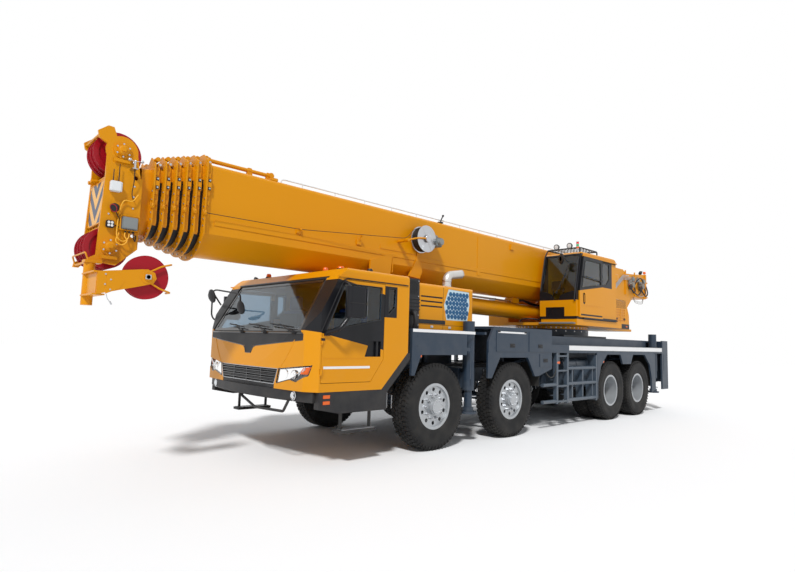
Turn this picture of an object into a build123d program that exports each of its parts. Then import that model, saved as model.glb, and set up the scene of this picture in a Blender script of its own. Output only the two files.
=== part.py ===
from build123d import *
import os
from math import atan2, cos, degrees, hypot, radians, sin

# Four-axle truck crane with a telescopic boom, parked with its boom in the travel position.
# Millimetres. +X is forward, +Y is the vehicle's left and +Z is up; the ground is Z = 0.
os.makedirs("parts", exist_ok=True)

# ---------------------------------------------------------------- driving dimensions
BODY_WIDTH = 2800
AXLE_1_X = 2800
AXLE_SPACINGS = (1870, 3645, 1350)
TYRE_DIAMETER = 1226
TYRE_WIDTH = 315
TYRE_INSET = 30
TWIN_SPACING = 350
RIM_RADIUS = 300
RIM_FLANGE = 335
FIT = 0.05
SEAT_GAP = 0.3

FRAME_HALF_WIDTH = 400
FRAME_BOTTOM_Z = 830
FRAME_TOP_Z = 1150
FRAME_REAR_X = -5950
FRAME_FRONT_X = 3380
FRAME_NOSE_X = 4750

SLEW_X = -2600
SLEW_Z = 1885
RING_GAP = 0.5
PEDESTAL_BOTTOM_Z = 1290
PEDESTAL_TOP_Z = 1750
RING_RADIUS = 800

DECK_Z = 1700
PANEL = 40

OUTRIGGER_X = (1866, -5270)
OUTRIGGER_STROKE = 2250
JACK_STROKE = 520

CAB_REAR_X = 3430
CAB_FRONT_X = 5060
CAB_BOTTOM_Z = 900
CAB_ROOF_Z = 2410
CAB_WALL = 45
DOOR_GAP = 6

BOOM_PIVOT_X = -4700
BOOM_PIVOT_Z = 3230
BOOM_TOP_Z = 3600
BOOM_WIDTH = 800
BOOM_DEPTH = 1110
BOOM_WALL = 10
BOOM_STEP = 30
BOOM_COLLAR_X = 5950
COLLAR_PITCH = 110
BOOM_SECTIONS = 7

LIFT_BASE = (-2250, 2215)
LIFT_EYE = (3000, 2275)
LIFT_BARREL_RADIUS = 160
LIFT_ROD_RADIUS = 95

# ---------------------------------------------------------------- places worked out from them
TYRE_RADIUS = TYRE_DIAMETER / 2
AXLE_Z = TYRE_RADIUS
AXLE_X = (
    AXLE_1_X,
    AXLE_1_X - AXLE_SPACINGS[0],
    AXLE_1_X - AXLE_SPACINGS[0] - AXLE_SPACINGS[1],
    AXLE_1_X - sum(AXLE_SPACINGS),
)
OUTER_TYRE_Y = BODY_WIDTH / 2 - TYRE_INSET - TYRE_WIDTH / 2
HALF = BODY_WIDTH / 2
SIDES = (("left", 1), ("right", -1))


def plane_facing(sign, y):
    """The XZ plane at sign * y whose extrusions by a positive amount run inwards."""
    if sign > 0:
        return Plane.XZ.offset(-y)
    return Plane(origin=(0, -y, 0), x_dir=(1, 0, 0), z_dir=(0, 1, 0))


def side_points(sign, points):
    """Outline points (x, z) on plane_facing(sign, ...), whose local y runs down on the right."""
    if sign > 0:
        return points
    return [(x, -z) for x, z in points]


# ================================================================ wheels
# axle number, half-track of the wheel's outer tyre, tyres side by side
WHEELS = (
    (1, OUTER_TYRE_Y, 1),
    (2, OUTER_TYRE_Y, 1),
    (3, OUTER_TYRE_Y, 2),
    (4, OUTER_TYRE_Y, 2),
)
HUB_RADIUS = 120
HUB_BACK_RADIUS = 92
HUB_BACK_START = 60
HUB_BORE = 60
DISC_THICKNESS = 14
BARREL_THICKNESS = 14
STUDS = 10
STUD_CIRCLE = 167.5
HAND_HOLE_CIRCLE = 235
HAND_HOLE_RADIUS = 28

RIM_HALF_WIDTH = 0.36 * TYRE_WIDTH
FLANGE_THICKNESS = 10

# the tyre's half section: distance from its middle plane and radius
TYRE_SECTION = (
    ((RIM_HALF_WIDTH - SEAT_GAP) / TYRE_WIDTH, RIM_RADIUS + SEAT_GAP),
    ((RIM_HALF_WIDTH - SEAT_GAP) / TYRE_WIDTH, RIM_FLANGE + SEAT_GAP),
    (0.43, RIM_FLANGE + 14),
    (0.50, 430),
    (0.50, 520),
    (0.44, TYRE_RADIUS - 10),
    (0.40, TYRE_RADIUS),
)


def tyre_profile(y):
    """The tyre's closed section in local (y, z) about its middle plane at y."""
    outer = [(y + share * TYRE_WIDTH, radius) for share, radius in TYRE_SECTION]
    inner = [(y - share * TYRE_WIDTH, radius) for share, radius in reversed(TYRE_SECTION)]
    return outer + inner


def rim_profile(y, sign, dish):
    """The rim's barrel, flanges and disc; dish is the disc's distance out from the middle."""
    half = RIM_HALF_WIDTH
    edge = half + FLANGE_THICKNESS
    seat = RIM_RADIUS
    bed = RIM_RADIUS - BARREL_THICKNESS
    face = y + sign * dish
    back = face - sign * DISC_THICKNESS
    low, high = sorted((face, back))
    return [
        (y - half, seat),
        (y - half, RIM_FLANGE),
        (y - edge, RIM_FLANGE),
        (y - edge, bed),
        (low, bed),
        (low, HUB_BORE + FIT),
        (high, HUB_BORE + FIT),
        (high, bed),
        (y + edge, bed),
        (y + edge, RIM_FLANGE),
        (y + half, RIM_FLANGE),
        (y + half, seat),
    ]


for axle, track, tyres in WHEELS:
    x = AXLE_X[axle - 1]
    for side, sign in SIDES:
        axis = Axis((x, 0, AXLE_Z), (0, 1, 0))
        middles = [sign * (track - number * TWIN_SPACING) for number in range(tyres)]
        with BuildPart() as tyre:
            for middle in middles:
                with BuildSketch(Plane.YZ.offset(x)) as section:
                    with Locations((0, AXLE_Z)):
                        Polygon(*tyre_profile(middle), align=None)
                revolve(axis=axis)
        tyre.part.label = f"tyre_{axle}_{side}"
        export_step(tyre.part, f"parts/tyre_{axle}_{side}.step")

        # the outer face of a single wheel bulges out; a twin pair bolts back to back
        dishes = [95] if tyres == 1 else [-TWIN_SPACING / 2 + DISC_THICKNESS, TWIN_SPACING / 2]
        with BuildPart() as rim:
            for middle, dish in zip(middles, dishes):
                with BuildSketch(Plane.YZ.offset(x)) as section:
                    with Locations((0, AXLE_Z)):
                        Polygon(*rim_profile(middle, sign, dish), align=None)
                revolve(axis=axis)
            face = middles[0] + sign * dishes[0]
            outward = Plane(origin=(x, face, AXLE_Z), x_dir=(1, 0, 0), z_dir=(0, sign, 0))
            with BuildSketch(outward.offset(-200 if tyres == 2 else -40)):
                with PolarLocations(HAND_HOLE_CIRCLE, STUDS, start_angle=18):
                    Circle(HAND_HOLE_RADIUS)
            extrude(amount=260, mode=Mode.SUBTRACT)
            with BuildSketch(outward.offset(-HUB_BACK_START)):
                Circle(HUB_RADIUS)
                Circle(HUB_BORE + FIT, mode=Mode.SUBTRACT)
            extrude(amount=HUB_BACK_START + 60)
            if tyres == 1:
                with BuildSketch(outward.offset(-150)):
                    Circle(HUB_BACK_RADIUS)
                    Circle(HUB_BORE + FIT, mode=Mode.SUBTRACT)
                extrude(amount=150 - HUB_BACK_START)
            with BuildSketch(outward.offset(60)):
                Circle(HUB_RADIUS - 15)
            extrude(amount=30)
            with BuildSketch(outward):
                with PolarLocations(STUD_CIRCLE, STUDS):
                    Circle(15)
            extrude(amount=26)
        rim.part.label = f"rim_{axle}_{side}"
        export_step(rim.part, f"parts/rim_{axle}_{side}.step")

# ================================================================ steering knuckles and axles
KINGPIN_Y = 1080
KINGPIN_RADIUS = 28
KNUCKLE_HALF_HEIGHT = 95
EAR_THICKNESS = 45
EAR_GAP = 3
KNUCKLE_RADIUS = 62
HUB_BACK_Y = OUTER_TYRE_Y + 95 - 150
BEAM_RADIUS = 68
SPRING_Y = 480
SPRING_WIDTH = 90
SPRING_HALF_LENGTH = 640

for axle in (1, 2):
    x = AXLE_X[axle - 1]
    for side, sign in SIDES:
        with BuildPart() as knuckle:
            with Locations((x, sign * KINGPIN_Y, AXLE_Z)):
                Cylinder(KNUCKLE_RADIUS, 2 * KNUCKLE_HALF_HEIGHT)
                Cylinder(KINGPIN_RADIUS, 2 * (KNUCKLE_HALF_HEIGHT + EAR_GAP + EAR_THICKNESS))
            out = Plane(origin=(x, sign * KINGPIN_Y, AXLE_Z), x_dir=(1, 0, 0), z_dir=(0, sign, 0))
            with BuildSketch(out):
                Circle(HUB_BORE)
            extrude(amount=OUTER_TYRE_Y + 95 + 55 - KINGPIN_Y)
            # steering arm to the track rod
            with BuildSketch(Plane.XY.offset(AXLE_Z - KNUCKLE_HALF_HEIGHT)):
                with Locations((x - 130, sign * (KINGPIN_Y - 10))):
                    Rectangle(200, 50)
            extrude(amount=35)
        knuckle.part.label = f"knuckle_{axle}_{side}"
        export_step(knuckle.part, f"parts/knuckle_{axle}_{side}.step")

with BuildPart() as axle_beams:
    for axle, track, tyres in WHEELS:
        x = AXLE_X[axle - 1]
        steered = tyres == 1
        half = KINGPIN_Y - 145 if steered else track - TWIN_SPACING / 2 + 50
        across = Plane(origin=(x, -half, AXLE_Z), x_dir=(1, 0, 0), z_dir=(0, 1, 0))
        with BuildSketch(across):
            Circle(BEAM_RADIUS if steered else HUB_BORE)
        extrude(amount=2 * half)
        if steered:
            for side, sign in SIDES:
                for level in (-1, 1):
                    z = AXLE_Z + level * (KNUCKLE_HALF_HEIGHT + EAR_GAP + EAR_THICKNESS / 2)
                    with BuildSketch(Plane.XY.offset(z - EAR_THICKNESS / 2)):
                        with Locations((x, sign * (KINGPIN_Y - 60))):
                            Rectangle(130, 220)
                        with Locations((x, sign * KINGPIN_Y)):
                            Circle(KINGPIN_RADIUS + FIT, mode=Mode.SUBTRACT)
                    extrude(amount=EAR_THICKNESS)
                with Locations((x, sign * (KINGPIN_Y - 145), AXLE_Z)):
                    Box(130, 100, 2 * (KNUCKLE_HALF_HEIGHT + EAR_GAP + EAR_THICKNESS))
        else:
            with BuildSketch(Plane(origin=(x, -600, AXLE_Z), x_dir=(1, 0, 0), z_dir=(0, 1, 0))):
                Circle(105)
            extrude(amount=1200)
            with Locations((x, 0, AXLE_Z)):
                Sphere(200)
        for side, sign in SIDES:
            with Locations((x, sign * SPRING_Y, AXLE_Z + 105)):
                Box(150, SPRING_WIDTH, 90)
            with Locations((x, sign * SPRING_Y, AXLE_Z + 160)):
                Box(2 * SPRING_HALF_LENGTH, SPRING_WIDTH, 40)
            with Locations((x, sign * SPRING_Y, AXLE_Z + 190)):
                Box(1.3 * SPRING_HALF_LENGTH, SPRING_WIDTH, 20)
axle_beams.part.label = "axle_beams"
export_step(axle_beams.part, "parts/axle_beams.step")

# ================================================================ chassis frame
CHANNEL_WIDTH = 172
CHANNEL_HEIGHT = 262
BEAM_CLEAR = 6
HOUSING_HALF_X = 205
HOUSING_BOTTOM_Z = 790
HOUSING_TOP_Z = 1130
HOUSING_HALF_Y = 1140
CHANNEL_Z = (HOUSING_BOTTOM_Z + HOUSING_TOP_Z) / 2
CHANNEL_X = 95

with BuildPart() as chassis_frame:
    with BuildSketch(Plane.XZ) as web:
        with BuildLine():
            Polyline(
                (FRAME_REAR_X, FRAME_BOTTOM_Z + 60),
                (FRAME_REAR_X, FRAME_TOP_Z + 100),
                (-900, FRAME_TOP_Z + 100),
                (-400, FRAME_TOP_Z),
                (FRAME_FRONT_X, FRAME_TOP_Z),
                (FRAME_FRONT_X + 150, CAB_BOTTOM_Z - SEAT_GAP),
                (FRAME_NOSE_X, CAB_BOTTOM_Z - SEAT_GAP),
                (FRAME_NOSE_X, FRAME_BOTTOM_Z - 110),
                (FRAME_FRONT_X + 150, FRAME_BOTTOM_Z - 110),
                (FRAME_FRONT_X, FRAME_BOTTOM_Z),
                (-5200, FRAME_BOTTOM_Z),
                close=True,
            )
        make_face()
    extrude(amount=FRAME_HALF_WIDTH, both=True)
    # turntable pedestal and the slew ring's fixed half
    with BuildSketch(Plane.XY.offset(FRAME_TOP_Z + 90)):
        with Locations((SLEW_X, 0)):
            Rectangle(1900, 2 * FRAME_HALF_WIDTH)
    extrude(amount=60)
    with BuildSketch(Plane.XY.offset(PEDESTAL_BOTTOM_Z)):
        with Locations((SLEW_X, 0)):
            Rectangle(1900, 1700)
    extrude(amount=PEDESTAL_TOP_Z - PEDESTAL_BOTTOM_Z)
    with BuildSketch(Plane.XY.offset(PEDESTAL_TOP_Z)):
        with Locations((SLEW_X, 0)):
            Circle(RING_RADIUS)
            Circle(RING_RADIUS - 120, mode=Mode.SUBTRACT)
    extrude(amount=SLEW_Z - RING_GAP - PEDESTAL_TOP_Z)
    # transverse outrigger housings, each with one channel for either side's beam
    for x in OUTRIGGER_X:
        with Locations((x, 0, CHANNEL_Z)):
            Box(2 * HOUSING_HALF_X, 2 * HOUSING_HALF_Y, HOUSING_TOP_Z - HOUSING_BOTTOM_Z)
        for sign in (1, -1):
            with Locations((x + sign * CHANNEL_X, 0, CHANNEL_Z)):
                Box(CHANNEL_WIDTH, 4000, CHANNEL_HEIGHT, mode=Mode.SUBTRACT)
    # spring hangers
    for x in AXLE_X:
        for end in (-1, 1):
            for side, sign in SIDES:
                with Locations((x + end * (SPRING_HALF_LENGTH - 40), sign * SPRING_Y, AXLE_Z + 240)):
                    Box(90, SPRING_WIDTH, 120)
                with Locations((x + end * (SPRING_HALF_LENGTH - 40), sign * 430, AXLE_Z + 290)):
                    Box(90, 80, 60)
    # rear cross member with the towing jaw
    with Locations((FRAME_REAR_X - 40, 0, 800)):
        Box(100, 2300, 240)
    with Locations((FRAME_REAR_X - 150, 0, 800)):
        Box(140, 160, 150)
    with Locations((FRAME_REAR_X - 160, 0, 800)):
        Box(120, 160, 60, mode=Mode.SUBTRACT)
        Cylinder(25, 400, mode=Mode.SUBTRACT)
chassis_frame.part.label = "chassis_frame"
export_step(chassis_frame.part, "parts/chassis_frame.step")

# ================================================================ outriggers
BEAM_WIDTH = CHANNEL_WIDTH - 2 * BEAM_CLEAR
BEAM_HEIGHT = CHANNEL_HEIGHT - 2 * BEAM_CLEAR
JACK_Y = 1255
JACK_RADIUS = 92
JACK_BORE = 62
JACK_TOP_Z = 1860
JACK_BOTTOM_Z = 800
FOOT_Z = 450

for place, x in zip(("front", "rear"), OUTRIGGER_X):
    for side, sign in SIDES:
        jack_x = x + sign * CHANNEL_X
        with BuildPart() as beam:
            length = HOUSING_HALF_Y - 40 + JACK_Y
            with Locations((jack_x, sign * (JACK_Y - length / 2), CHANNEL_Z - BEAM_CLEAR + SEAT_GAP)):
                Box(BEAM_WIDTH, length, BEAM_HEIGHT)
            with Locations((jack_x, sign * JACK_Y, (JACK_TOP_Z + JACK_BOTTOM_Z) / 2)):
                Cylinder(JACK_RADIUS, JACK_TOP_Z - JACK_BOTTOM_Z)
            with Locations((jack_x, sign * JACK_Y, JACK_BOTTOM_Z + 500)):
                Cylinder(JACK_BORE + FIT, 1000, mode=Mode.SUBTRACT)
        beam.part.label = f"outrigger_beam_{place}_{side}"
        export_step(beam.part, f"parts/outrigger_beam_{place}_{side}.step")
        with BuildPart() as jack:
            with Locations((jack_x, sign * JACK_Y, (FOOT_Z + JACK_BOTTOM_Z + 900) / 2)):
                Cylinder(JACK_BORE, JACK_BOTTOM_Z + 900 - FOOT_Z)
            with Locations((jack_x, sign * (JACK_Y - 20), FOOT_Z + 15)):
                Cylinder(150, 30)
            with Locations((jack_x, sign * JACK_Y, FOOT_Z + 60)):
                Cylinder(85, 60)
        jack.part.label = f"outrigger_jack_{place}_{side}"
        export_step(jack.part, f"parts/outrigger_jack_{place}_{side}.step")

# ================================================================ deck, fenders and side boxes
FRONT_DECK = (1700, 3350)
MIDDLE_BOX = (-250, 1500)
MIDDLE_BOX_Z = 1800
REAR_DECK = (-5750, -250)
RAIL_TOP_Z = 1535
CENTRE_DECK_HALF = 1180
# rear corner post as (x from, x to, z from, z to)
POST = (-5750, -5420, 530, 1710)

# side outlines as (x, z)
FRONT_SKIRT = (
    (FRONT_DECK[1], DECK_Z),
    (FRONT_DECK[1], 1060),
    (FRONT_DECK[1] - 60, 1060),
    (FRONT_DECK[1] - 180, 1340),
    (2100, 1340),
    (2100, DECK_Z),
)
MIDDLE_SKIRT = (
    (MIDDLE_BOX[1], MIDDLE_BOX_Z),
    (1640, 1560),
    (1640, 980),
    (MIDDLE_BOX[0] + 450, 980),
    (MIDDLE_BOX[0], 1100),
    (MIDDLE_BOX[0], MIDDLE_BOX_Z),
)
REAR_SKIRT = (
    (MIDDLE_BOX[0], RAIL_TOP_Z),
    (MIDDLE_BOX[0], 1390),
    (-1990, 1390),
    (-1990, 480),
    (-4740, 480),
    (-4900, 530),
    (REAR_DECK[0], 530),
    (REAR_DECK[0], RAIL_TOP_Z),
)
# the second axle's arch about its axle, and the rear axles' common arch
SECOND_ARCH = ((-700, -300), (-690, 260), (-400, 690), (400, 690), (690, 260), (700, -300))
REAR_ARCH = (
    (-2030, 400),
    (-2030, 800),
    (-2160, 1130),
    (-2440, 1365),
    (-3070, 1365),
    (-3190, 1160),
    (-3590, 1160),
    (-3710, 1365),
    (-4350, 1365),
    (-4640, 1130),
    (-4740, 800),
    (-4740, 400),
)
# raised locker doors on the middle box as (x from, x to, z from, z to)
LOCKER_DOORS = ((560, 1440, 1400, 1740), (-200, 500, 1400, 1740), (-200, 160, 1140, 1360))
DOOR_RISE = 8
# x shift of the well on the left, length and height
JACK_WELL = (95, 430, 900)
BEARERS = ((2020, DECK_Z), (3300, DECK_Z), (1400, MIDDLE_BOX_Z), (-150, MIDDLE_BOX_Z))
REAR_BEARERS = (-1300, -4700, -5650)
BEARER = 60


def skirt(sign, outline, cuts):
    """A side skirt on the left or right with its arches cut out."""
    with BuildPart() as plate:
        with BuildSketch(plane_facing(sign, HALF)):
            Polygon(*side_points(sign, outline), align=None)
            for cut in cuts:
                Polygon(*side_points(sign, cut), align=None, mode=Mode.SUBTRACT)
        extrude(amount=PANEL)
    return plate.part


with BuildPart() as deck:
    # plates over the chassis
    for (low, high), top, half in (
        (FRONT_DECK, DECK_Z, HALF),
        (MIDDLE_BOX, MIDDLE_BOX_Z, HALF),
        (REAR_DECK, DECK_Z, CENTRE_DECK_HALF),
    ):
        with Locations(((low + high) / 2, 0, top - PANEL / 2)):
            Box(high - low, 2 * half, PANEL)
    second_arch = [(AXLE_X[1] + x, AXLE_Z + z) for x, z in SECOND_ARCH]
    for side, sign in SIDES:
        add(skirt(sign, FRONT_SKIRT, ()))
        add(skirt(sign, MIDDLE_SKIRT, (second_arch,)))
        add(skirt(sign, REAR_SKIRT, (REAR_ARCH,)))
        # walkway beside the raised middle of the rear deck
        walk = (REAR_DECK[0] + REAR_DECK[1]) / 2
        with Locations((walk, sign * (HALF + CENTRE_DECK_HALF) / 2, RAIL_TOP_Z - PANEL / 2)):
            Box(REAR_DECK[1] - REAR_DECK[0], HALF - CENTRE_DECK_HALF, PANEL)
        with Locations((walk, sign * (CENTRE_DECK_HALF - PANEL / 2), (RAIL_TOP_Z + DECK_Z) / 2 - PANEL)):
            Box(REAR_DECK[1] - REAR_DECK[0], PANEL, DECK_Z - RAIL_TOP_Z + PANEL)
        # front fender's cross lip over the first axle
        with Locations(((2100 + FRONT_DECK[1]) / 2, sign * (HALF - 90), 1360)):
            Box(FRONT_DECK[1] - 2100, 180, 40)
        for low, high, bottom, top in LOCKER_DOORS:
            with Locations(((low + high) / 2, sign * HALF, (bottom + top) / 2)):
                Box(high - low, 2 * DOOR_RISE, top - bottom)
        # rear corner post
        with Locations(((POST[0] + POST[1]) / 2, sign * (HALF - PANEL / 2), (POST[2] + POST[3]) / 2)):
            Box(POST[1] - POST[0], PANEL, POST[3] - POST[2])
    # rear panel
    with Locations((REAR_DECK[0] + PANEL / 2, 0, (760 + DECK_Z) / 2)):
        Box(PANEL, BODY_WIDTH, DECK_Z - 760)
    with Locations((REAR_DECK[0], 0, FRAME_TOP_Z - 150)):
        Box(200, 2 * FRAME_HALF_WIDTH, 500.6, mode=Mode.SUBTRACT)
    # the turntable pedestal, the jacks and the engine pass through the plates
    with Locations((SLEW_X, 0, DECK_Z)):
        Box(1904, 1704, 300, mode=Mode.SUBTRACT)
    with Locations((2640, 0, DECK_Z)):
        Box(1160, 760, 300, mode=Mode.SUBTRACT)
    for x in OUTRIGGER_X:
        for side, sign in SIDES:
            shift, length, height = JACK_WELL
            with Locations((x + sign * shift, sign * (HALF - 190), DECK_Z)):
                Box(length, 400, 500, mode=Mode.SUBTRACT)
            with Locations((x + sign * shift, sign * HALF, height + 50)):
                Box(length, 4 * PANEL, height, mode=Mode.SUBTRACT)
    # bearers from the frame up to the plates
    for x, top in BEARERS:
        with Locations((x, 0, (FRAME_TOP_Z + top) / 2)):
            Box(BEARER, 2 * FRAME_HALF_WIDTH, top - FRAME_TOP_Z)
    for x in REAR_BEARERS:
        with Locations((x, 0, (FRAME_TOP_Z + 100 + DECK_Z) / 2)):
            Box(BEARER, 2 * FRAME_HALF_WIDTH, DECK_Z - FRAME_TOP_Z - 100)
deck.part.label = "deck"
export_step(deck.part, "parts/deck.step")

# ================================================================ engine, exhaust and hood
HOOD = (1700, 3000)
HOOD_HALF_WIDTH = 1145
HOOD_TOP_Z = 2390
TROUGH_HALF_WIDTH = 480
TROUGH_Z = 1990
HOOD_WALL = 30
HOOD_EDGE = 70
HOOD_GROOVE = (2460, 2940, 2050, 2190)
HOOD_GROOVE_DEPTH = 14
# grille panel let into the hood's side as (x, z)
HOOD_PANEL = ((2430, 2090), (2370, 1860), (1860, 1860), (1810, 2120), (1830, 2330), (2330, 2340))
PANEL_DEPTH = 12
ENGINE_X = 2500
ENGINE_SIZE = (850, 700)
ENGINE_TOP_Z = 1900
EXHAUST_X = 1985
EXHAUST_Y = 800
EXHAUST_RADIUS = 70
EXHAUST_BEND = 110
EXHAUST_TOP_Z = 2610
EXHAUST_TIP = (-350, 60)

with BuildPart() as engine:
    with Locations((ENGINE_X, 0, (FRAME_TOP_Z + ENGINE_TOP_Z) / 2)):
        Box(ENGINE_SIZE[0], ENGINE_SIZE[1], ENGINE_TOP_Z - FRAME_TOP_Z)
    with BuildLine() as pipe_route:
        pipe_path = FilletPolyline(
            (2250, 300, 1830),
            (2250, EXHAUST_Y, 1830),
            (EXHAUST_X, EXHAUST_Y, 1830),
            (EXHAUST_X, EXHAUST_Y, EXHAUST_TOP_Z),
            (EXHAUST_X + EXHAUST_TIP[0], EXHAUST_Y, EXHAUST_TOP_Z + EXHAUST_TIP[1]),
            radius=EXHAUST_BEND,
        )
    with BuildSketch(Plane(origin=(2250, 300, 1830), z_dir=(0, 1, 0))):
        Circle(EXHAUST_RADIUS)
    sweep(path=pipe_path)
engine.part.label = "engine"
export_step(engine.part, "parts/engine.step")


def hood_block(inset):
    """The hood's closed form, with a trough along it, and every wall but its floor moved in by inset."""
    half = HOOD_HALF_WIDTH - inset
    trough = TROUGH_HALF_WIDTH + inset
    top = HOOD_TOP_Z - inset
    rear = HOOD[0] + inset
    with BuildPart() as block:
        with BuildSketch(Plane.YZ.offset(rear)):
            Polygon(
                (-half, DECK_Z),
                (half, DECK_Z),
                (half, top),
                (trough, top),
                (trough, TROUGH_Z - inset),
                (-trough, TROUGH_Z - inset),
                (-trough, top),
                (-half, top),
                align=None,
            )
        extrude(amount=HOOD[1] - HOOD[0] - 2 * inset)
        if not inset:
            edges = [
                edge
                for edge in block.edges()
                if abs(edge.center().Y) > half - 1 and edge.center().Z > TROUGH_Z and edge.center().X < HOOD[1] - 1
            ]
            fillet(edges, HOOD_EDGE)
    return block.part


with BuildPart() as engine_hood:
    add(hood_block(0))
    add(hood_block(HOOD_WALL), mode=Mode.SUBTRACT)
    with Locations((EXHAUST_X, EXHAUST_Y, HOOD_TOP_Z)):
        Cylinder(EXHAUST_RADIUS + DOOR_GAP, 4 * HOOD_WALL, mode=Mode.SUBTRACT)
    for side, sign in SIDES:
        with BuildSketch(plane_facing(sign, HOOD_HALF_WIDTH)):
            Polygon(*side_points(sign, HOOD_PANEL), align=None)
        extrude(amount=PANEL_DEPTH, mode=Mode.SUBTRACT)
        low, high, bottom, top = HOOD_GROOVE
        for z in (bottom, (bottom + top) / 2, top):
            with Locations(((low + high) / 2, sign * HOOD_HALF_WIDTH, z)):
                Box(high - low, 2 * HOOD_GROOVE_DEPTH, 24, mode=Mode.SUBTRACT)
engine_hood.part.label = "engine_hood"
export_step(engine_hood.part, "parts/engine_hood.step")

# ================================================================ tanks, ladders and side guards
TANK = (-1980, -930)
TANK_SECTION = (1040, 985, 400, 540)
TANK_EDGE = 70
STRAPS = (-1860, -1455, -1050)
RAIL_Y = 1365
RAIL_RADIUS = 32
GUARD_RAILS = ((-1985, -860, 1100), (-1985, -860, 810), (-1985, -860, 510), (-470, 20, 810), (-470, 20, 510))
LADDER_POSTS = (-450, -830)
LADDER_Z = (460, 1390 - SEAT_GAP)
RUNGS = (500, 780, 1060, 1330)

with BuildPart() as fuel_tanks:
    middle_y, middle_z, depth, height = TANK_SECTION
    for side, sign in SIDES:
        # the tank with rounded edges and three straps
        with BuildSketch(Plane.YZ.offset(TANK[0])):
            with Locations((sign * middle_y, middle_z)):
                RectangleRounded(depth, height, TANK_EDGE)
        extrude(amount=TANK[1] - TANK[0])
        for x in STRAPS:
            with BuildSketch(Plane.YZ.offset(x - 25)):
                with Locations((sign * middle_y, middle_z)):
                    RectangleRounded(depth + 16, height + 16, TANK_EDGE + 8)
            extrude(amount=50)
            # strap's post out to the rails
            with Locations((x, sign * (RAIL_Y - 70), 810)):
                Box(40, 140, 660)
        with Locations((-1475, sign * 620, 1000)):
            Box(200, 440, 80)
        for low, high, z in GUARD_RAILS:
            with Locations(((low + high) / 2, sign * RAIL_Y, z)):
                Cylinder(RAIL_RADIUS, high - low, rotation=(0, 90, 0))
        # ladder: posts with gussets behind them, and rungs
        for x in LADDER_POSTS:
            with Locations((x, sign * (RAIL_Y - 5), (LADDER_Z[0] + LADDER_Z[1]) / 2)):
                Box(60, 70, LADDER_Z[1] - LADDER_Z[0])
            for z in RUNGS[:-1]:
                with BuildSketch(Plane.XY.offset(z + 100)):
                    Polygon(
                        (x - 30, sign * (RAIL_Y - 40)),
                        (x + 30, sign * (RAIL_Y - 40)),
                        (x + 30, sign * (RAIL_Y - 110)),
                        align=None,
                    )
                extrude(amount=20)
        for z in RUNGS:
            with Locations((sum(LADDER_POSTS) / 2, sign * (RAIL_Y - 5), z)):
                Box(LADDER_POSTS[0] - LADDER_POSTS[1], 66, 30)
        with Locations((-1960, sign * (RAIL_Y - 60), 900)):
            Box(40, 190, 900)
fuel_tanks.part.label = "fuel_tanks"
export_step(fuel_tanks.part, "parts/fuel_tanks.step")

# ================================================================ driver's cab
# side view, from the lower rear corner, up the front and back along the roof
CAB_SIDE = (
    (CAB_REAR_X, 1370),
    (CAB_REAR_X + 460, CAB_BOTTOM_Z),
    (CAB_FRONT_X - 20, CAB_BOTTOM_Z),
    (CAB_FRONT_X, 1150),
    (CAB_FRONT_X - 45, 1590),
    (4610, 2300),
    (4480, CAB_ROOF_Z),
    (CAB_REAR_X, CAB_ROOF_Z),
)
CAB_CORNER = (4985, 1240)
CAB_FLANK_X = 4870
ROOF_EDGE = 55


def cab_block(inset):
    """The cab's closed outer form with every wall moved in by inset."""
    with BuildPart() as block:
        with BuildSketch(Plane.XZ):
            with BuildLine():
                Polyline(*CAB_SIDE, close=True)
            make_face()
            if inset:
                offset(amount=-inset, kind=Kind.INTERSECTION)
        extrude(amount=HALF - inset, both=True)
        with BuildSketch(Plane.XY.offset(CAB_BOTTOM_Z - 100)):
            with BuildLine():
                Line((CAB_REAR_X, -HALF), (CAB_REAR_X, HALF))
                Line((CAB_REAR_X, HALF), (CAB_FLANK_X, HALF))
                Line((CAB_FLANK_X, HALF), CAB_CORNER)
                ThreePointArc(CAB_CORNER, (CAB_FRONT_X, 0), (CAB_CORNER[0], -CAB_CORNER[1]))
                Line((CAB_CORNER[0], -CAB_CORNER[1]), (CAB_FLANK_X, -HALF))
                Line((CAB_FLANK_X, -HALF), (CAB_REAR_X, -HALF))
            make_face()
            if inset:
                offset(amount=-inset, kind=Kind.INTERSECTION)
        extrude(amount=CAB_ROOF_Z - CAB_BOTTOM_Z + 200, mode=Mode.INTERSECT)
        # rounded long edges of the roof
        roof = [
            edge
            for edge in block.edges()
            if edge.center().Z > CAB_ROOF_Z - inset - 1 and abs(edge.center().Y) > HALF - inset - 1
        ]
        fillet(roof, ROOF_EDGE - inset / 2)
    return block.part


def front_band(near, far, outline, start):
    """The cab's layer between two depths, ahead of x = start, within an outline (y, z)."""
    with BuildPart() as band:
        add(cab_block(near))
        add(cab_block(far), mode=Mode.SUBTRACT)
        with BuildSketch(Plane.YZ.offset(start)):
            Polygon(*outline, align=None)
        extrude(amount=CAB_FRONT_X + 100 - start, mode=Mode.INTERSECT)
    return band.part


def mirrored(outline):
    """An outline (y, z) on the other side of the cab."""
    return [(-y, z) for y, z in reversed(outline)]


def shrunk(outline, gap):
    """An outline's corners with every edge moved in by gap."""
    with BuildSketch() as smaller:
        Polygon(*outline, align=None)
        offset(amount=-gap, kind=Kind.INTERSECTION)
    wire = smaller.sketch.faces()[0].outer_wire()
    return [(vertex.X, vertex.Y) for vertex in wire.order_edges().vertices()]


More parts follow.
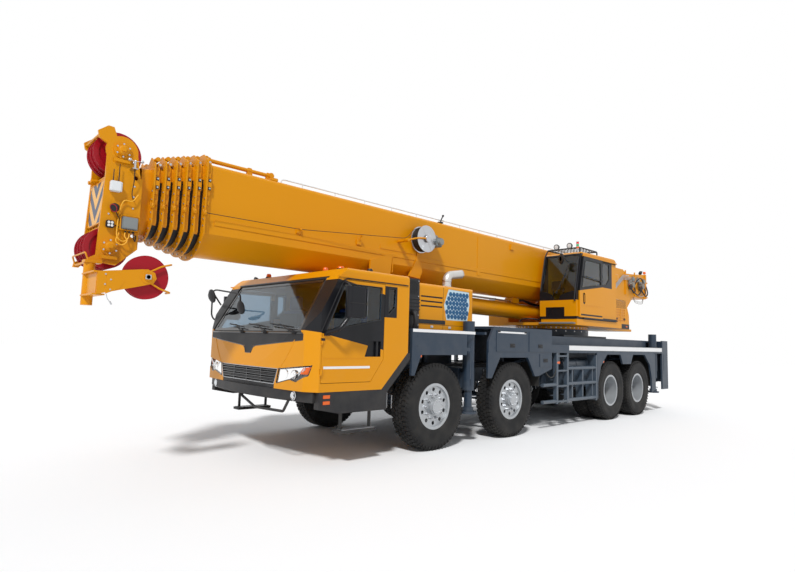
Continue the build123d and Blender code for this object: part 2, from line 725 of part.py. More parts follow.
DOOR_OUTLINE = (
    (3870, 1280),
    (4080, 1000),
    (4850, 1000),
    (4850, 1600),
    (4560, 2260),
    (3870, 2260),
)
DOOR_WINDOW = ((3930, 1790), (4790, 1620), (4530, 2205), (3930, 2205))
QUARTER_WINDOW = ((3680, 1970), (3810, 1850), (3810, 2205), (3680, 2205))
HANDLE_POCKET = ((4120, 1510), (3925, 1510), (3925, 1315), (4190, 1315))
POCKET_DEPTH = 30
SCREEN = ((-1170, 1600), (1170, 1600), (1120, 2280), (-1120, 2280))
GLASS = 6
# dark panel below the windscreen, which runs down to a blunt point
V_PANEL = (
    (-1215, 1578),
    (-1215, 1500),
    (-130, 1405),
    (-85, 1312),
    (85, 1312),
    (130, 1405),
    (1215, 1500),
    (1215, 1578),
)
V_DEPTH = 8
GRILLE = ((-690, 890), (690, 890), (690, 957), (757, 1146), (-757, 1146), (-690, 957))
GRILLE_SLOTS = ((1078, 1132, 735), (1012, 1062, 712), (950, 996, 680))
GRILLE_DEPTHS = (5, 60, 34)
HEADLAMP = (
    (775, 1148),
    (734, 967),
    (1000, 1030),
    (1115, 1008),
    (1290, 1085),
    (1330, 1210),
)
LAMP_DEPTHS = (3, 36)
SCREEN_START_X = 4300
LAMP_START_X = 4800
GRILLE_START_X = 4960
HINGE_X = 4853
HINGE_Y = HALF + 15
HINGE_LEVELS = (1140, 1500)
HINGE_HEIGHT = 60
HINGE_RADIUS = 12
HINGE_PIN_RADIUS = 6
LUG_HEIGHT = 14
LUG_GAP = 2
SWAGE_Z = 1290
SWAGE = (3, 8)
CAB_OUTER = cab_block(0)
CAB_INNER = cab_block(CAB_WALL)

with BuildPart() as cab_shell:
    add(CAB_OUTER)
    add(CAB_INNER, mode=Mode.SUBTRACT)
    for outline in (DOOR_OUTLINE, QUARTER_WINDOW):
        with BuildSketch(Plane.XZ):
            Polygon(*outline, align=None)
        extrude(amount=2 * HALF, both=True, mode=Mode.SUBTRACT)
    with BuildSketch(Plane.YZ.offset(4300)):
        Polygon(*SCREEN, align=None)
    extrude(amount=900, mode=Mode.SUBTRACT)
    # the grille and the headlamps pass through the front wall
    for start, outline in (
        (GRILLE_START_X, GRILLE),
        (LAMP_START_X, HEADLAMP),
        (LAMP_START_X, mirrored(HEADLAMP)),
    ):
        with BuildSketch(Plane.YZ.offset(start)):
            Polygon(*outline, align=None)
        extrude(amount=500, mode=Mode.SUBTRACT)
    add(front_band(-0.01, V_DEPTH, V_PANEL, LAMP_START_X), mode=Mode.SUBTRACT)
    for side, sign in SIDES:
        # rain gutter above the door
        with Locations((4060, sign * HALF, 2290)):
            Box(1180, 24, 16)
        # hinge lugs with their pins
        for level in HINGE_LEVELS:
            for end in (-1, 1):
                z = level + end * (HINGE_HEIGHT / 2 + LUG_GAP + LUG_HEIGHT / 2)
                with Locations((HINGE_X + 8, sign * (HALF + 12), z)):
                    Box(20, 24, LUG_HEIGHT)
            with Locations((HINGE_X, sign * HINGE_Y, level)):
                Cylinder(HINGE_PIN_RADIUS, HINGE_HEIGHT + 2 * LUG_GAP + LUG_HEIGHT)
cab_shell.part.label = "cab_shell"
export_step(cab_shell.part, "parts/cab_shell.step")

with BuildPart() as cab_glass:
    add(front_band(14, 14 + GLASS, shrunk(SCREEN, SEAT_GAP), SCREEN_START_X))
    for side, sign in SIDES:
        with BuildSketch(plane_facing(sign, HALF - 14)):
            Polygon(*side_points(sign, QUARTER_WINDOW), align=None)
            offset(amount=-SEAT_GAP)
        extrude(amount=GLASS)
cab_glass.part.label = "cab_glass"
export_step(cab_glass.part, "parts/cab_glass.step")

MIRROR_Y = 1600
MIRROR_MIDDLE = (4520, 1970)
MIRROR_SIZE = (270, 110, 370)
MIRROR_EDGE = 45

for side, sign in SIDES:
    with BuildPart() as door:
        with BuildSketch(plane_facing(sign, HALF)):
            Polygon(*side_points(sign, DOOR_OUTLINE), align=None)
            offset(amount=-DOOR_GAP)
            Polygon(*side_points(sign, DOOR_WINDOW), align=None, mode=Mode.SUBTRACT)
        extrude(amount=CAB_WALL)
        # handle in its pocket, and the pressed line across the panel
        with BuildSketch(plane_facing(sign, HALF)):
            Polygon(*side_points(sign, HANDLE_POCKET), align=None)
        extrude(amount=POCKET_DEPTH, mode=Mode.SUBTRACT)
        with Locations((3985, sign * (HALF - POCKET_DEPTH / 2 - 2), 1412)):
            Box(34, POCKET_DEPTH - 4, 194)
        with Locations((4500, sign * HALF, SWAGE_Z)):
            Box(660, 2 * SWAGE[0], SWAGE[1], mode=Mode.SUBTRACT)
        for level in HINGE_LEVELS:
            with Locations((HINGE_X - 22, sign * (HALF + 5), level)):
                Box(40, 10, HINGE_HEIGHT)
            with Locations((HINGE_X, sign * HINGE_Y, level)):
                Cylinder(HINGE_RADIUS, HINGE_HEIGHT)
                Cylinder(HINGE_PIN_RADIUS + FIT, HINGE_HEIGHT, mode=Mode.SUBTRACT)
        # mirror on a swept arm at the door's front upper corner
        with Locations((4790, sign * (HALF + 14), 1590)):
            Box(70, 28, 60)
        with BuildLine() as arm_route:
            arm_path = FilletPolyline(
                (4795, sign * (HALF + 18), 1595),
                (4720, sign * (MIRROR_Y - 30), 1650),
                (MIRROR_MIDDLE[0] + 60, sign * MIRROR_Y, 1830),
                radius=50,
            )
        with BuildSketch(Plane(origin=arm_path @ 0, z_dir=arm_path % 0)):
            Circle(24)
        sweep(path=arm_path)
        with BuildSketch(Plane.XY.offset(MIRROR_MIDDLE[1] - MIRROR_SIZE[2] / 2)):
            with Locations((MIRROR_MIDDLE[0], sign * MIRROR_Y)):
                RectangleRounded(MIRROR_SIZE[0], MIRROR_SIZE[1], MIRROR_EDGE)
        extrude(amount=MIRROR_SIZE[2])
    door.part.label = f"cab_door_{side}"
    export_step(door.part, f"parts/cab_door_{side}.step")
    with BuildPart() as door_glass:
        with BuildSketch(plane_facing(sign, HALF - 14)):
            Polygon(*side_points(sign, DOOR_WINDOW), align=None)
            offset(amount=-SEAT_GAP)
        extrude(amount=GLASS)
    door_glass.part.label = f"cab_door_glass_{side}"
    export_step(door_glass.part, f"parts/cab_door_glass_{side}.step")

FLOOR_Z = CAB_BOTTOM_Z + CAB_WALL
SEAT_X = 4160
SEAT_Y = 720
DASH = (4800, 220, 1560)
WHEEL_TILT = radians(30)
with BuildPart() as cab_interior:
    with Locations((DASH[0], 0, (FLOOR_Z + DASH[2]) / 2)):
        Box(DASH[1], 2100, DASH[2] - FLOOR_Z)
    for sign in (1, -1):
        with Locations((SEAT_X, sign * SEAT_Y, FLOOR_Z + 150)):
            Box(400, 380, 300)
        with Locations((SEAT_X, sign * SEAT_Y, FLOOR_Z + 350)):
            Box(520, 520, 120)
        with Locations((SEAT_X - 230, sign * SEAT_Y, FLOOR_Z + 640)):
            Box(120, 500, 620)
    with Locations((4600, SEAT_Y, 1480)):
        Cylinder(25, 260, rotation=(0, -60, 0))
    with Locations(Plane(origin=(4500, SEAT_Y, 1540), z_dir=(-cos(WHEEL_TILT), 0, sin(WHEEL_TILT)))):
        Torus(220, 16)
        Box(430, 40, 16)
cab_interior.part.label = "cab_interior"
export_step(cab_interior.part, "parts/cab_interior.step")

BUMPER = (4750, 1330, 770)
FOG_LAMP = (1030, 840)
FOG_LAMP_RADIUS = 48
STEP_TUBE = 17
# lower steps below the doors as (x, y, z, length)
DOOR_STEPS = ((4220, 1300, 700, 620), (4220, 1290, 410, 560))
SILL = ((3880, 640), (3880, CAB_BOTTOM_Z - SEAT_GAP), (4860, CAB_BOTTOM_Z - SEAT_GAP), (4860, 700), (4560, 640))
TRIM_GAP = 0.7 * SEAT_GAP
ARCH_TRIM = (
    (CAB_REAR_X - TRIM_GAP, 1370 - TRIM_GAP),
    (CAB_REAR_X + 460 - TRIM_GAP, CAB_BOTTOM_Z - TRIM_GAP),
    (3889, 640),
    (3790, 640),
    (3790, 860),
    (3380, 1280),
    (3380, 1368),
)
DUCT = ((3030, 3310), (860, 1200), 2420)

with BuildPart() as cab_fittings:
    # front bumper below the panel, with its fog lamp pockets
    with BuildSketch(Plane.XY.offset(BUMPER[2])):
        with BuildLine():
            Line((BUMPER[0], -BUMPER[1]), (BUMPER[0], BUMPER[1]))
            Line((BUMPER[0], BUMPER[1]), (4900, BUMPER[1]))
            ThreePointArc((4900, BUMPER[1]), (CAB_FRONT_X + 20, 0), (4900, -BUMPER[1]))
            Line((4900, -BUMPER[1]), (BUMPER[0], -BUMPER[1]))
        make_face()
    extrude(amount=CAB_BOTTOM_Z - BUMPER[2] - SEAT_GAP)
    chamfer(cab_fittings.faces().sort_by(Axis.Z)[0].edges(), 22)
    for side, sign in SIDES:
        with BuildSketch(Plane.YZ.offset(4960)):
            with Locations((sign * FOG_LAMP[0], FOG_LAMP[1])):
                Circle(FOG_LAMP_RADIUS)
        extrude(amount=200, mode=Mode.SUBTRACT)
    # tube step below the bumper
    with BuildLine() as step_route:
        step_path = FilletPolyline(
            (4960, -190, BUMPER[2] + 20),
            (5000, -190, 740),
            (5005, 200, 621),
            (5005, 880, 640),
            (4960, 930, BUMPER[2] + 20),
            radius=30,
        )
    with BuildSketch(Plane(origin=step_path @ 0, z_dir=step_path % 0)):
        Circle(STEP_TUBE)
    sweep(path=step_path)
    # sill, wheel arch trim and the steps below the doors
    for side, sign in SIDES:
        for outline in (SILL, ARCH_TRIM):
            with BuildSketch(plane_facing(sign, HALF - 3)):
                Polygon(*side_points(sign, outline), align=None)
            extrude(amount=90)
        for x, y, z, length in DOOR_STEPS:
            with Locations((x, sign * y, z)):
                Box(length, 170, 36)
        for x in (3990, 4450):
            with Locations((x, sign * 1290, 560)):
                Box(30, 30, 330)
        # brackets that carry the sill from the bumper and the trim
        with Locations((4800, sign * 1280, 830)):
            Box(120, 200, 100)
    # slatted grille set into the front wall
    add(front_band(GRILLE_DEPTHS[0], GRILLE_DEPTHS[1], shrunk(GRILLE, 1), GRILLE_START_X + 1))
    for bottom, top, half in GRILLE_SLOTS:
        add(
            front_band(
                -0.01,
                GRILLE_DEPTHS[2],
                ((-half, bottom), (half, bottom), (half, top), (-half, top)),
                GRILLE_START_X,
            ),
            mode=Mode.SUBTRACT,
        )
    with Locations((5015, 0, CAB_BOTTOM_Z - 6)):
        Box(40, 1200, 20)
    # dark panel below the windscreen
    add(front_band(1, V_DEPTH - SEAT_GAP, shrunk(V_PANEL, 1), LAMP_START_X))
    # air intake duct behind the cab
    (low, high), (near, far), top = DUCT
    with Locations(((low + high) / 2, (near + far) / 2, (DECK_Z + SEAT_GAP + top) / 2)):
        Box(high - low, far - near, top - DECK_Z - SEAT_GAP)
cab_fittings.part.label = "cab_fittings"
export_step(cab_fittings.part, "parts/cab_fittings.step")

# lamps on the roof as (x, y, base radius, height)
ROOF_LAMPS = ((4440, -610, 48, 68), (4370, 740, 48, 68), (4405, 1120, 55, 50), (3990, 1210, 45, 55), (4300, -1240, 50, 60))
with BuildPart() as lamps:
    for outline in (HEADLAMP, mirrored(HEADLAMP)):
        add(front_band(LAMP_DEPTHS[0], LAMP_DEPTHS[1], shrunk(outline, 1), LAMP_START_X))
    for side, sign in SIDES:
        with BuildSketch(Plane.YZ.offset(4960 + SEAT_GAP)):
            with Locations((sign * FOG_LAMP[0], FOG_LAMP[1])):
                Circle(FOG_LAMP_RADIUS - SEAT_GAP)
        extrude(amount=22)
        with Locations((REAR_DECK[0] - 20, sign * 1200, 1100)):
            Box(40, 200, 120)
    for x, y, radius, height in ROOF_LAMPS:
        with Locations((x, y, CAB_ROOF_Z + height / 2)):
            Cylinder(radius, height)
lamps.part.label = "lamps"
export_step(lamps.part, "parts/lamps.step")

# ================================================================ superstructure
CHEEK_Y = 430
CHEEK = 45
PLATFORM_Z = 1940
PLATFORM_DEPTH = 120
TAIL_X = -6730
TAIL_BOTTOM_Z = 2890
TAIL_TOP_Z = 3560
TAIL_POST = 70
TAIL_FLOOR_X = -5900
TAIL_END_X = -7150
COUNTERWEIGHT_JACK_RADIUS = 75
COUNTERWEIGHT_JACK_Y = 300
BOOM_PIN_RADIUS = 70
MOTOR_RADIUS = 130
# side plates as (x, z)
CHEEK_OUTLINE = (
    (-1500, PLATFORM_Z + 50),
    (-1500, 2350),
    (-2600, 2500),
    (-4350, 3350),
    (-4560, TAIL_TOP_Z),
    (-5350, TAIL_TOP_Z),
    (-5500, TAIL_TOP_Z - 90),
    (-6050, TAIL_TOP_Z - 60),
    (TAIL_X, TAIL_TOP_Z),
    (TAIL_X, TAIL_BOTTOM_Z),
    (-5950, TAIL_BOTTOM_Z),
    (-4900, PLATFORM_Z + 50),
)
# lightening hole between the turntable and the boom's foot, and the vertical ribs outside
CHEEK_HOLE = ((-3350, 2120), (-4350, 2120), (-4560, 2480), (-4150, 2820), (-3350, 2560))
RIBS = ((-5460, 2910, 3550), (-6030, 2910, 3550))
RIB = (36, 26)
# hoods on the turntable: side outline as (x, z), then y from and to
LEFT_HOOD = (
    (-3080, PLATFORM_Z),
    (-3080, 2660),
    (-3760, 2590),
    (-3920, 2510),
    (-3995, 2360),
    (-4010, PLATFORM_Z),
)
RIGHT_HOOD = (
    (-1810, PLATFORM_Z),
    (-1800, 2480),
    (-1900, 2560),
    (-3700, 2560),
    (-4000, 2460),
    (-4090, 2300),
    (-4100, PLATFORM_Z),
)
LEFT_HOOD_Y = (470, 1195)
RIGHT_HOOD_Y = (-1195, -470)
HOOD_RADIUS = 50
LOUVRES = (2130, 2190, 2250, 2310, 2370)
LOUVRE = (14, 20)

# name, x, z, drum radius
WINCHES = (("main", -5745, 3190, 230), ("auxiliary", -6375, 3200, 200))


def hood_solid(outline, y_range, louvre_x):
    """A hood with rounded long edges and a row of louvre slots in its outer side."""
    low, high = y_range
    outer = high if high > 0 else low
    with BuildPart() as hood:
        with BuildSketch(Plane.XZ.offset(-high)):
            Polygon(*outline, align=None)
        extrude(amount=high - low)
        top = [
            edge
            for edge in hood.edges()
            if abs(edge.center().Y - outer) < 1 and edge.center().Z > 2300 and edge.length > 150
        ]
        fillet(top, HOOD_RADIUS)
        for z in LOUVRES:
            with Locations((louvre_x, outer, z)):
                Box(560, 2 * LOUVRE[0], LOUVRE[1], mode=Mode.SUBTRACT)
    return hood.part


with BuildPart() as superstructure:
    with BuildSketch(Plane.XY.offset(SLEW_Z)):
        with Locations((SLEW_X, 0)):
            Circle(RING_RADIUS)
    extrude(amount=PLATFORM_Z - SLEW_Z)
    with Locations((-3600, 0, PLATFORM_Z + 30)):
        Box(4400, 2 * (CHEEK_Y + CHEEK), 60)
    for sign in (1, -1):
        with BuildSketch(Plane.XZ.offset(-sign * (CHEEK_Y + CHEEK / 2))):
            Polygon(*CHEEK_OUTLINE, align=None)
            Polygon(*CHEEK_HOLE, align=None, mode=Mode.SUBTRACT)
            with Locations((BOOM_PIVOT_X, BOOM_PIVOT_Z)):
                Circle(BOOM_PIN_RADIUS + FIT, mode=Mode.SUBTRACT)
            with Locations(LIFT_BASE):
                Circle(BOOM_PIN_RADIUS, mode=Mode.SUBTRACT)
            # the winches' motors stand through the plates
            for name, x, z, radius in WINCHES:
                with Locations((x, z)):
                    Circle(MOTOR_RADIUS + FIT, mode=Mode.SUBTRACT)
        extrude(amount=CHEEK / 2, both=True)
        for x, bottom, top in RIBS:
            with Locations((x, sign * (CHEEK_Y + CHEEK + RIB[1] / 2), (bottom + top) / 2)):
                Box(RIB[0], RIB[1], top - bottom)
    # pin of the lift cylinder
    with Locations(Plane(origin=(LIFT_BASE[0], 0, LIFT_BASE[1]), z_dir=(0, 1, 0))):
        Cylinder(BOOM_PIN_RADIUS, 2 * (CHEEK_Y + CHEEK))
    # platform under the operator's cab and the hoods behind it
    with Locations((-2300, 930, PLATFORM_Z + PLATFORM_DEPTH / 2)):
        Box(2000, 2 * 400, PLATFORM_DEPTH)
    add(hood_solid(LEFT_HOOD, LEFT_HOOD_Y, -3500))
    add(hood_solid(RIGHT_HOOD, RIGHT_HOOD_Y, -3000))
    # tail: end posts, cross member and the two lifting jacks of the counterweight
    for sign in (1, -1):
        with Locations((TAIL_X, sign * (CHEEK_Y + CHEEK / 2), (TAIL_BOTTOM_Z + TAIL_TOP_Z) / 2)):
            Box(TAIL_POST, CHEEK + 60, TAIL_TOP_Z - TAIL_BOTTOM_Z)
    with Locations((TAIL_X, 0, (TAIL_BOTTOM_Z + TAIL_TOP_Z) / 2)):
        Box(TAIL_POST, 2 * CHEEK_Y, TAIL_TOP_Z - TAIL_BOTTOM_Z - 120)
    with Locations(((TAIL_X + TAIL_FLOOR_X) / 2, 0, TAIL_BOTTOM_Z - 10)):
        Box(TAIL_FLOOR_X - TAIL_X, 2 * (CHEEK_Y + CHEEK) + 30, 20)
    jack_x = TAIL_END_X + COUNTERWEIGHT_JACK_RADIUS + 45
    for sign in (1, -1):
        with Locations((jack_x, sign * COUNTERWEIGHT_JACK_Y, (TAIL_BOTTOM_Z + TAIL_TOP_Z) / 2)):
            Cylinder(COUNTERWEIGHT_JACK_RADIUS, TAIL_TOP_Z - TAIL_BOTTOM_Z - 140)
        for z in (TAIL_BOTTOM_Z + 55, TAIL_TOP_Z - 200):
            with Locations((jack_x, sign * COUNTERWEIGHT_JACK_Y, z)):
                Cylinder(COUNTERWEIGHT_JACK_RADIUS + 45, 30)
        for z in (TAIL_BOTTOM_Z + 110, TAIL_TOP_Z - 130):
            with Locations(((TAIL_X + jack_x) / 2, sign * COUNTERWEIGHT_JACK_Y, z)):
                Box(TAIL_X - jack_x, 110, 60)
superstructure.part.label = "superstructure"
export_step(superstructure.part, "parts/superstructure.step")

FLANGE_Y = CHEEK_Y - 60
DRUM_GROOVES = 12
with BuildPart() as winches:
    for name, x, z, radius in WINCHES:
        with Locations(Plane(origin=(x, 0, z), z_dir=(0, 1, 0))):
            Cylinder(radius, 2 * CHEEK_Y - 2 * SEAT_GAP)
            Cylinder(MOTOR_RADIUS - SEAT_GAP, 2 * (CHEEK_Y + CHEEK + 40))
        with Locations(Plane(origin=(x, CHEEK_Y + CHEEK + 70, z), z_dir=(0, 1, 0))):
            Cylinder(MOTOR_RADIUS - 50, 80)
        for sign in (1, -1):
            with Locations(Plane(origin=(x, sign * FLANGE_Y, z), z_dir=(0, 1, 0))):
                Cylinder(radius + 60, 24)
        # rope grooves round the drum
        for number in range(DRUM_GROOVES):
            y = (number + 0.5 - DRUM_GROOVES / 2) * 2 * (FLANGE_Y - 30) / DRUM_GROOVES
            with BuildSketch(Plane(origin=(x, y - 10, z), z_dir=(0, 1, 0))):
                Circle(radius + 1)
                Circle(radius - 10, mode=Mode.SUBTRACT)
            extrude(amount=20, mode=Mode.SUBTRACT)
winches.part.label = "winches"
export_step(winches.part, "parts/winches.step")

OPERATOR_BOTTOM_Z = PLATFORM_Z + PLATFORM_DEPTH + SEAT_GAP
OPERATOR_SIDE = (
    (-1300, OPERATOR_BOTTOM_Z),
    (-1290, 2600),
    (-1480, 3390),
    (-1560, 3440),
    (-2960, 3460),
    (-3050, 3400),
    (-3050, OPERATOR_BOTTOM_Z),
)
OPERATOR_Y = (500, 1325)
OPERATOR_WALL = 40
OPERATOR_EDGE = 45
OPERATOR_DOOR = ((-1400, 2130), (-1400, 2640), (-1560, 3310), (-2320, 3310), (-2320, 2130))
OPERATOR_DOOR_WINDOW = ((-1450, 2690), (-1600, 3270), (-2260, 3270), (-2260, 2810))
OPERATOR_REAR_WINDOW = ((-2400, 2830), (-2400, 3290), (-2720, 3290), (-2720, 2970), (-2580, 2850))
DOOR_STAND_OFF = 6
DOOR_LAP = 30
OPERATOR_DOOR_DEPTH = 30
DOOR_HANDLE = (-1540, 2480)
DOOR_SWAGE_Z = 2340
# windscreen with a notch in its lower edge as (y, z)
OPERATOR_SCREEN = (
    (550, 2620),
    (610, 2620),
    (760, 2560),
    (820, 2460),
    (930, 2450),
    (990, 2550),
    (1230, 2620),
    (1275, 2620),
    (1275, 3360),
    (550, 3360),
)
FRONT_RECESS = ((770, 2290), (670, 2090), (1040, 2090), (960, 2290))


def operator_block(inset):
    """The operator's cab's closed form with every wall moved in by inset."""
    with BuildPart() as block:
        with BuildSketch(Plane.XZ.offset(-OPERATOR_Y[1] + inset)):
            with BuildLine():
                Polyline(*OPERATOR_SIDE, close=True)
            make_face()
            if inset:
                offset(amount=-inset, kind=Kind.INTERSECTION)
        extrude(amount=OPERATOR_Y[1] - OPERATOR_Y[0] - 2 * inset)
        roof = [
            edge
            for edge in block.edges().filter_by(GeomType.LINE)
            if edge.center().Z > 3430 - inset and edge.length > 1000
        ]
        fillet(roof, OPERATOR_EDGE - inset / 2)
    return block.part


with BuildPart() as operator_cab:
    add(operator_block(0))
    add(operator_block(OPERATOR_WALL), mode=Mode.SUBTRACT)
    for outline in (OPERATOR_DOOR, OPERATOR_REAR_WINDOW):
        with BuildSketch(Plane.XZ.offset(-OPERATOR_Y[1] - 50)):
            Polygon(*outline, align=None)
        extrude(amount=150, mode=Mode.SUBTRACT)
    with BuildSketch(Plane.YZ.offset(-1700)):
        Polygon(*OPERATOR_SCREEN, align=None)
    extrude(amount=600, mode=Mode.SUBTRACT)
    with BuildSketch(Plane.YZ.offset(-1310)):
        Polygon(*FRONT_RECESS, align=None)
    extrude(amount=100, mode=Mode.SUBTRACT)
    # seat
    with Locations((-2300, 900, 2200)):
        Box(350, 350, 210)
    with Locations((-2300, 900, 2360)):
        Box(500, 480, 120)
    with Locations((-2540, 900, 2700)):
        Box(110, 460, 640)
    # rails that the sliding door runs between
    for low, high in (
        (OPERATOR_DOOR[0][1] - DOOR_LAP - 25, OPERATOR_DOOR[0][1] - DOOR_LAP - SEAT_GAP),
        (OPERATOR_DOOR[2][1] + DOOR_LAP + SEAT_GAP, OPERATOR_DOOR[2][1] + DOOR_LAP + 20),
    ):
        with Locations((-2280, OPERATOR_Y[1] + 20, (low + high) / 2)):
            Box(1500, 40, high - low)
operator_cab.part.label = "operator_cab"
export_step(operator_cab.part, "parts/operator_cab.step")

with BuildPart() as operator_cab_glass:
    add(operator_block(12))
    add(operator_block(12 + GLASS), mode=Mode.SUBTRACT)
    with BuildSketch(Plane.YZ.offset(-1700)):
        Polygon(*OPERATOR_SCREEN, align=None)
        offset(amount=-SEAT_GAP)
    extrude(amount=600, mode=Mode.INTERSECT)
    with BuildSketch(Plane.XZ.offset(-OPERATOR_Y[1] + 12)):
        Polygon(*OPERATOR_REAR_WINDOW, align=None)
        offset(amount=-SEAT_GAP)
    extrude(amount=GLASS)
operator_cab_glass.part.label = "operator_cab_glass"
export_step(operator_cab_glass.part, "parts/operator_cab_glass.step")

DOOR_OUTER_Y = OPERATOR_Y[1] + DOOR_STAND_OFF + OPERATOR_DOOR_DEPTH
with BuildPart() as operator_door:
    with BuildSketch(Plane.XZ.offset(-DOOR_OUTER_Y)):
        Polygon(*OPERATOR_DOOR, align=None)
        offset(amount=DOOR_LAP, kind=Kind.INTERSECTION)
        Polygon(*OPERATOR_DOOR_WINDOW, align=None, mode=Mode.SUBTRACT)
    extrude(amount=OPERATOR_DOOR_DEPTH)
    with Locations((-1860, DOOR_OUTER_Y, DOOR_SWAGE_Z)):
        Box(880, 8, 8, mode=Mode.SUBTRACT)
    # oval handle recess with its pull
    with BuildSketch(Plane.XZ.offset(-DOOR_OUTER_Y)):
        with Locations(DOOR_HANDLE):
            SlotOverall(230, 90, rotation=90)
            SlotOverall(160, 24, rotation=90, mode=Mode.SUBTRACT)
    extrude(amount=16, mode=Mode.SUBTRACT)
operator_door.part.label = "operator_door"
export_step(operator_door.part, "parts/operator_door.step")

with BuildPart() as operator_door_glass:
    with BuildSketch(Plane.XZ.offset(-DOOR_OUTER_Y + 8)):
        Polygon(*OPERATOR_DOOR_WINDOW, align=None)
        offset(amount=-SEAT_GAP)
    extrude(amount=GLASS)
operator_door_glass.part.label = "operator_door_glass"
export_step(operator_door_glass.part, "parts/operator_door_glass.step")

# ================================================================ boom
BOOM_REAR_X = BOOM_PIVOT_X - 250
ROOSTER_PIN = (7090, 350)
ROOSTER_LUG_Z = 2240
JIB_PINS = ((6680, 2600), (6690, 3250))
JIB_PIN_RADIUS = 25
COLLAR_HEIGHT = 55
COLLAR_PLATE = 16
COLLAR_DEPTH = 70
ROLLER_RADIUS = 34
ROLLER_Y = 225
ROLLER_LENGTH = 250
PAD_BLOCK = (50, 30, 150)
FIN = (50, 60, 14)
FIN_Z = 2975
PAD_GAP = 0.5
LUG_Y = 190
LIFT_EYE_PIN = 50
EYE_CLEARANCE = 3
HEAD_Y = 285
HEAD_PLATE = 30
# place, x, z, radius, number of sheaves side by side
SHEAVE_GROUPS = (("top", 6850, 3520, 250, 3), ("bottom", 6905, 2440, 225, 4))
SADDLE = (
    (2350, 2580),
    (2350, 2510),
    (LIFT_EYE[0] - 110, LIFT_EYE[1] - 90),
    (LIFT_EYE[0] + 110, LIFT_EYE[1] - 90),
    (3370, CAB_ROOF_Z + 30),
    (3750, 2510),
    (3750, 2580),
)
# plates welded on the base's sides as (x, z): the saddle's wing and its rear end plate
SIDE_PLATES = (
    ((3310, 2740), (2850, 2910), (2900, 2520), (3310, 2560)),
    ((2280, 3070), (2170, 2680), (2230, 2560), (2480, 2580), (2330, 2840)),
)
# raised strips on the base's sides as (x from, x to, z from, z to)
SIDE_STRIPS = ((-4300, 5800, 2850, 2915), (2320, 3110, 2950, 3010), (600, 690, 2780, 3500), (2832, 2848, 2600, 2920))
STRIP_RISE = 8
REEL = (2270, 3200, 200)
REEL_Y = (460, 600)
HEAD_OUTLINE = (
    (6640, 3250),
    (6690, 3520),
    (7000, 3520),
    (7000, 3190),
    (7030, 2270),
    (6830, 2250),
    (6620, 2450),
    (6620, 3250),
)
# arms on the head's plates that hold the rope guards, as (x, z)
GUARD_ARMS = (
    ((6850, 3480), (7090, 3620), (7105, 3690), (7010, 3768), (6950, 3765)),
    ((6940, 2400), (7100, 2300), (7110, 2246), (7050, 2246)),
)
GUARD_BARS = ((7076, 3664), (6986, 3750), (7086, 2268))
GUARD_BAR_RADIUS = 12
BOSSES = ((90, 18), (60, 45))


def boom_outline(shrink):
    """Section outline: flat top with rounded corners, straight sides and a round belly."""
    half = BOOM_WIDTH / 2 - shrink
    top = BOOM_TOP_Z - shrink
    bottom = BOOM_TOP_Z - BOOM_DEPTH + shrink
    belly = bottom + 0.62 * half
    with BuildSketch() as outline:
        with BuildLine():
            Line((-half, belly), (-half, top))
            Line((-half, top), (half, top))
            Line((half, top), (half, belly))
            ThreePointArc((half, belly), (0, bottom), (-half, belly))
        make_face()
        fillet(outline.vertices().group_by(Axis.Y)[-1], 60)
    return outline.sketch


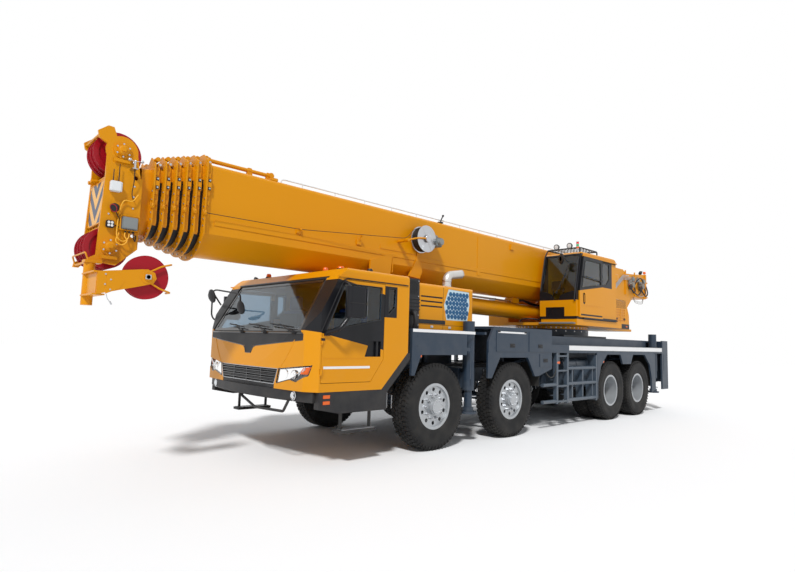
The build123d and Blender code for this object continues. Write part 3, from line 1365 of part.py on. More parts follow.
for number in range(1, BOOM_SECTIONS + 1):
    shrink = (number - 1) * BOOM_STEP
    wall = BOOM_WALL if number == 1 else BOOM_WALL - 2
    rear = BOOM_REAR_X + (0 if number == 1 else 400 + 60 * number)
    front = BOOM_COLLAR_X + (number - 1) * COLLAR_PITCH
    half = BOOM_WIDTH / 2 - shrink
    with BuildPart() as section:
        with BuildSketch(Plane.YZ.offset(rear)):
            add(boom_outline(shrink))
        extrude(amount=front - rear)
        if number < BOOM_SECTIONS:
            # collar round the mouth
            with BuildSketch(Plane.YZ.offset(front)):
                add(boom_outline(shrink - COLLAR_HEIGHT))
            extrude(amount=-COLLAR_PLATE)
            with BuildSketch(Plane.YZ.offset(front)):
                add(boom_outline(shrink - COLLAR_HEIGHT / 3))
            extrude(amount=-COLLAR_DEPTH)
            # rollers, pad blocks and cable fins on the collar
            for sign in (1, -1):
                with Locations(
                    Plane(
                        origin=(front - COLLAR_DEPTH, sign * (ROLLER_Y - shrink / 3), BOOM_TOP_Z - shrink + 25),
                        z_dir=(0, 1, 0),
                    )
                ):
                    Cylinder(ROLLER_RADIUS - 8, ROLLER_LENGTH - shrink / 2)
                with Locations((front - 45, sign * (half + 28), 3325 - shrink / 2)):
                    Box(*PAD_BLOCK)
                with Locations((front - FIN[2] / 2, sign * (half + 45), FIN_Z)):
                    Box(FIN[2], FIN[1] + 20, FIN[0])
        if number == 1:
            # saddle plates that hold the lift cylinder's eye
            for sign in (1, -1):
                with BuildSketch(Plane.XZ.offset(-sign * LUG_Y)):
                    Polygon(*SADDLE, align=None)
                extrude(amount=20, both=True)
                for outline in SIDE_PLATES:
                    with BuildSketch(Plane.XZ.offset(-sign * half)):
                        Polygon(*outline, align=None)
                    extrude(amount=2 * STRIP_RISE, both=True)
                for low, high, bottom, top in SIDE_STRIPS:
                    with Locations(((low + high) / 2, sign * half, (bottom + top) / 2)):
                        Box(high - low, 2 * STRIP_RISE, top - bottom)
            # cable reel with its bracket on the left side
            with Locations(Plane(origin=(REEL[0], sum(REEL_Y) / 2, REEL[1]), z_dir=(0, 1, 0))):
                Cylinder(REEL[2], REEL_Y[1] - REEL_Y[0])
                Cylinder(60, REEL_Y[1] - REEL_Y[0] + 60)
            with Locations((REEL[0], (half + REEL_Y[0]) / 2, REEL[1])):
                Box(160, REEL_Y[0] - half + 20, 120)
            with Locations((REEL[0] - 300, (half + REEL_Y[1]) / 2, REEL[1] - 10)):
                Box(120, REEL_Y[1] - half, 150)
        with BuildSketch(Plane.YZ.offset(rear)):
            add(boom_outline(shrink + wall))
        extrude(amount=front - rear, mode=Mode.SUBTRACT)
        if number < BOOM_SECTIONS:
            # slide pads just inside the mouth
            with BuildSketch(Plane.YZ.offset(front)):
                add(boom_outline(shrink + wall))
                add(boom_outline(shrink + BOOM_STEP - PAD_GAP), mode=Mode.SUBTRACT)
            extrude(amount=-COLLAR_DEPTH)
        if number == 1:
            # foot with its pivot pin, and the pin of the lift cylinder's eye
            with Locations(Plane(origin=(BOOM_PIVOT_X, 0, BOOM_PIVOT_Z), z_dir=(0, 1, 0))):
                Cylinder(150, 2 * (CHEEK_Y - 6))
                Cylinder(BOOM_PIN_RADIUS, 2 * (CHEEK_Y + CHEEK))
            with Locations(Plane(origin=(LIFT_EYE[0], 0, LIFT_EYE[1]), z_dir=(0, 1, 0))):
                Cylinder(LIFT_EYE_PIN, 2 * LUG_Y)
        if number == BOOM_SECTIONS:
            # head: two side plates with guard arms, joined by the panel and by cross plates
            for sign in (1, -1):
                with BuildSketch(Plane.XZ.offset(-sign * HEAD_Y)):
                    Polygon(*HEAD_OUTLINE, align=None)
                    with Locations(SHEAVE_GROUPS[0][1:3]):
                        Circle(165)
                    for outline in GUARD_ARMS:
                        Polygon(*outline, align=None)
                extrude(amount=HEAD_PLATE / 2, both=True)
                for place, x, z, radius, count in SHEAVE_GROUPS:
                    for boss, rise in BOSSES:
                        with Locations(
                            Plane(origin=(x, sign * (HEAD_Y + HEAD_PLATE / 2 + rise / 2 - 1), z), z_dir=(0, 1, 0))
                        ):
                            Cylinder(boss, rise + 2)
            for x, z in GUARD_BARS:
                with Locations(Plane(origin=(x, 0, z), z_dir=(0, 1, 0))):
                    Cylinder(GUARD_BAR_RADIUS, 2 * HEAD_Y)
            with Locations((ROOSTER_PIN[0] - 20, ROOSTER_PIN[1], ROOSTER_LUG_Z + 15)):
                Box(160, 120, 30)
            with Locations((*ROOSTER_PIN, ROOSTER_LUG_Z)):
                Cylinder(30 + FIT, 200, mode=Mode.SUBTRACT)
            for x, z in JIB_PINS:
                with Locations(Plane(origin=(x, 0, z), z_dir=(0, 1, 0))):
                    Cylinder(JIB_PIN_RADIUS, 700, mode=Mode.SUBTRACT)
            with Locations((6985, 0, 2940)):
                Box(16, 560, 490)
            with Locations((front + 10, 0, 2950)):
                Box(20, 560, 600)
    name = "boom_base" if number == 1 else f"boom_section_{number}"
    section.part.label = name
    export_step(section.part, f"parts/{name}.step")

SHEAVE_WIDTH = 50
SHEAVE_PITCH = 110
SHEAVE_GROOVE = 22
with BuildPart() as head_sheaves:
    for place, x, z, radius, count in SHEAVE_GROUPS:
        with Locations(Plane(origin=(x, 0, z), z_dir=(0, 1, 0))):
            Cylinder(45, 2 * (HEAD_Y - HEAD_PLATE / 2 - SEAT_GAP))
        for number in range(count):
            y = (number - (count - 1) / 2) * SHEAVE_PITCH
            with Locations(Plane(origin=(x, y, z), z_dir=(0, 1, 0))):
                Cylinder(radius, SHEAVE_WIDTH)
                Torus(radius, SHEAVE_GROOVE, mode=Mode.SUBTRACT)
            # dished web on both faces
            for face in (1, -1):
                with BuildSketch(Plane(origin=(x, y + face * SHEAVE_WIDTH / 2, z), z_dir=(0, -face, 0))):
                    Circle(radius - 55)
                    Circle(85, mode=Mode.SUBTRACT)
                extrude(amount=14, mode=Mode.SUBTRACT)
head_sheaves.part.label = "head_sheaves"
export_step(head_sheaves.part, "parts/head_sheaves.step")

ROOSTER_Z = 2010
ROOSTER_HEIGHT = 240
ROOSTER_ARM_Y = (615, 760)
ROOSTER_SHEAVE = (6640, 2110, 230)
ROOSTER_ARM = (
    (7110, 1895),
    (7110, 2125),
    (6700, 2185),
    (6640, 2190),
    (6570, 2160),
    (6550, 2100),
    (6580, 2045),
    (6700, 2010),
)
with BuildPart() as rooster_sheave:
    with Locations((*ROOSTER_PIN, 2020)):
        Cylinder(55, 2 * (ROOSTER_LUG_Z - SEAT_GAP - 2020))
    with Locations((*ROOSTER_PIN, ROOSTER_LUG_Z - 40)):
        Cylinder(30, 140)
    # beam with flanges above and below
    with Locations((ROOSTER_PIN[0], 540, ROOSTER_Z)):
        Box(50, 420, ROOSTER_HEIGHT)
    for end in (1, -1):
        with Locations((ROOSTER_PIN[0], 540, ROOSTER_Z + end * (ROOSTER_HEIGHT / 2 - 8))):
            Box(116, 440, 16)
    for y in ROOSTER_ARM_Y:
        with BuildSketch(Plane.XZ.offset(-y)):
            Polygon(*ROOSTER_ARM, align=None)
        extrude(amount=10, both=True)
    x, z, radius = ROOSTER_SHEAVE
    with Locations(Plane(origin=(x, sum(ROOSTER_ARM_Y) / 2, z), z_dir=(0, 1, 0))):
        Cylinder(radius, 60)
        Torus(radius, SHEAVE_GROOVE, mode=Mode.SUBTRACT)
        Cylinder(70, 176)
        Cylinder(40, 200)
rooster_sheave.part.label = "rooster_sheave"
export_step(rooster_sheave.part, "parts/rooster_sheave.step")

# ================================================================ lift cylinder
LIFT_ANGLE = degrees(atan2(LIFT_EYE[1] - LIFT_BASE[1], LIFT_EYE[0] - LIFT_BASE[0]))
LIFT_LENGTH = hypot(LIFT_EYE[0] - LIFT_BASE[0], LIFT_EYE[1] - LIFT_BASE[1])
along = Plane(
    origin=(LIFT_BASE[0], 0, LIFT_BASE[1]),
    x_dir=(0, 1, 0),
    z_dir=(cos(radians(LIFT_ANGLE)), 0, sin(radians(LIFT_ANGLE))),
)
BARREL_END = LIFT_LENGTH - 520

with BuildPart() as lift_cylinder:
    with BuildSketch(along.offset(140)):
        Circle(LIFT_BARREL_RADIUS)
    extrude(amount=BARREL_END - 140)
    with BuildSketch(along.offset(500)):
        Circle(LIFT_ROD_RADIUS + FIT)
    extrude(amount=LIFT_LENGTH, mode=Mode.SUBTRACT)
    with Locations(Plane(origin=(LIFT_BASE[0], 0, LIFT_BASE[1]), z_dir=(0, 1, 0))):
        Cylinder(150, 300)
        Cylinder(70 + FIT, 400, mode=Mode.SUBTRACT)
lift_cylinder.part.label = "lift_cylinder"
export_step(lift_cylinder.part, "parts/lift_cylinder.step")

with BuildPart() as lift_rod:
    with BuildSketch(along.offset(560)):
        Circle(LIFT_ROD_RADIUS)
    extrude(amount=LIFT_LENGTH - 560)
    with Locations(Plane(origin=(LIFT_EYE[0], 0, LIFT_EYE[1]), z_dir=(0, 1, 0))):
        Cylinder(120, 260)
        Cylinder(LIFT_EYE_PIN + EYE_CLEARANCE, 400, mode=Mode.SUBTRACT)
lift_rod.part.label = "lift_rod"
export_step(lift_rod.part, "parts/lift_rod.step")
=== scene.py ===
"""Looks of a four-axle mobile crane: finishes for its solid nodes and the fine pieces that ride on them."""

from __future__ import annotations

import logging
import math
from contextlib import contextmanager
from dataclasses import dataclass
from enum import Enum
from typing import Callable, Iterable, Iterator, Sequence

import bmesh
import bpy
from mathutils import Matrix, Vector

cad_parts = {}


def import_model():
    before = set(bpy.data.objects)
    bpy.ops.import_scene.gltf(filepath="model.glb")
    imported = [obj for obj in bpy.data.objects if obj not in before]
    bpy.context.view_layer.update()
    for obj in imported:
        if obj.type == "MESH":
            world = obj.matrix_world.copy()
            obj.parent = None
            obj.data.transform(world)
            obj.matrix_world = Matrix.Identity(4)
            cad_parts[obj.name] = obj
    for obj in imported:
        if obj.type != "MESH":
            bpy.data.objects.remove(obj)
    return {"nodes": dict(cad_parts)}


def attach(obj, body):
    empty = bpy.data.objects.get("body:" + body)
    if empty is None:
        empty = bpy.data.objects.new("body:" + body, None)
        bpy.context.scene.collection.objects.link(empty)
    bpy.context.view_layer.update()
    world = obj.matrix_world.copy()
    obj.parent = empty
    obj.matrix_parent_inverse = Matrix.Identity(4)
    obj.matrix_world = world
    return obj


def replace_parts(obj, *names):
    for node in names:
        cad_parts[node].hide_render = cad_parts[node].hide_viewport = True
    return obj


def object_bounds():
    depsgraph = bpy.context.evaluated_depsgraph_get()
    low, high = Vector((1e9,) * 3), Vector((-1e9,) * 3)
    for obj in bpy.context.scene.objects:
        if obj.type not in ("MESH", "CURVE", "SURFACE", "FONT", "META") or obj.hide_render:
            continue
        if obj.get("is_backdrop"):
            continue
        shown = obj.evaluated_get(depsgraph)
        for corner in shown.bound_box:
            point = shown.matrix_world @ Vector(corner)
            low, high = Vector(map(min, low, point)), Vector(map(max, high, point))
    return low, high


Point = Sequence[float]
Colour = tuple[float, float, float]
SIDES = ((1, "left"), (-1, "right"))
SIGNS = (1, -1)
SEED = 7
BEND_STEPS = 5
SHARP = 0.6
MERGE = 1e-5
AXLES = (2.800, 0.930, -2.715, -4.065)
STEERED = 2
log = logging.getLogger("crane")


# ---------------------------------------------------------------- shader groups


class GroupBuilder:
    """Builds one shader node group with named inputs and outputs."""

    def __init__(self, name: str, inputs: dict[str, object], outputs: dict[str, str]) -> None:
        """Makes the empty group.

        Args:
            name: the group's name.
            inputs: each input's name with its starting value, a number or a colour.
            outputs: each output's name with its socket type.
        """
        self.tree = bpy.data.node_groups.new(name, "ShaderNodeTree")
        for label, value in inputs.items():
            if isinstance(value, Vector):
                kind, start = "NodeSocketVector", value
            elif isinstance(value, tuple):
                kind, start = "NodeSocketColor", (*value, 1.0)
            else:
                kind, start = "NodeSocketFloat", value
            self.tree.interface.new_socket(label, in_out="INPUT", socket_type=kind).default_value = start
        for label, kind in outputs.items():
            self.tree.interface.new_socket(label, in_out="OUTPUT", socket_type=kind)
        self.source = self.tree.nodes.new("NodeGroupInput")
        self.sink = self.tree.nodes.new("NodeGroupOutput")

    def node(self, kind: str, links: dict[object, object] | None = None, **settings: object) -> bpy.types.Node:
        """Adds a node, sets its properties and fills or links its inputs.

        Args:
            kind: the node's type.
            links: input name or number with a socket or a value.
            settings: properties of the node.

        Returns:
            The new node.
        """
        return add_node(self.tree, kind, links, **settings)

    def math(self, operation: str, *values: object) -> bpy.types.NodeSocket:
        """The result of a Math node on up to three values or sockets."""
        return math_node(self.tree, operation, *values)

    def out(self, label: str, socket: bpy.types.NodeSocket) -> None:
        """Links a socket to one of the group's outputs."""
        self.tree.links.new(socket, self.sink.inputs[label])


def add_node(
    tree: bpy.types.NodeTree, kind: str, links: dict[object, object] | None = None, **settings: object
) -> bpy.types.Node:
    """Adds a node to a tree.

    Args:
        tree: the shader or geometry tree.
        kind: the node's type.
        links: input name or number with a socket or a value.
        settings: properties of the node.

    Returns:
        The new node.
    """
    node = tree.nodes.new(kind)
    for key, value in settings.items():
        setattr(node, key, value)
    for key, value in (links or {}).items():
        if isinstance(value, bpy.types.NodeSocket):
            tree.links.new(value, node.inputs[key])
        else:
            node.inputs[key].default_value = value
    return node


def math_node(tree: bpy.types.NodeTree, operation: str, *values: object) -> bpy.types.NodeSocket:
    """Adds a Math node to a tree.

    Args:
        tree: the shader or geometry tree.
        operation: the node's operation.
        values: its inputs in order, sockets or numbers.

    Returns:
        The node's result.
    """
    return add_node(tree, "ShaderNodeMath", dict(enumerate(values)), operation=operation).outputs[0]


def dust_group() -> bpy.types.NodeTree:
    """Road dust that thickens towards the ground, over a slow drift of tone.

    Returns:
        The group, with outputs Colour and Dust.
    """
    g = GroupBuilder(
        "road_dust",
        {"Colour": (0.5, 0.5, 0.5), "Dust Colour": (0.42, 0.38, 0.32), "Amount": 0.2, "Scale": 5.0, "Drift": 0.06},
        {"Colour": "NodeSocketColor", "Dust": "NodeSocketFloat"},
    )
    spot = g.node("ShaderNodeTexCoord").outputs["Object"]
    patches = g.node("ShaderNodeTexNoise", {"Vector": spot, "Scale": g.source.outputs["Scale"], "Detail": 6.0})
    broad = g.node("ShaderNodeTexNoise", {"Vector": spot, "Scale": 0.9, "Detail": 2.0})
    height = g.node("ShaderNodeSeparateXYZ", {"Vector": spot}).outputs["Z"]
    low = g.node(
        "ShaderNodeMapRange", {"Value": height, "From Min": 0.0, "From Max": 1.9, "To Min": 1.0, "To Max": 0.12}
    )
    cloud = g.node("ShaderNodeMapRange", {"Value": patches.outputs["Fac"], "From Min": 0.36, "From Max": 0.72})
    mask = g.math("MULTIPLY", cloud.outputs["Result"], low.outputs["Result"])
    dust = g.math("MULTIPLY", mask, g.source.outputs["Amount"])
    shift = g.node("ShaderNodeMapRange", {"Value": broad.outputs["Fac"], "To Min": -0.5, "To Max": 0.5})
    tone = g.math("MULTIPLY_ADD", shift.outputs["Result"], g.source.outputs["Drift"], 1.0)
    drift = g.node("ShaderNodeMix", {0: 1.0, 6: g.source.outputs["Colour"]}, data_type="RGBA", blend_type="MULTIPLY")
    g.tree.links.new(tone, drift.inputs[7])
    mixed = g.node(
        "ShaderNodeMix", {0: dust, 6: drift.outputs[2], 7: g.source.outputs["Dust Colour"]}, data_type="RGBA"
    )
    g.out("Colour", mixed.outputs[2])
    g.out("Dust", dust)
    return g.tree


def grain_group() -> bpy.types.NodeTree:
    """Fine grain for a bump and a drifting roughness.

    Returns:
        The group, with outputs Height and Roughness.
    """
    g = GroupBuilder(
        "surface_grain",
        {"Scale": 60.0, "Roughness": 0.4, "Spread": 0.1},
        {"Height": "NodeSocketFloat", "Roughness": "NodeSocketFloat"},
    )
    spot = g.node("ShaderNodeTexCoord").outputs["Object"]
    fine = g.node("ShaderNodeTexNoise", {"Vector": spot, "Scale": g.source.outputs["Scale"], "Detail": 4.0})
    smear = g.node("ShaderNodeTexNoise", {"Vector": spot, "Scale": 2.6, "Detail": 5.0})
    shift = g.math("SUBTRACT", smear.outputs["Fac"], 0.5)
    spread = g.math("MULTIPLY_ADD", shift, g.source.outputs["Spread"], g.source.outputs["Roughness"])
    g.out("Height", fine.outputs["Fac"])
    g.out("Roughness", spread)
    return g.tree


def scuff_group() -> bpy.types.NodeTree:
    """Thin scuffs and chips as a mask from 0 to 1.

    Returns:
        The group, with output Mask.
    """
    g = GroupBuilder("scuffs", {"Scale": 18.0, "Amount": 0.2}, {"Mask": "NodeSocketFloat"})
    spot = g.node("ShaderNodeTexCoord").outputs["Object"]
    drawn = g.node("ShaderNodeMapping", {"Vector": spot, "Scale": (1.0, 3.0, 6.0)})
    chips = g.node(
        "ShaderNodeTexNoise",
        {"Vector": drawn.outputs[0], "Scale": g.source.outputs["Scale"], "Detail": 8.0, "Roughness": 0.7}
    )
    mask = g.node("ShaderNodeMapRange", {"Value": chips.outputs["Fac"], "From Min": 0.6, "From Max": 0.7})
    scaled = g.math("MULTIPLY", mask.outputs["Result"], g.source.outputs["Amount"])
    g.out("Mask", scaled)
    return g.tree


def zone_group() -> bpy.types.NodeTree:
    """A mask that is 1 inside a box, the same on both sides, whose levels may slope along the length.

    Returns:
        The shader node group.
    """
    build = GroupBuilder(
        "zone", {"Low": Vector(), "High": Vector(), "Slope": 0.0, "Pivot": 0.0}, {"Mask": "NodeSocketFloat"}
    )
    spot = build.node("ShaderNodeTexCoord").outputs["Object"]
    axes = build.node("ShaderNodeSeparateXYZ", {"Vector": spot})
    side = build.math("ABSOLUTE", axes.outputs["Y"])
    run = build.math("SUBTRACT", axes.outputs["X"], build.source.outputs["Pivot"])
    level = build.math("MULTIPLY_ADD", run, build.source.outputs["Slope"], axes.outputs["Z"])
    place = build.node("ShaderNodeCombineXYZ", {"X": axes.outputs["X"], "Y": side, "Z": level})
    above = build.node(
        "ShaderNodeVectorMath", {0: place.outputs[0], 1: build.source.outputs["Low"]}, operation="SUBTRACT"
    )
    below = build.node(
        "ShaderNodeVectorMath", {0: build.source.outputs["High"], 1: place.outputs[0]}, operation="SUBTRACT"
    )
    least = build.node("ShaderNodeVectorMath", {0: above.outputs[0], 1: below.outputs[0]}, operation="MINIMUM")
    each = build.node("ShaderNodeSeparateXYZ", {"Vector": least.outputs[0]})
    pair = build.math("MINIMUM", each.outputs["X"], each.outputs["Y"])
    last = build.math("MINIMUM", pair, each.outputs["Z"])
    mask = build.math("GREATER_THAN", last, 0.0)
    build.out("Mask", mask)
    return build.tree


# ---------------------------------------------------------------- finishes


class Shared:
    """The shader groups and materials that are built once and looked up after."""

    groups: dict[str, bpy.types.NodeTree] = {}
    materials: dict[str, bpy.types.Material] = {}
    makers: dict[str, Callable[[], bpy.types.NodeTree]] = {
        "dust": dust_group,
        "grain": grain_group,
        "scuff": scuff_group,
        "zone": zone_group,
    }

    @classmethod
    def group(cls, name: str) -> bpy.types.NodeTree:
        """The named shader group, built on first use."""
        if name not in cls.groups:
            cls.groups[name] = cls.makers[name]()
        return cls.groups[name]


@dataclass(frozen=True)
class Finish:
    """A painted, moulded or bare surface and the numbers its material is made from."""

    name: str
    colour: Colour
    roughness: float = 0.4
    metallic: float = 0.0
    coat: float = 0.0
    gloss: float = 0.5
    dust: float = 0.15
    scuff: float = 0.0
    scuff_colour: Colour = (0.25, 0.23, 0.21)
    grain_scale: float = 70.0
    grain_height: float = 0.0003
    spread: float = 0.12
    drift: float = 0.06
    slot: str = "paint_dark"

    def material(self) -> bpy.types.Material:
        """The material of this finish, built on first use.

        Returns:
            The Blender material.
        """
        if self.name in Shared.materials:
            return Shared.materials[self.name]
        material = bpy.data.materials.new(self.name)
        material.use_nodes = True
        tree = material.node_tree
        shader = tree.nodes["Principled BSDF"]
        self.dress(tree, shader)
        Shared.materials[self.name] = material
        return material

    def base(self, tree: bpy.types.NodeTree) -> bpy.types.NodeSocket | Colour:
        """The colour before dust; a patterned finish gives a socket here."""
        return (*self.colour, 1.0)

    def dress(self, tree: bpy.types.NodeTree, shader: bpy.types.Node) -> None:
        """Links the shared groups to the shader.

        Args:
            tree: the material's tree.
            shader: its Principled BSDF.
        """
        shader.inputs["Metallic"].default_value = self.metallic
        shader.inputs["Coat Weight"].default_value = self.coat
        shader.inputs["Specular IOR Level"].default_value = self.gloss
        shader.inputs["Coat Roughness"].default_value = 0.06
        colour = self.base(tree)
        if self.scuff:
            chips = add_node(tree, "ShaderNodeGroup", node_tree=Shared.group("scuff"))
            chips.inputs["Amount"].default_value = self.scuff
            worn = add_node(
                tree, "ShaderNodeMix", {0: chips.outputs["Mask"], 6: colour, 7: (*self.scuff_colour, 1.0)},
                data_type="RGBA"
            )
            colour = worn.outputs[2]
        dust = add_node(tree, "ShaderNodeGroup", node_tree=Shared.group("dust"))
        for key, value in (("Colour", colour), ("Amount", self.dust), ("Drift", self.drift)):
            if isinstance(value, bpy.types.NodeSocket):
                tree.links.new(value, dust.inputs[key])
            else:
                dust.inputs[key].default_value = value
        tree.links.new(dust.outputs["Colour"], shader.inputs["Base Color"])
        grain = add_node(tree, "ShaderNodeGroup", node_tree=Shared.group("grain"))
        grain.inputs["Scale"].default_value = self.grain_scale
        grain.inputs["Roughness"].default_value = self.roughness
        grain.inputs["Spread"].default_value = self.spread
        duller = math_node(tree, "MULTIPLY_ADD", dust.outputs["Dust"], 0.5, grain.outputs["Roughness"])
        tree.links.new(duller, shader.inputs["Roughness"])
        bump = add_node(
            tree, "ShaderNodeBump", {"Height": grain.outputs["Height"], "Distance": self.grain_height, "Strength": 1.0}
        )
        tree.links.new(bump.outputs["Normal"], shader.inputs["Normal"])


@dataclass(frozen=True)
class Zone:
    """A box of another colour, the same on both sides, whose levels may slope along the length."""

    low: Point
    high: Point
    colour: Colour
    slope: float = 0.0
    pivot: float = 0.0


@dataclass(frozen=True)
class ZonedFinish(Finish):
    """One paint with areas of other colours, for pieces that are sprayed or moulded in parts, and for painted shade in
    the gaps between the boom's collars.
    """

    zones: tuple[Zone, ...] = ()

    def base(self, tree: bpy.types.NodeTree) -> bpy.types.NodeSocket | Colour:
        """The paint with each zone's colour laid over it."""
        colour = (*self.colour, 1.0)
        for zone in self.zones:
            area = add_node(tree, "ShaderNodeGroup", node_tree=Shared.group("zone"))
            for key, value in (("Low", zone.low), ("High", zone.high), ("Slope", zone.slope), ("Pivot", zone.pivot)):
                area.inputs[key].default_value = value
            mixed = add_node(
                tree, "ShaderNodeMix", {0: area.outputs["Mask"], 6: colour, 7: (*zone.colour, 1.0)}, data_type="RGBA"
            )
            colour = mixed.outputs[2]
        return colour


@dataclass(frozen=True)
class StripedFinish(Finish):
    """Slanted two-colour warning bands."""

    second: Colour = (0.9, 0.9, 0.9)
    pitch: float = 0.14
    slant: Point = (0.0, 1.0, 1.0)

    def base(self, tree: bpy.types.NodeTree) -> bpy.types.NodeSocket:
        """Bands along the slant direction, in Object coordinates."""
        spot = add_node(tree, "ShaderNodeTexCoord").outputs["Object"]
        along = add_node(tree, "ShaderNodeVectorMath", {0: spot, 1: self.slant}, operation="DOT_PRODUCT")
        turn = math_node(tree, "DIVIDE", along.outputs["Value"], self.pitch)
        part = math_node(tree, "FRACT", turn)
        band = math_node(tree, "GREATER_THAN", part, 0.5)
        mixed = add_node(
            tree, "ShaderNodeMix", {0: band, 6: (*self.colour, 1.0), 7: (*self.second, 1.0)}, data_type="RGBA"
        )
        return mixed.outputs[2]


@dataclass(frozen=True)
class ChevronFinish(Finish):
    """Nested V bands that meet on a centre line."""

    second: Colour = (0.9, 0.5, 0.02)
    pitch: float = 0.25
    centre: float = 0.0

    def base(self, tree: bpy.types.NodeTree) -> bpy.types.NodeSocket:
        """Bands along height plus the distance from the centre line."""
        spot = add_node(tree, "ShaderNodeTexCoord").outputs["Object"]
        axes = add_node(tree, "ShaderNodeSeparateXYZ", {"Vector": spot})
        aside = math_node(tree, "SUBTRACT", axes.outputs["Y"], self.centre)
        away = math_node(tree, "ABSOLUTE", aside)
        rise = math_node(tree, "MULTIPLY_ADD", away, -1.1, axes.outputs["Z"])
        turn = math_node(tree, "DIVIDE", rise, self.pitch)
        part = math_node(tree, "FRACT", turn)
        band = math_node(tree, "GREATER_THAN", part, 0.5)
        mixed = add_node(
            tree, "ShaderNodeMix", {0: band, 6: (*self.colour, 1.0), 7: (*self.second, 1.0)}, data_type="RGBA"
        )
        return mixed.outputs[2]


@dataclass(frozen=True)
class GlassFinish(Finish):
    """Tinted safety glass, whose tint on the cabs also holds painted sky reflection, or a clear lamp cover."""

    clear: float = 1.0
    ior: float = 1.45

    def dress(self, tree: bpy.types.NodeTree, shader: bpy.types.Node) -> None:
        """A plain transmitting shader whose roughness drifts a little."""
        shader.inputs["Base Color"].default_value = (*self.colour, 1.0)
        shader.inputs["Transmission Weight"].default_value = self.clear
        shader.inputs["IOR"].default_value = self.ior
        grain = add_node(tree, "ShaderNodeGroup", node_tree=Shared.group("grain"))
        grain.inputs["Roughness"].default_value = self.roughness
        grain.inputs["Spread"].default_value = self.spread
        tree.links.new(grain.outputs["Roughness"], shader.inputs["Roughness"])


@dataclass(frozen=True)
class LitFinish(Finish):
    """A lens that glows a little by itself."""

    glow: float = 0.3

    def dress(self, tree: bpy.types.NodeTree, shader: bpy.types.Node) -> None:
        """Adds the glow to the plain dressing."""
        super().dress(tree, shader)
        shader.inputs["Emission Color"].default_value = (*self.colour, 1.0)
        shader.inputs["Emission Strength"].default_value = self.glow


YELLOW_PAINT = (0.69, 0.275, 0.0003)
# Black paint for trim zones; the same colour also serves as painted shade in the gaps between the boom's collars.
BLACK_PAINT_AND_SHADE = (0.007, 0.0075, 0.010)
SPRAYED = {"roughness": 0.38, "coat": 0.08, "gloss": 0.22, "dust": 0.03, "grain_height": 0.00012, "drift": 0.05}
YELLOW = Finish("crane_yellow", YELLOW_PAINT, **SPRAYED, spread=0.10, slot="paint_yellow")
SHELL = ZonedFinish(
    "cab_shell_paint", YELLOW_PAINT, **SPRAYED,
    zones=(
        Zone((4.53, 1.12, 1.585), (5.03, 1.45, 2.29), BLACK_PAINT_AND_SHADE, -0.193, 4.81),
        Zone((3.655, 1.30, 1.825), (3.885, 1.45, 2.235), BLACK_PAINT_AND_SHADE),
        Zone((4.60, -1.0, 2.285), (4.70, 1.17, 2.32), BLACK_PAINT_AND_SHADE),
    ),
)
CAB_DOOR = ZonedFinish(
    "cab_door_paint", YELLOW_PAINT, **SPRAYED,
    zones=(
        Zone((3.80, 1.20, 1.582), (4.86, 1.402, 2.30), BLACK_PAINT_AND_SHADE, -0.193, 4.81),
        Zone((4.30, 1.402, 1.50), (4.90, 1.80, 2.30), BLACK_PAINT_AND_SHADE),
        Zone((3.90, 1.30, 1.31), (4.20, 1.3995, 1.515), BLACK_PAINT_AND_SHADE),
    ),
)
POWER = ZonedFinish(
    "engine_paint", (0.10, 0.11, 0.12), roughness=0.36, metallic=0.6, dust=0.2,
    zones=(Zone((1.4, 0.6, 1.95), (2.2, 1.0, 2.9), (0.60, 0.59, 0.57)),),
)
BOOM_PAINT = ZonedFinish(
    "boom_paint", YELLOW_PAINT, **SPRAYED,
    zones=(
        Zone((1.80, 0.44, 2.95), (2.55, 0.70, 3.45), (0.10, 0.105, 0.11)),
    ),
)
# Sections 2 to 6 each carry painted shade: a black zone over the stretch of the section that shows between two collars,
# where that gap lies in shade.
SECTIONS_WITH_GAP_SHADE = {
    f"boom_section_{k + 1}": ZonedFinish(
        f"boom_section_paint_and_gap_shade_{k + 1}", YELLOW_PAINT, **SPRAYED,
        zones=(
            Zone((5.842 + 0.11 * k, -0.01, 2.30), (5.933 + 0.11 * k, 0.403 - 0.03 * k, 3.42 - 0.03 * k), BLACK_PAINT_AND_SHADE),
        ),
    )
    for k in range(1, 6)
}
AUXILIARY = ZonedFinish(
    "auxiliary_paint", YELLOW_PAINT, **SPRAYED,
    zones=(Zone((6.39, 0.656, 1.87), (6.88, 0.7185, 2.36), (0.34, 0.004, 0.014)),),
)
OPERATOR = ZonedFinish(
    "operator_cab_paint", YELLOW_PAINT, **SPRAYED,
    zones=(
        Zone((-3.10, 0.0, 1.90), (-1.20, 1.40, 2.115), BLACK_PAINT_AND_SHADE),
        Zone((-2.85, 1.30, 2.78), (-1.30, 1.40, 3.335), BLACK_PAINT_AND_SHADE),
        Zone((-1.56, 0.50, 2.44), (-1.20, 1.33, 3.40), BLACK_PAINT_AND_SHADE),
        Zone((-1.33, 0.64, 2.06), (-1.20, 1.06, 2.30), BLACK_PAINT_AND_SHADE),
    ),
)
OPERATOR_DOOR_PAINT = ZonedFinish(
    "operator_door_paint", YELLOW_PAINT, **SPRAYED,
    zones=(
        Zone((-2.40, 1.30, 2.64), (-1.30, 1.40, 3.36), BLACK_PAINT_AND_SHADE, 0.148, -1.45),
        Zone((-1.595, 1.30, 2.36), (-1.485, 1.3595, 2.60), BLACK_PAINT_AND_SHADE),
    ),
)
SLATE = Finish(
    "chassis_slate", (0.020, 0.036, 0.060), roughness=0.42, coat=0.06, gloss=0.35, dust=0.12, scuff=0.06, spread=0.2
)
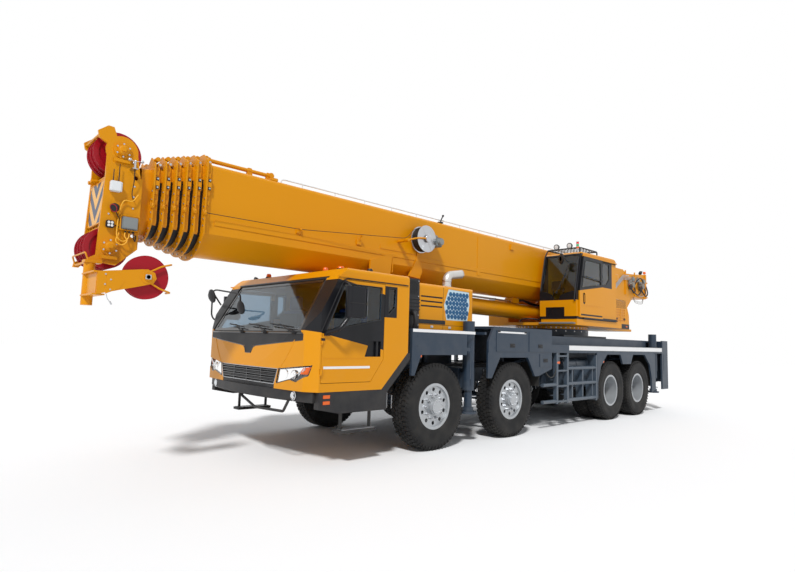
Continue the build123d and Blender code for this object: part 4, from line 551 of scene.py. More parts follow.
BLACK = Finish(
    "black_plastic", (0.010, 0.010, 0.012), roughness=0.55, gloss=0.4, dust=0.08, grain_scale=140.0,
    grain_height=0.0006, slot="black_trim"
)
GLOSS_BLACK = Finish("gloss_black", (0.010, 0.010, 0.012), roughness=0.16, coat=0.5, dust=0.06, slot="black_trim")
RUBBER = Finish(
    "tyre_rubber", (0.0075, 0.0075, 0.008), roughness=0.74, gloss=0.35, dust=0.05, grain_scale=180.0,
    grain_height=0.0008, slot="tyre"
)
SEAL = Finish("rubber_seal", (0.012, 0.012, 0.012), roughness=0.7, dust=0.1, slot="black_trim")
RIM = Finish("rim_silver", (0.44, 0.46, 0.48), roughness=0.34, metallic=0.55, dust=0.16, scuff=0.15)
STEEL = Finish("bare_steel", (0.52, 0.53, 0.55), roughness=0.3, metallic=1.0, dust=0.1, scuff=0.2, slot="jack_steel")
CHROME = Finish("hard_chrome", (0.78, 0.79, 0.80), roughness=0.10, metallic=1.0, dust=0.03, slot="chrome")
EXHAUST = Finish(
    "exhaust_steel", (0.58, 0.56, 0.54), roughness=0.28, metallic=1.0, dust=0.12, scuff=0.3,
    scuff_colour=(0.3, 0.22, 0.16), slot="exhaust_steel"
)
TANK = Finish("tank_paint", (0.050, 0.072, 0.100), roughness=0.4, coat=0.1, dust=0.12, scuff=0.1)
INTERIOR = Finish(
    "cab_plastic", (0.05, 0.052, 0.06), roughness=0.65, dust=0.04, grain_scale=220.0, grain_height=0.0008,
    slot="interior"
)
SEAT = Finish("seat_cloth", (0.03, 0.09, 0.32), roughness=0.85, dust=0.05, grain_scale=400.0, grain_height=0.0012)
LENS = Finish("lamp_chrome", (0.80, 0.80, 0.80), roughness=0.12, metallic=0.8, dust=0.02, slot="chrome")
WINCH = Finish(
    "winch_rope", (0.24, 0.22, 0.19), roughness=0.5, metallic=0.7, dust=0.15, grain_scale=90.0, grain_height=0.003,
    slot="winch_paint"
)
RED = Finish("sheave_red", (0.34, 0.004, 0.014), roughness=0.34, coat=0.08, gloss=0.3, dust=0.03, slot="sheave_red")
AMBER = LitFinish(
    "amber_lens", (0.70, 0.11, 0.004), roughness=0.16, coat=0.2, gloss=0.4, dust=0.02, glow=0.08, slot="lamp_lens"
)
TAIL_RED = LitFinish("red_lens", (0.65, 0.01, 0.01), roughness=0.15, coat=0.6, dust=0.05, glow=0.15, slot="lamp_lens")
GREEN = LitFinish("green_lens", (0.02, 0.42, 0.10), roughness=0.12, coat=0.6, dust=0.02, glow=0.15, slot="lamp_lens")
DISPLAY = LitFinish("display", (0.04, 0.10, 0.16), roughness=0.08, coat=0.5, dust=0.01, glow=0.3, slot="glass")
WHITE_TAPE = Finish("white_tape", (0.80, 0.80, 0.80), roughness=0.45, dust=0.18, slot="lamp_lens")
CELL_BLUE = Finish("panel_blue", (0.006, 0.085, 0.21), roughness=0.34, coat=0.1, gloss=0.3, dust=0.02)
CELL_LINE = Finish("panel_line", (0.50, 0.66, 0.74), roughness=0.35, dust=0.02)
GREY_BOX = Finish("box_grey", (0.22, 0.24, 0.24), roughness=0.5, dust=0.1, slot="jack_steel")
WHITE_BOX = Finish("box_white", (0.75, 0.77, 0.78), roughness=0.4, dust=0.06)
YELLOW_HOSE = Finish("yellow_cable", (0.85, 0.42, 0.02), roughness=0.5, dust=0.05, slot="paint_yellow")
# The cab glass's dark blue-grey colour is partly the glass's own tint and partly painted reflection of the sky.
CAB_GLASS_TINT_AND_REFLECTION = GlassFinish("cab_glass", (0.36, 0.46, 0.54), roughness=0.02, spread=0.02)
CLEAR = GlassFinish("clear_cover", (0.96, 0.97, 0.98), roughness=0.02, spread=0.02, slot="lamp_lens")
HAZARD = StripedFinish(
    "hazard_bands", (0.80, 0.80, 0.80), roughness=0.4, second=(0.62, 0.02, 0.02), pitch=0.16, slant=(0.0, 1.0, 1.0)
)
CHEVRON = ChevronFinish("head_chevrons", (0.015, 0.03, 0.08), roughness=0.35, second=(0.80, 0.40, 0.06))

NODE_FINISHES: dict[str, Finish] = {
    "chassis_frame": SLATE, "axle_beams": SLATE, "engine": POWER, "engine_hood": YELLOW, "deck": SLATE,
    "fuel_tanks": TANK, "cab_shell": SHELL, "cab_glass": CAB_GLASS_TINT_AND_REFLECTION, "cab_fittings": BLACK,
    "cab_interior": INTERIOR, "lamps": AMBER, "knuckle": SLATE, "tyre": RUBBER, "rim": RIM,
    "cab_door_glass": CAB_GLASS_TINT_AND_REFLECTION, "cab_door": CAB_DOOR, "outrigger_beam": SLATE, "outrigger_jack": SLATE,
    "superstructure": YELLOW, "winches": WINCH, "operator_cab": OPERATOR, "operator_cab_glass": CAB_GLASS_TINT_AND_REFLECTION,
    "operator_door": OPERATOR_DOOR_PAINT, "operator_door_glass": CAB_GLASS_TINT_AND_REFLECTION, "lift_cylinder": YELLOW, "lift_rod": CHROME,
    "boom_base": BOOM_PAINT, **SECTIONS_WITH_GAP_SHADE, "boom_section_7": YELLOW, "head_sheaves": RED, "rooster_sheave": AUXILIARY,
}


# ---------------------------------------------------------------- pieces


def rounded(points: Iterable[Point], bend: float) -> list[Vector]:
    """Rounds the corners of a line of points.

    Args:
        points: the corners.
        bend: how far from each corner the curve starts.

    Returns:
        The rounded line.
    """
    corners = [Vector(p) for p in points]
    line = [corners[0]]
    for before, corner, after in zip(corners, corners[1:], corners[2:]):
        reach_in = min(bend, (before - corner).length * 0.45)
        reach_out = min(bend, (after - corner).length * 0.45)
        start = corner + (before - corner).normalized() * reach_in
        end = corner + (after - corner).normalized() * reach_out
        for i in range(BEND_STEPS + 1):
            t = i / BEND_STEPS
            line.append(start * (1 - t) ** 2 + corner * 2 * t * (1 - t) + end * t * t)
    line.append(corners[-1])
    return line


def hoop(inner: float, outer: float, low: float, high: float) -> list[tuple[float, float]]:
    """The profile of a square-edged ring, for Piece.turned."""
    return [(inner, low), (outer, low), (outer, high), (inner, high)]


def disc(radius: float, low: float, edge: float, crown: float, top: float) -> list[tuple[float, float]]:
    """The profile of a disc whose rim slopes in to a smaller crown, for Piece.turned."""
    return [(0.0, low), (radius, low), (radius, edge), (crown, top), (0.0, top)]


class Axis(Enum):
    """The direction that a flat outline is pushed along, with the order of its own two coordinates."""

    X = 0
    Y = 1
    Z = 2

    def place(self, u: float, v: float, along: float) -> Vector:
        """A point from the outline's two coordinates and its place along the axis."""
        return {Axis.X: Vector((along, u, v)), Axis.Y: Vector((u, along, v)), Axis.Z: Vector((u, v, along))}[self]


class Piece:
    """One mesh under construction, which rides on a body and takes one finish."""

    def __init__(self, name: str, body: str, finish: Finish, slot: str = "") -> None:
        """Starts an empty mesh.

        Args:
            name: the object's name.
            body: the moving body that it rides on.
            finish: its finish.
            slot: a material slot name kept on the piece, the finish's own by default.
        """
        self.name, self.body, self.finish, self.slot = name, body, finish, slot or finish.slot
        self.mesh = bmesh.new()

    def take(self, shape: bmesh.types.BMesh, bevel: float = 0.0, segments: int = 2) -> None:
        """Softens a closed shape's sharp edges and joins it to the piece.

        Args:
            shape: the shape, which is freed.
            bevel: the width of the softened edge.
            segments: steps across it.
        """
        bmesh.ops.recalc_face_normals(shape, faces=shape.faces)
        if bevel:
            sharp = [e for e in shape.edges if len(e.link_faces) == 2 and e.calc_face_angle(0.0) > SHARP]
            bmesh.ops.bevel(shape, geom=sharp, offset=bevel, segments=segments, affect="EDGES", clamp_overlap=True)
        holder = bpy.data.meshes.new("shape")
        shape.to_mesh(holder)
        shape.free()
        self.mesh.from_mesh(holder)
        bpy.data.meshes.remove(holder)

    def block(self, low: Point, high: Point, bevel: float = 0.004) -> None:
        """A box between two corners.

        Args:
            low: one corner.
            high: the opposite corner.
            bevel: the softened edge's width.
        """
        a, b = Vector(low), Vector(high)
        size = Vector(abs(q - p) for p, q in zip(a, b))
        shape = bmesh.new()
        bmesh.ops.create_cube(shape, size=1.0)
        shape.transform(Matrix.Translation((a + b) / 2) @ Matrix.Diagonal((*size, 1.0)))
        self.take(shape, min(bevel, min(size) * 0.45))

    def flank(self, sign: int, low: Point, high: Point, bevel: float) -> None:
        """A box on one side of the middle plane, from corners given for the left side."""
        near, far = sorted((sign * low[1], sign * high[1]))
        self.block((low[0], near, low[2]), (high[0], far, high[2]), bevel)

    def prism(self, front: Sequence[Point], back: Sequence[Point], bevel: float, segments: int = 2) -> None:
        """A closed shape between two rings of points.

        Args:
            front: the ring of one face.
            back: the ring of the other, point for point.
            bevel: the softened edge's width.
            segments: steps across it.
        """
        shape = bmesh.new()
        near, far = ([shape.verts.new(p) for p in ring] for ring in (front, back))
        shape.faces.new(near)
        shape.faces.new(reversed(far))
        for i in range(len(near)):
            j = (i + 1) % len(near)
            shape.faces.new((near[i], far[i], far[j], near[j]))
        self.take(shape, bevel, segments)

    def plate(
        self, outline: Sequence[Sequence[float]], axis: Axis, start: float, end: float, bevel: float = 0.003
    ) -> None:
        """A flat outline pushed along an axis.

        Args:
            outline: the corners in the axis's own two coordinates.
            axis: the direction of its thickness.
            start: one face's place.
            end: the other face's place.
            bevel: the softened edge's width.
        """
        near, far = ([axis.place(u, v, along) for u, v in outline] for along in (start, end))
        self.prism(near, far, min(bevel, abs(end - start) * 0.4))

    def rod(
        self, start: Point, end: Point, radius: float, far: float | None = None, sides: int = 24, bevel: float = 0.0
    ) -> None:
        """A round bar or a cone between two points.

        Args:
            start: the middle of one end.
            end: the middle of the other.
            radius: the first end's radius.
            far: the other end's radius, the same by default.
            sides: its number of sides.
            bevel: the softened edge's width.
        """
        a, b = Vector(start), Vector(end)
        shape = bmesh.new()
        other = radius if far is None else far
        bmesh.ops.create_cone(
            shape, cap_ends=True, segments=sides, radius1=radius, radius2=other, depth=(b - a).length
        )
        turn = Vector((0, 0, 1)).rotation_difference(b - a).to_matrix().to_4x4()
        shape.transform(Matrix.Translation((a + b) / 2) @ turn)
        self.take(shape, bevel)

    def ball(self, centre: Point, radius: float, squeeze: Point = (1, 1, 1)) -> None:
        """A rounded lump."""
        shape = bmesh.new()
        bmesh.ops.create_uvsphere(shape, u_segments=24, v_segments=14, radius=radius)
        shape.transform(Matrix.Translation(centre) @ Matrix.Diagonal((*squeeze, 1.0)))
        self.take(shape)

    def tube(
        self, points: Iterable[Point], radius: float, bend: float = 0.04, sides: int = 12, closed: bool = False
    ) -> None:
        """A round bar or hose that follows a line with rounded corners.

        Args:
            points: the line's corners.
            radius: the bar's radius.
            bend: how far from each corner its curve starts.
            sides: sides around it.
            closed: whether the line joins its own start.
        """
        line = rounded(points, bend)
        line = [p for i, p in enumerate(line) if i == 0 or (p - line[i - 1]).length > MERGE]
        if closed and (line[0] - line[-1]).length < MERGE:
            line.pop()
        shape = bmesh.new()
        rings = []
        heading = (line[1] - line[0]).normalized()
        across = heading.orthogonal().normalized()
        for i, spot in enumerate(line):
            before = line[i - 1] if i or closed else spot
            after = line[(i + 1) % len(line)] if i < len(line) - 1 or closed else spot
            course = (after - before).normalized()
            across = (across - course * across.dot(course)).normalized()
            side = course.cross(across)
            rings.append([
                shape.verts.new(
                    spot
                    + (across * math.cos(2 * math.pi * k / sides) + side * math.sin(2 * math.pi * k / sides)) * radius
                )
                for k in range(sides)
            ])
        pairs = list(zip(rings, rings[1:])) + ([(rings[-1], rings[0])] if closed else [])
        for one, two in pairs:
            for k in range(sides):
                shape.faces.new((one[k], one[(k + 1) % sides], two[(k + 1) % sides], two[k]))
        if not closed:
            shape.faces.new(reversed(rings[0]))
            shape.faces.new(rings[-1])
        self.take(shape)

    def turned(self, profile: Iterable[Sequence[float]], centre: Point, axis: Point, segments: int = 48) -> None:
        """A closed profile spun about an axis.

        Args:
            profile: pairs of radius and place along the axis.
            centre: a point on the axis.
            axis: its direction.
            segments: steps around it.
        """
        pairs = list(profile)
        turn = Vector((0, 0, 1)).rotation_difference(Vector(axis)).to_matrix().to_4x4()
        shape = bmesh.new()
        rings = []
        for i in range(segments):
            angle = 2 * math.pi * i / segments
            rings.append([shape.verts.new((r * math.cos(angle), r * math.sin(angle), h)) for r, h in pairs])
        for i in range(segments):
            one, two = rings[i], rings[(i + 1) % segments]
            for k in range(len(pairs)):
                m = (k + 1) % len(pairs)
                shape.faces.new((one[k], two[k], two[m], one[m]))
        bmesh.ops.remove_doubles(shape, verts=shape.verts, dist=MERGE)
        bmesh.ops.dissolve_degenerate(shape, edges=shape.edges, dist=1e-6)
        shape.transform(Matrix.Translation(centre) @ turn)
        self.take(shape)

    def slab(self, rows: Sequence[Sequence[Vector]], depth: Vector) -> None:
        """A curved sheet through a grid of points, with a thickness.

        Args:
            rows: rows of points, all of one length.
            depth: the way from its face to its back.
        """
        shape = bmesh.new()
        front = [[shape.verts.new(p) for p in row] for row in rows]
        back = [[shape.verts.new(Vector(p) + depth) for p in row] for row in rows]
        last, width = len(rows) - 1, len(rows[0]) - 1
        for i in range(last):
            for k in range(width):
                shape.faces.new((front[i][k], front[i + 1][k], front[i + 1][k + 1], front[i][k + 1]))
                shape.faces.new((back[i][k + 1], back[i + 1][k + 1], back[i + 1][k], back[i][k]))
        rim = [(i, 0) for i in range(last)] + [(last, k) for k in range(width)]
        rim += [(i, width) for i in range(last, 0, -1)] + [(0, k) for k in range(width, 0, -1)]
        for (i, k), (m, n) in zip(rim, rim[1:] + rim[:1]):
            shape.faces.new((front[i][k], back[i][k], back[m][n], front[m][n]))
        self.take(shape)

    def sheet(self, corners: Sequence[Vector], depth: Vector) -> None:
        """A flat or nearly flat sheet inside a ring of corners.

        Args:
            corners: the ring.
            depth: the way from its face to its back.
        """
        self.prism(corners, [Vector(p) + depth for p in corners], abs(depth.length) * 0.2, 1)

    def done(self) -> bpy.types.Object:
        """Makes the object, dresses it and puts it on its body.

        Returns:
            The finished object.
        """
        mesh = bpy.data.meshes.new(self.name)
        self.mesh.to_mesh(mesh)
        self.mesh.free()
        return dress(mesh, self.name, self.body, self.finish)


@contextmanager
def making(name: str, body: str, finish: Finish, slot: str = "") -> Iterator[Piece]:
    """Opens a piece to add shapes to, and finishes it at the end.

    Args:
        name: the object's name.
        body: the body that it rides on.
        finish: its finish.
        slot: a material slot name kept on the piece, the finish's own by default.

    Yields:
        The open piece.
    """
    piece = Piece(name, body, finish, slot)
    yield piece
    piece.done()


def both(name: str, body: str, finish: Finish, slot: str = "") -> Iterator[tuple[Piece, int]]:
    """Opens a piece to add shapes to on the left and then on the right, and finishes it at the end.

    Args:
        name: the object's name.
        body: the body that it rides on.
        finish: its finish.
        slot: a material slot name kept on the piece, the finish's own by default.

    Yields:
        The open piece, with 1 for the left and -1 for the right.
    """
    with making(name, body, finish, slot) as piece:
        for sign in SIGNS:
            yield piece, sign


def shrink_outline(outline: Sequence[Sequence[float]], gap: float) -> list[tuple[float, float]]:
    """A closed outline with each corner drawn towards its middle.

    Args:
        outline: the corners.
        gap: how far they move.

    Returns:
        The smaller outline.
    """
    middle = sum((Vector(p) for p in outline), Vector((0.0, 0.0))) / len(outline)
    return [tuple(Vector(p) + (middle - Vector(p)).normalized() * gap) for p in outline]


def dress(
    mesh: bpy.types.Mesh, name: str, body: str, finish: Finish, smooth: float = SHARP
) -> bpy.types.Object:
    """Turns a plain mesh into a finished piece on a body.

    Args:
        mesh: the mesh, with its place in its vertices.
        name: the object's name.
        body: the body that it rides on.
        finish: its finish.
        smooth: edges sharper than this angle stay sharp.

    Returns:
        The finished object.
    """
    mesh.materials.clear()
    mesh.materials.append(finish.material())
    for face in mesh.polygons:
        face.use_smooth = True
        face.material_index = 0
    mesh.set_sharp_from_angle(angle=smooth)
    obj = bpy.data.objects.new(name, mesh)
    bpy.context.scene.collection.objects.link(obj)
    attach(obj, body)
    return obj


# ---------------------------------------------------------------- geometry trees


class Repeater:
    """A geometry tree that repeats one small shape, with named inputs for its sizes."""

    trees: dict[str, bpy.types.NodeTree] = {}

    @classmethod
    def start(cls, name: str, inputs: Sequence[tuple[str, str]]) -> tuple[
        bpy.types.NodeTree, bpy.types.Node, bpy.types.Node
    ]:
        """Makes an empty tree with a geometry input and output and the named inputs.

        Args:
            name: the tree's name.
            inputs: each input's name and socket type.

        Returns:
            The tree, its input node and its output node.
        """
        tree = bpy.data.node_groups.new(name, "GeometryNodeTree")
        tree.interface.new_socket("Geometry", in_out="INPUT", socket_type="NodeSocketGeometry")
        for label, kind in inputs:
            tree.interface.new_socket(label, in_out="INPUT", socket_type=kind)
        tree.interface.new_socket("Geometry", in_out="OUTPUT", socket_type="NodeSocketGeometry")
        return tree, tree.nodes.new("NodeGroupInput"), tree.nodes.new("NodeGroupOutput")

    @classmethod
    def close(
        cls, tree: bpy.types.NodeTree, geometry: bpy.types.NodeSocket, source: bpy.types.Node, sink: bpy.types.Node
    ) -> None:
        """Ends a tree in Realize Instances and Set Material."""
        real = add_node(tree, "GeometryNodeRealizeInstances", {"Geometry": geometry})
        last = add_node(
            tree, "GeometryNodeSetMaterial", {"Geometry": real.outputs[0], "Material": source.outputs["Finish"]}
        )
        tree.links.new(last.outputs[0], sink.inputs["Geometry"])

    @classmethod
    def heads(cls) -> bpy.types.NodeTree:
        """Faceted heads stood on points along their stored facing, for bolts, studs and rivets."""
        if "heads" not in cls.trees:
            inputs = (
                ("Radius", "NodeSocketFloat"), ("Height", "NodeSocketFloat"), ("Sides", "NodeSocketInt"),
                ("Finish", "NodeSocketMaterial")
            )
            tree, source, sink = cls.start("bolt_heads", inputs)
            head = add_node(
                tree, "GeometryNodeMeshCylinder",
                {
                    "Vertices": source.outputs["Sides"], "Radius": source.outputs["Radius"],
                    "Depth": source.outputs["Height"]
                },
            )
            facing = add_node(tree, "GeometryNodeInputNamedAttribute", {"Name": "facing"}, data_type="FLOAT_VECTOR")
            turn = add_node(
                tree, "FunctionNodeAlignRotationToVector", {"Vector": facing.outputs["Attribute"]}, axis="Z"
            )
            spread = add_node(
                tree, "GeometryNodeInstanceOnPoints",
                {"Points": source.outputs["Geometry"], "Instance": head.outputs["Mesh"], "Rotation": turn.outputs[0]},
            )
            cls.close(tree, spread.outputs[0], source, sink)
            cls.trees["heads"] = tree
        return cls.trees["heads"]

    @classmethod
    def blocks(cls) -> bpy.types.NodeTree:
        """Boxes stood on points along their stored facing, with a little seeded scatter, for lugs, slats and ribs."""
        if "blocks" not in cls.trees:
            inputs = (
                ("Size", "NodeSocketVector"), ("Scatter", "NodeSocketFloat"), ("Seed", "NodeSocketInt"),
                ("Finish", "NodeSocketMaterial")
            )
            tree, source, sink = cls.start("blocks_on_points", inputs)
            cube = add_node(tree, "GeometryNodeMeshCube", {"Size": source.outputs["Size"]})
            facing = add_node(tree, "GeometryNodeInputNamedAttribute", {"Name": "facing"}, data_type="FLOAT_VECTOR")
            along = add_node(tree, "GeometryNodeInputNamedAttribute", {"Name": "along"}, data_type="FLOAT_VECTOR")
            stand = add_node(
                tree, "FunctionNodeAlignRotationToVector", {"Vector": facing.outputs["Attribute"]}, axis="Z"
            )
            turn = add_node(
                tree, "FunctionNodeAlignRotationToVector",
                {"Rotation": stand.outputs[0], "Vector": along.outputs["Attribute"]}, axis="X", pivot_axis="Z",
            )
            grow = math_node(tree, "ADD", 1.0, source.outputs["Scatter"])
            vary = add_node(
                tree, "FunctionNodeRandomValue", {2: 1.0, 3: grow, "Seed": source.outputs["Seed"]}, data_type="FLOAT"
            )
            spread = add_node(
                tree, "GeometryNodeInstanceOnPoints",
                {
                    "Points": source.outputs["Geometry"], "Instance": cube.outputs["Mesh"], "Rotation": turn.outputs[0],
                    "Scale": vary.outputs[1]
                },
            )
            cls.close(tree, spread.outputs[0], source, sink)
            cls.trees["blocks"] = tree
        return cls.trees["blocks"]

    @classmethod
    def grow(
        cls, tree: bpy.types.NodeTree, name: str, body: str, finish: Finish, slot: str,
        points: Sequence[tuple[Point, Point, Point]], values: dict[str, object],
    ) -> bpy.types.Object:
        """Runs a tree over points and keeps the result as a plain mesh.

        Args:
            tree: the geometry tree.
            name: the object's name.
            body: the body that it rides on.
            finish: its finish.
            slot: not used.
            points: each place with its facing and its long direction.
            values: the tree's named inputs.

        Returns:
            The finished object.
        """
        seed_mesh = bpy.data.meshes.new(name + "_points")
        seed_mesh.from_pydata([tuple(p[0]) for p in points], [], [])
        for label, column in (("facing", 1), ("along", 2)):
            attribute = seed_mesh.attributes.new(label, "FLOAT_VECTOR", "POINT")
            attribute.data.foreach_set("vector", [c for p in points for c in p[column]])
        holder = bpy.data.objects.new(name + "_points", seed_mesh)
        bpy.context.scene.collection.objects.link(holder)
        modifier = holder.modifiers.new("repeat", "NODES")
        modifier.node_group = tree
        values = {**values, "Finish": finish.material()}
        for item in tree.interface.items_tree:
            if item.item_type == "SOCKET" and item.in_out == "INPUT" and item.name in values:
                modifier[item.identifier] = values[item.name]
        shown = holder.evaluated_get(bpy.context.evaluated_depsgraph_get())
        mesh = bpy.data.meshes.new_from_object(shown)
        mesh.name = name
        holder.modifiers.clear()
        bpy.data.objects.remove(holder)
        return dress(mesh, name, body, finish)


def bolts(
    name: str, body: str, finish: Finish, places: Sequence[
        tuple[Point, Point]
    ], radius: float, height: float, sides: int = 6
) -> None:
    """Bolt heads at places with facings.

    Args:
        name: the object's name.
        body: the body that they ride on.
        finish: their finish.
        places: each head's middle and facing.
        radius: a head's radius.
        height: a head's height.
        sides: sides of a head.
    """
    points = [(p, f, (1.0, 0.0, 0.0)) for p, f in places]
    values = {"Radius": radius, "Height": height, "Sides": sides}
    Repeater.grow(Repeater.heads(), name, body, finish, finish.slot, points, values)


def blocks(
    name: str, body: str, finish: Finish, places: Sequence[tuple[Point, Point, Point]], size: Point, slot: str = ""
) -> None:
    """Boxes at places with facings and long directions.

    Args:
        name: the object's name.
        body: the body that they ride on.
        finish: their finish.
        places: each box's middle, facing and long direction.
        size: length, width and height of a box.
        slot: a material slot name, the finish's own by default, handed on to Repeater.grow.
    """
    values = {"Size": tuple(size), "Scatter": 0.0, "Seed": SEED}
    Repeater.grow(Repeater.blocks(), name, body, finish, slot or finish.slot, places, values)


def round_axle(
    x: float, y: float, z: float, radius: float, count: int, shift: float = 0.0
) -> list[tuple[Point, Point]]:
    """Places on a circle about an axle, facing out from the middle plane.

    Args:
        x: the axle's place along the vehicle.
        y: the circle's place across it.
        z: the axle's height.
        radius: the circle's radius.
        count: how many places.
        shift: how far the first is turned, as a share of the step between two.

    Returns:
        Each place with its facing.
    """
    angles = [2 * math.pi * (i + shift) / count for i in range(count)]
    facing = (0.0, math.copysign(1.0, y), 0.0)
    return [((x + radius * math.cos(a), y, z + radius * math.sin(a)), facing) for a in angles]


# ---------------------------------------------------------------- wheels


@dataclass
class Wheel:
    """A tyre with its tread and side ribs, and the studs and hub of its rim."""

    number: int
    side: str
    x: float
    twin: bool
    radius: float = 0.613
    height: float = 0.613
    width: float = 0.315
    outer_y: float = 1.370
    twin_pitch: float = 0.350
    lug_depth: float = 0.018
    pitches: int = 54
    stud_circle: float = 0.1675

    @property
    def sign(self) -> int:
        """1 on the left and -1 on the right."""
        return 1 if self.side == "left" else -1

    @property
    def body(self) -> str:
        """The body that the wheel's pieces ride on."""
        return f"wheel_{self.number}_{self.side}"

    def tyre_middles(self) -> list[float]:
        """Where each tyre's middle plane is across the vehicle."""
        outer = self.outer_y - self.width / 2
        return [outer, outer - self.twin_pitch] if self.twin else [outer]

    def carcass(self) -> None:
        """The tyre's body, spun from one section, which stands for the plain tyre."""
        piece = Piece(f"tyre_body_{self.number}_{self.side}", self.body, RUBBER)
        r, half, base = self.radius - self.lug_depth, self.width / 2, 0.318
        section = [
            (base, -0.118), (base + 0.02, -0.135), (0.372, -0.140), (0.380, -0.1425), (0.388, -0.1425), (0.396, -0.141),
            (0.46, -0.1545), (0.50, -half), (0.515, -half), (0.545, -0.150), (0.575, -0.138), (
                r - 0.004, -0.128
            ), (r, -0.11),
            (r + 0.002, 0.0), (r, 0.11), (
                r - 0.004, 0.128
            ), (0.575, 0.138), (0.545, 0.150), (0.515, half), (0.50, half),
            (0.46, 0.1545), (0.396, 0.141), (0.388, 0.1425), (0.380, 0.1425), (0.372, 0.140), (
                base + 0.02, 0.135
            ), (base, 0.118),
        ]
        for middle in self.tyre_middles():
            piece.turned(section, (self.x, self.sign * middle, self.height), (0, 1, 0), segments=72)
        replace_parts(piece.done(), f"tyre_{self.number}_{self.side}")

    def tread(self) -> None:
        """Tread blocks in staggered rows, and short ribs on the shoulders."""
        rows = ((-0.098, 0.5), (-0.033, 0.0), (0.033, 0.5), (0.098, 0.0))
        for label, length, width in (("shoulder", 0.052, 0.058), ("crown", 0.056, 0.052)):
            places = []
            for middle in self.tyre_middles():
                for offset, shift in rows:
                    if (abs(offset) > 0.05) != (label == "shoulder"):
                        continue
                    for i in range(self.pitches):
                        angle = 2 * math.pi * (i + shift) / self.pitches
                        outward = Vector((math.cos(angle), 0.0, math.sin(angle)))
                        reach = self.radius - self.lug_depth / 2 - 0.003
                        spot = Vector((self.x, self.sign * middle + offset, self.height)) + outward * reach
                        slant = 0.35 if offset * self.sign > 0 else -0.35
                        along = Vector((-math.sin(angle), slant * (1 if label == "crown" else 0.35), math.cos(angle)))
                        places.append((spot, outward, along))
            blocks(
                f"tread_{label}_{self.number}_{self.side}", self.body, RUBBER, places,
                (length, width, self.lug_depth),
            )
        ribs = []
        for middle in self.tyre_middles():
            for face in (1, -1):
                for i in range(self.pitches):
                    angle = 2 * math.pi * (i + 0.25) / self.pitches
                    outward = Vector((math.cos(angle), 0.0, math.sin(angle)))
                    spot = Vector((self.x, self.sign * middle + face * 0.1405, self.height)) + outward * 0.567
                    ribs.append((spot, (0.0, float(face), 0.0), outward))
        blocks(f"shoulder_ribs_{self.number}_{self.side}", self.body, RUBBER, ribs, (0.042, 0.014, 0.022))

    def studs(self) -> None:
        """Ten nuts with their studs, and the hub's cover bolts."""
        face = 1.0515 if self.twin else 1.3075
        for name, out, circle, count, shift, radius, height, sides in (
            ("wheel_nuts", 0.014, self.stud_circle, 10, 0.0, 0.0215, 0.030, 6),
            ("stud_ends", 0.036, self.stud_circle, 10, 0.0, 0.0105, 0.030, 10),
            ("hub_bolts", 0.094, 0.085, 8, 0.5, 0.009, 0.012, 6),
        ):
            places = round_axle(self.x, self.sign * (face + out), self.height, circle, count, shift)
            bolts(f"{name}_{self.number}_{self.side}", self.body, STEEL, places, radius, height, sides)

    def build(self) -> None:
        """Makes every piece of the wheel."""
        self.carcass()
        self.tread()
        self.studs()
        log.info("wheel %s %s", self.number, self.side)


# ---------------------------------------------------------------- driver's cab


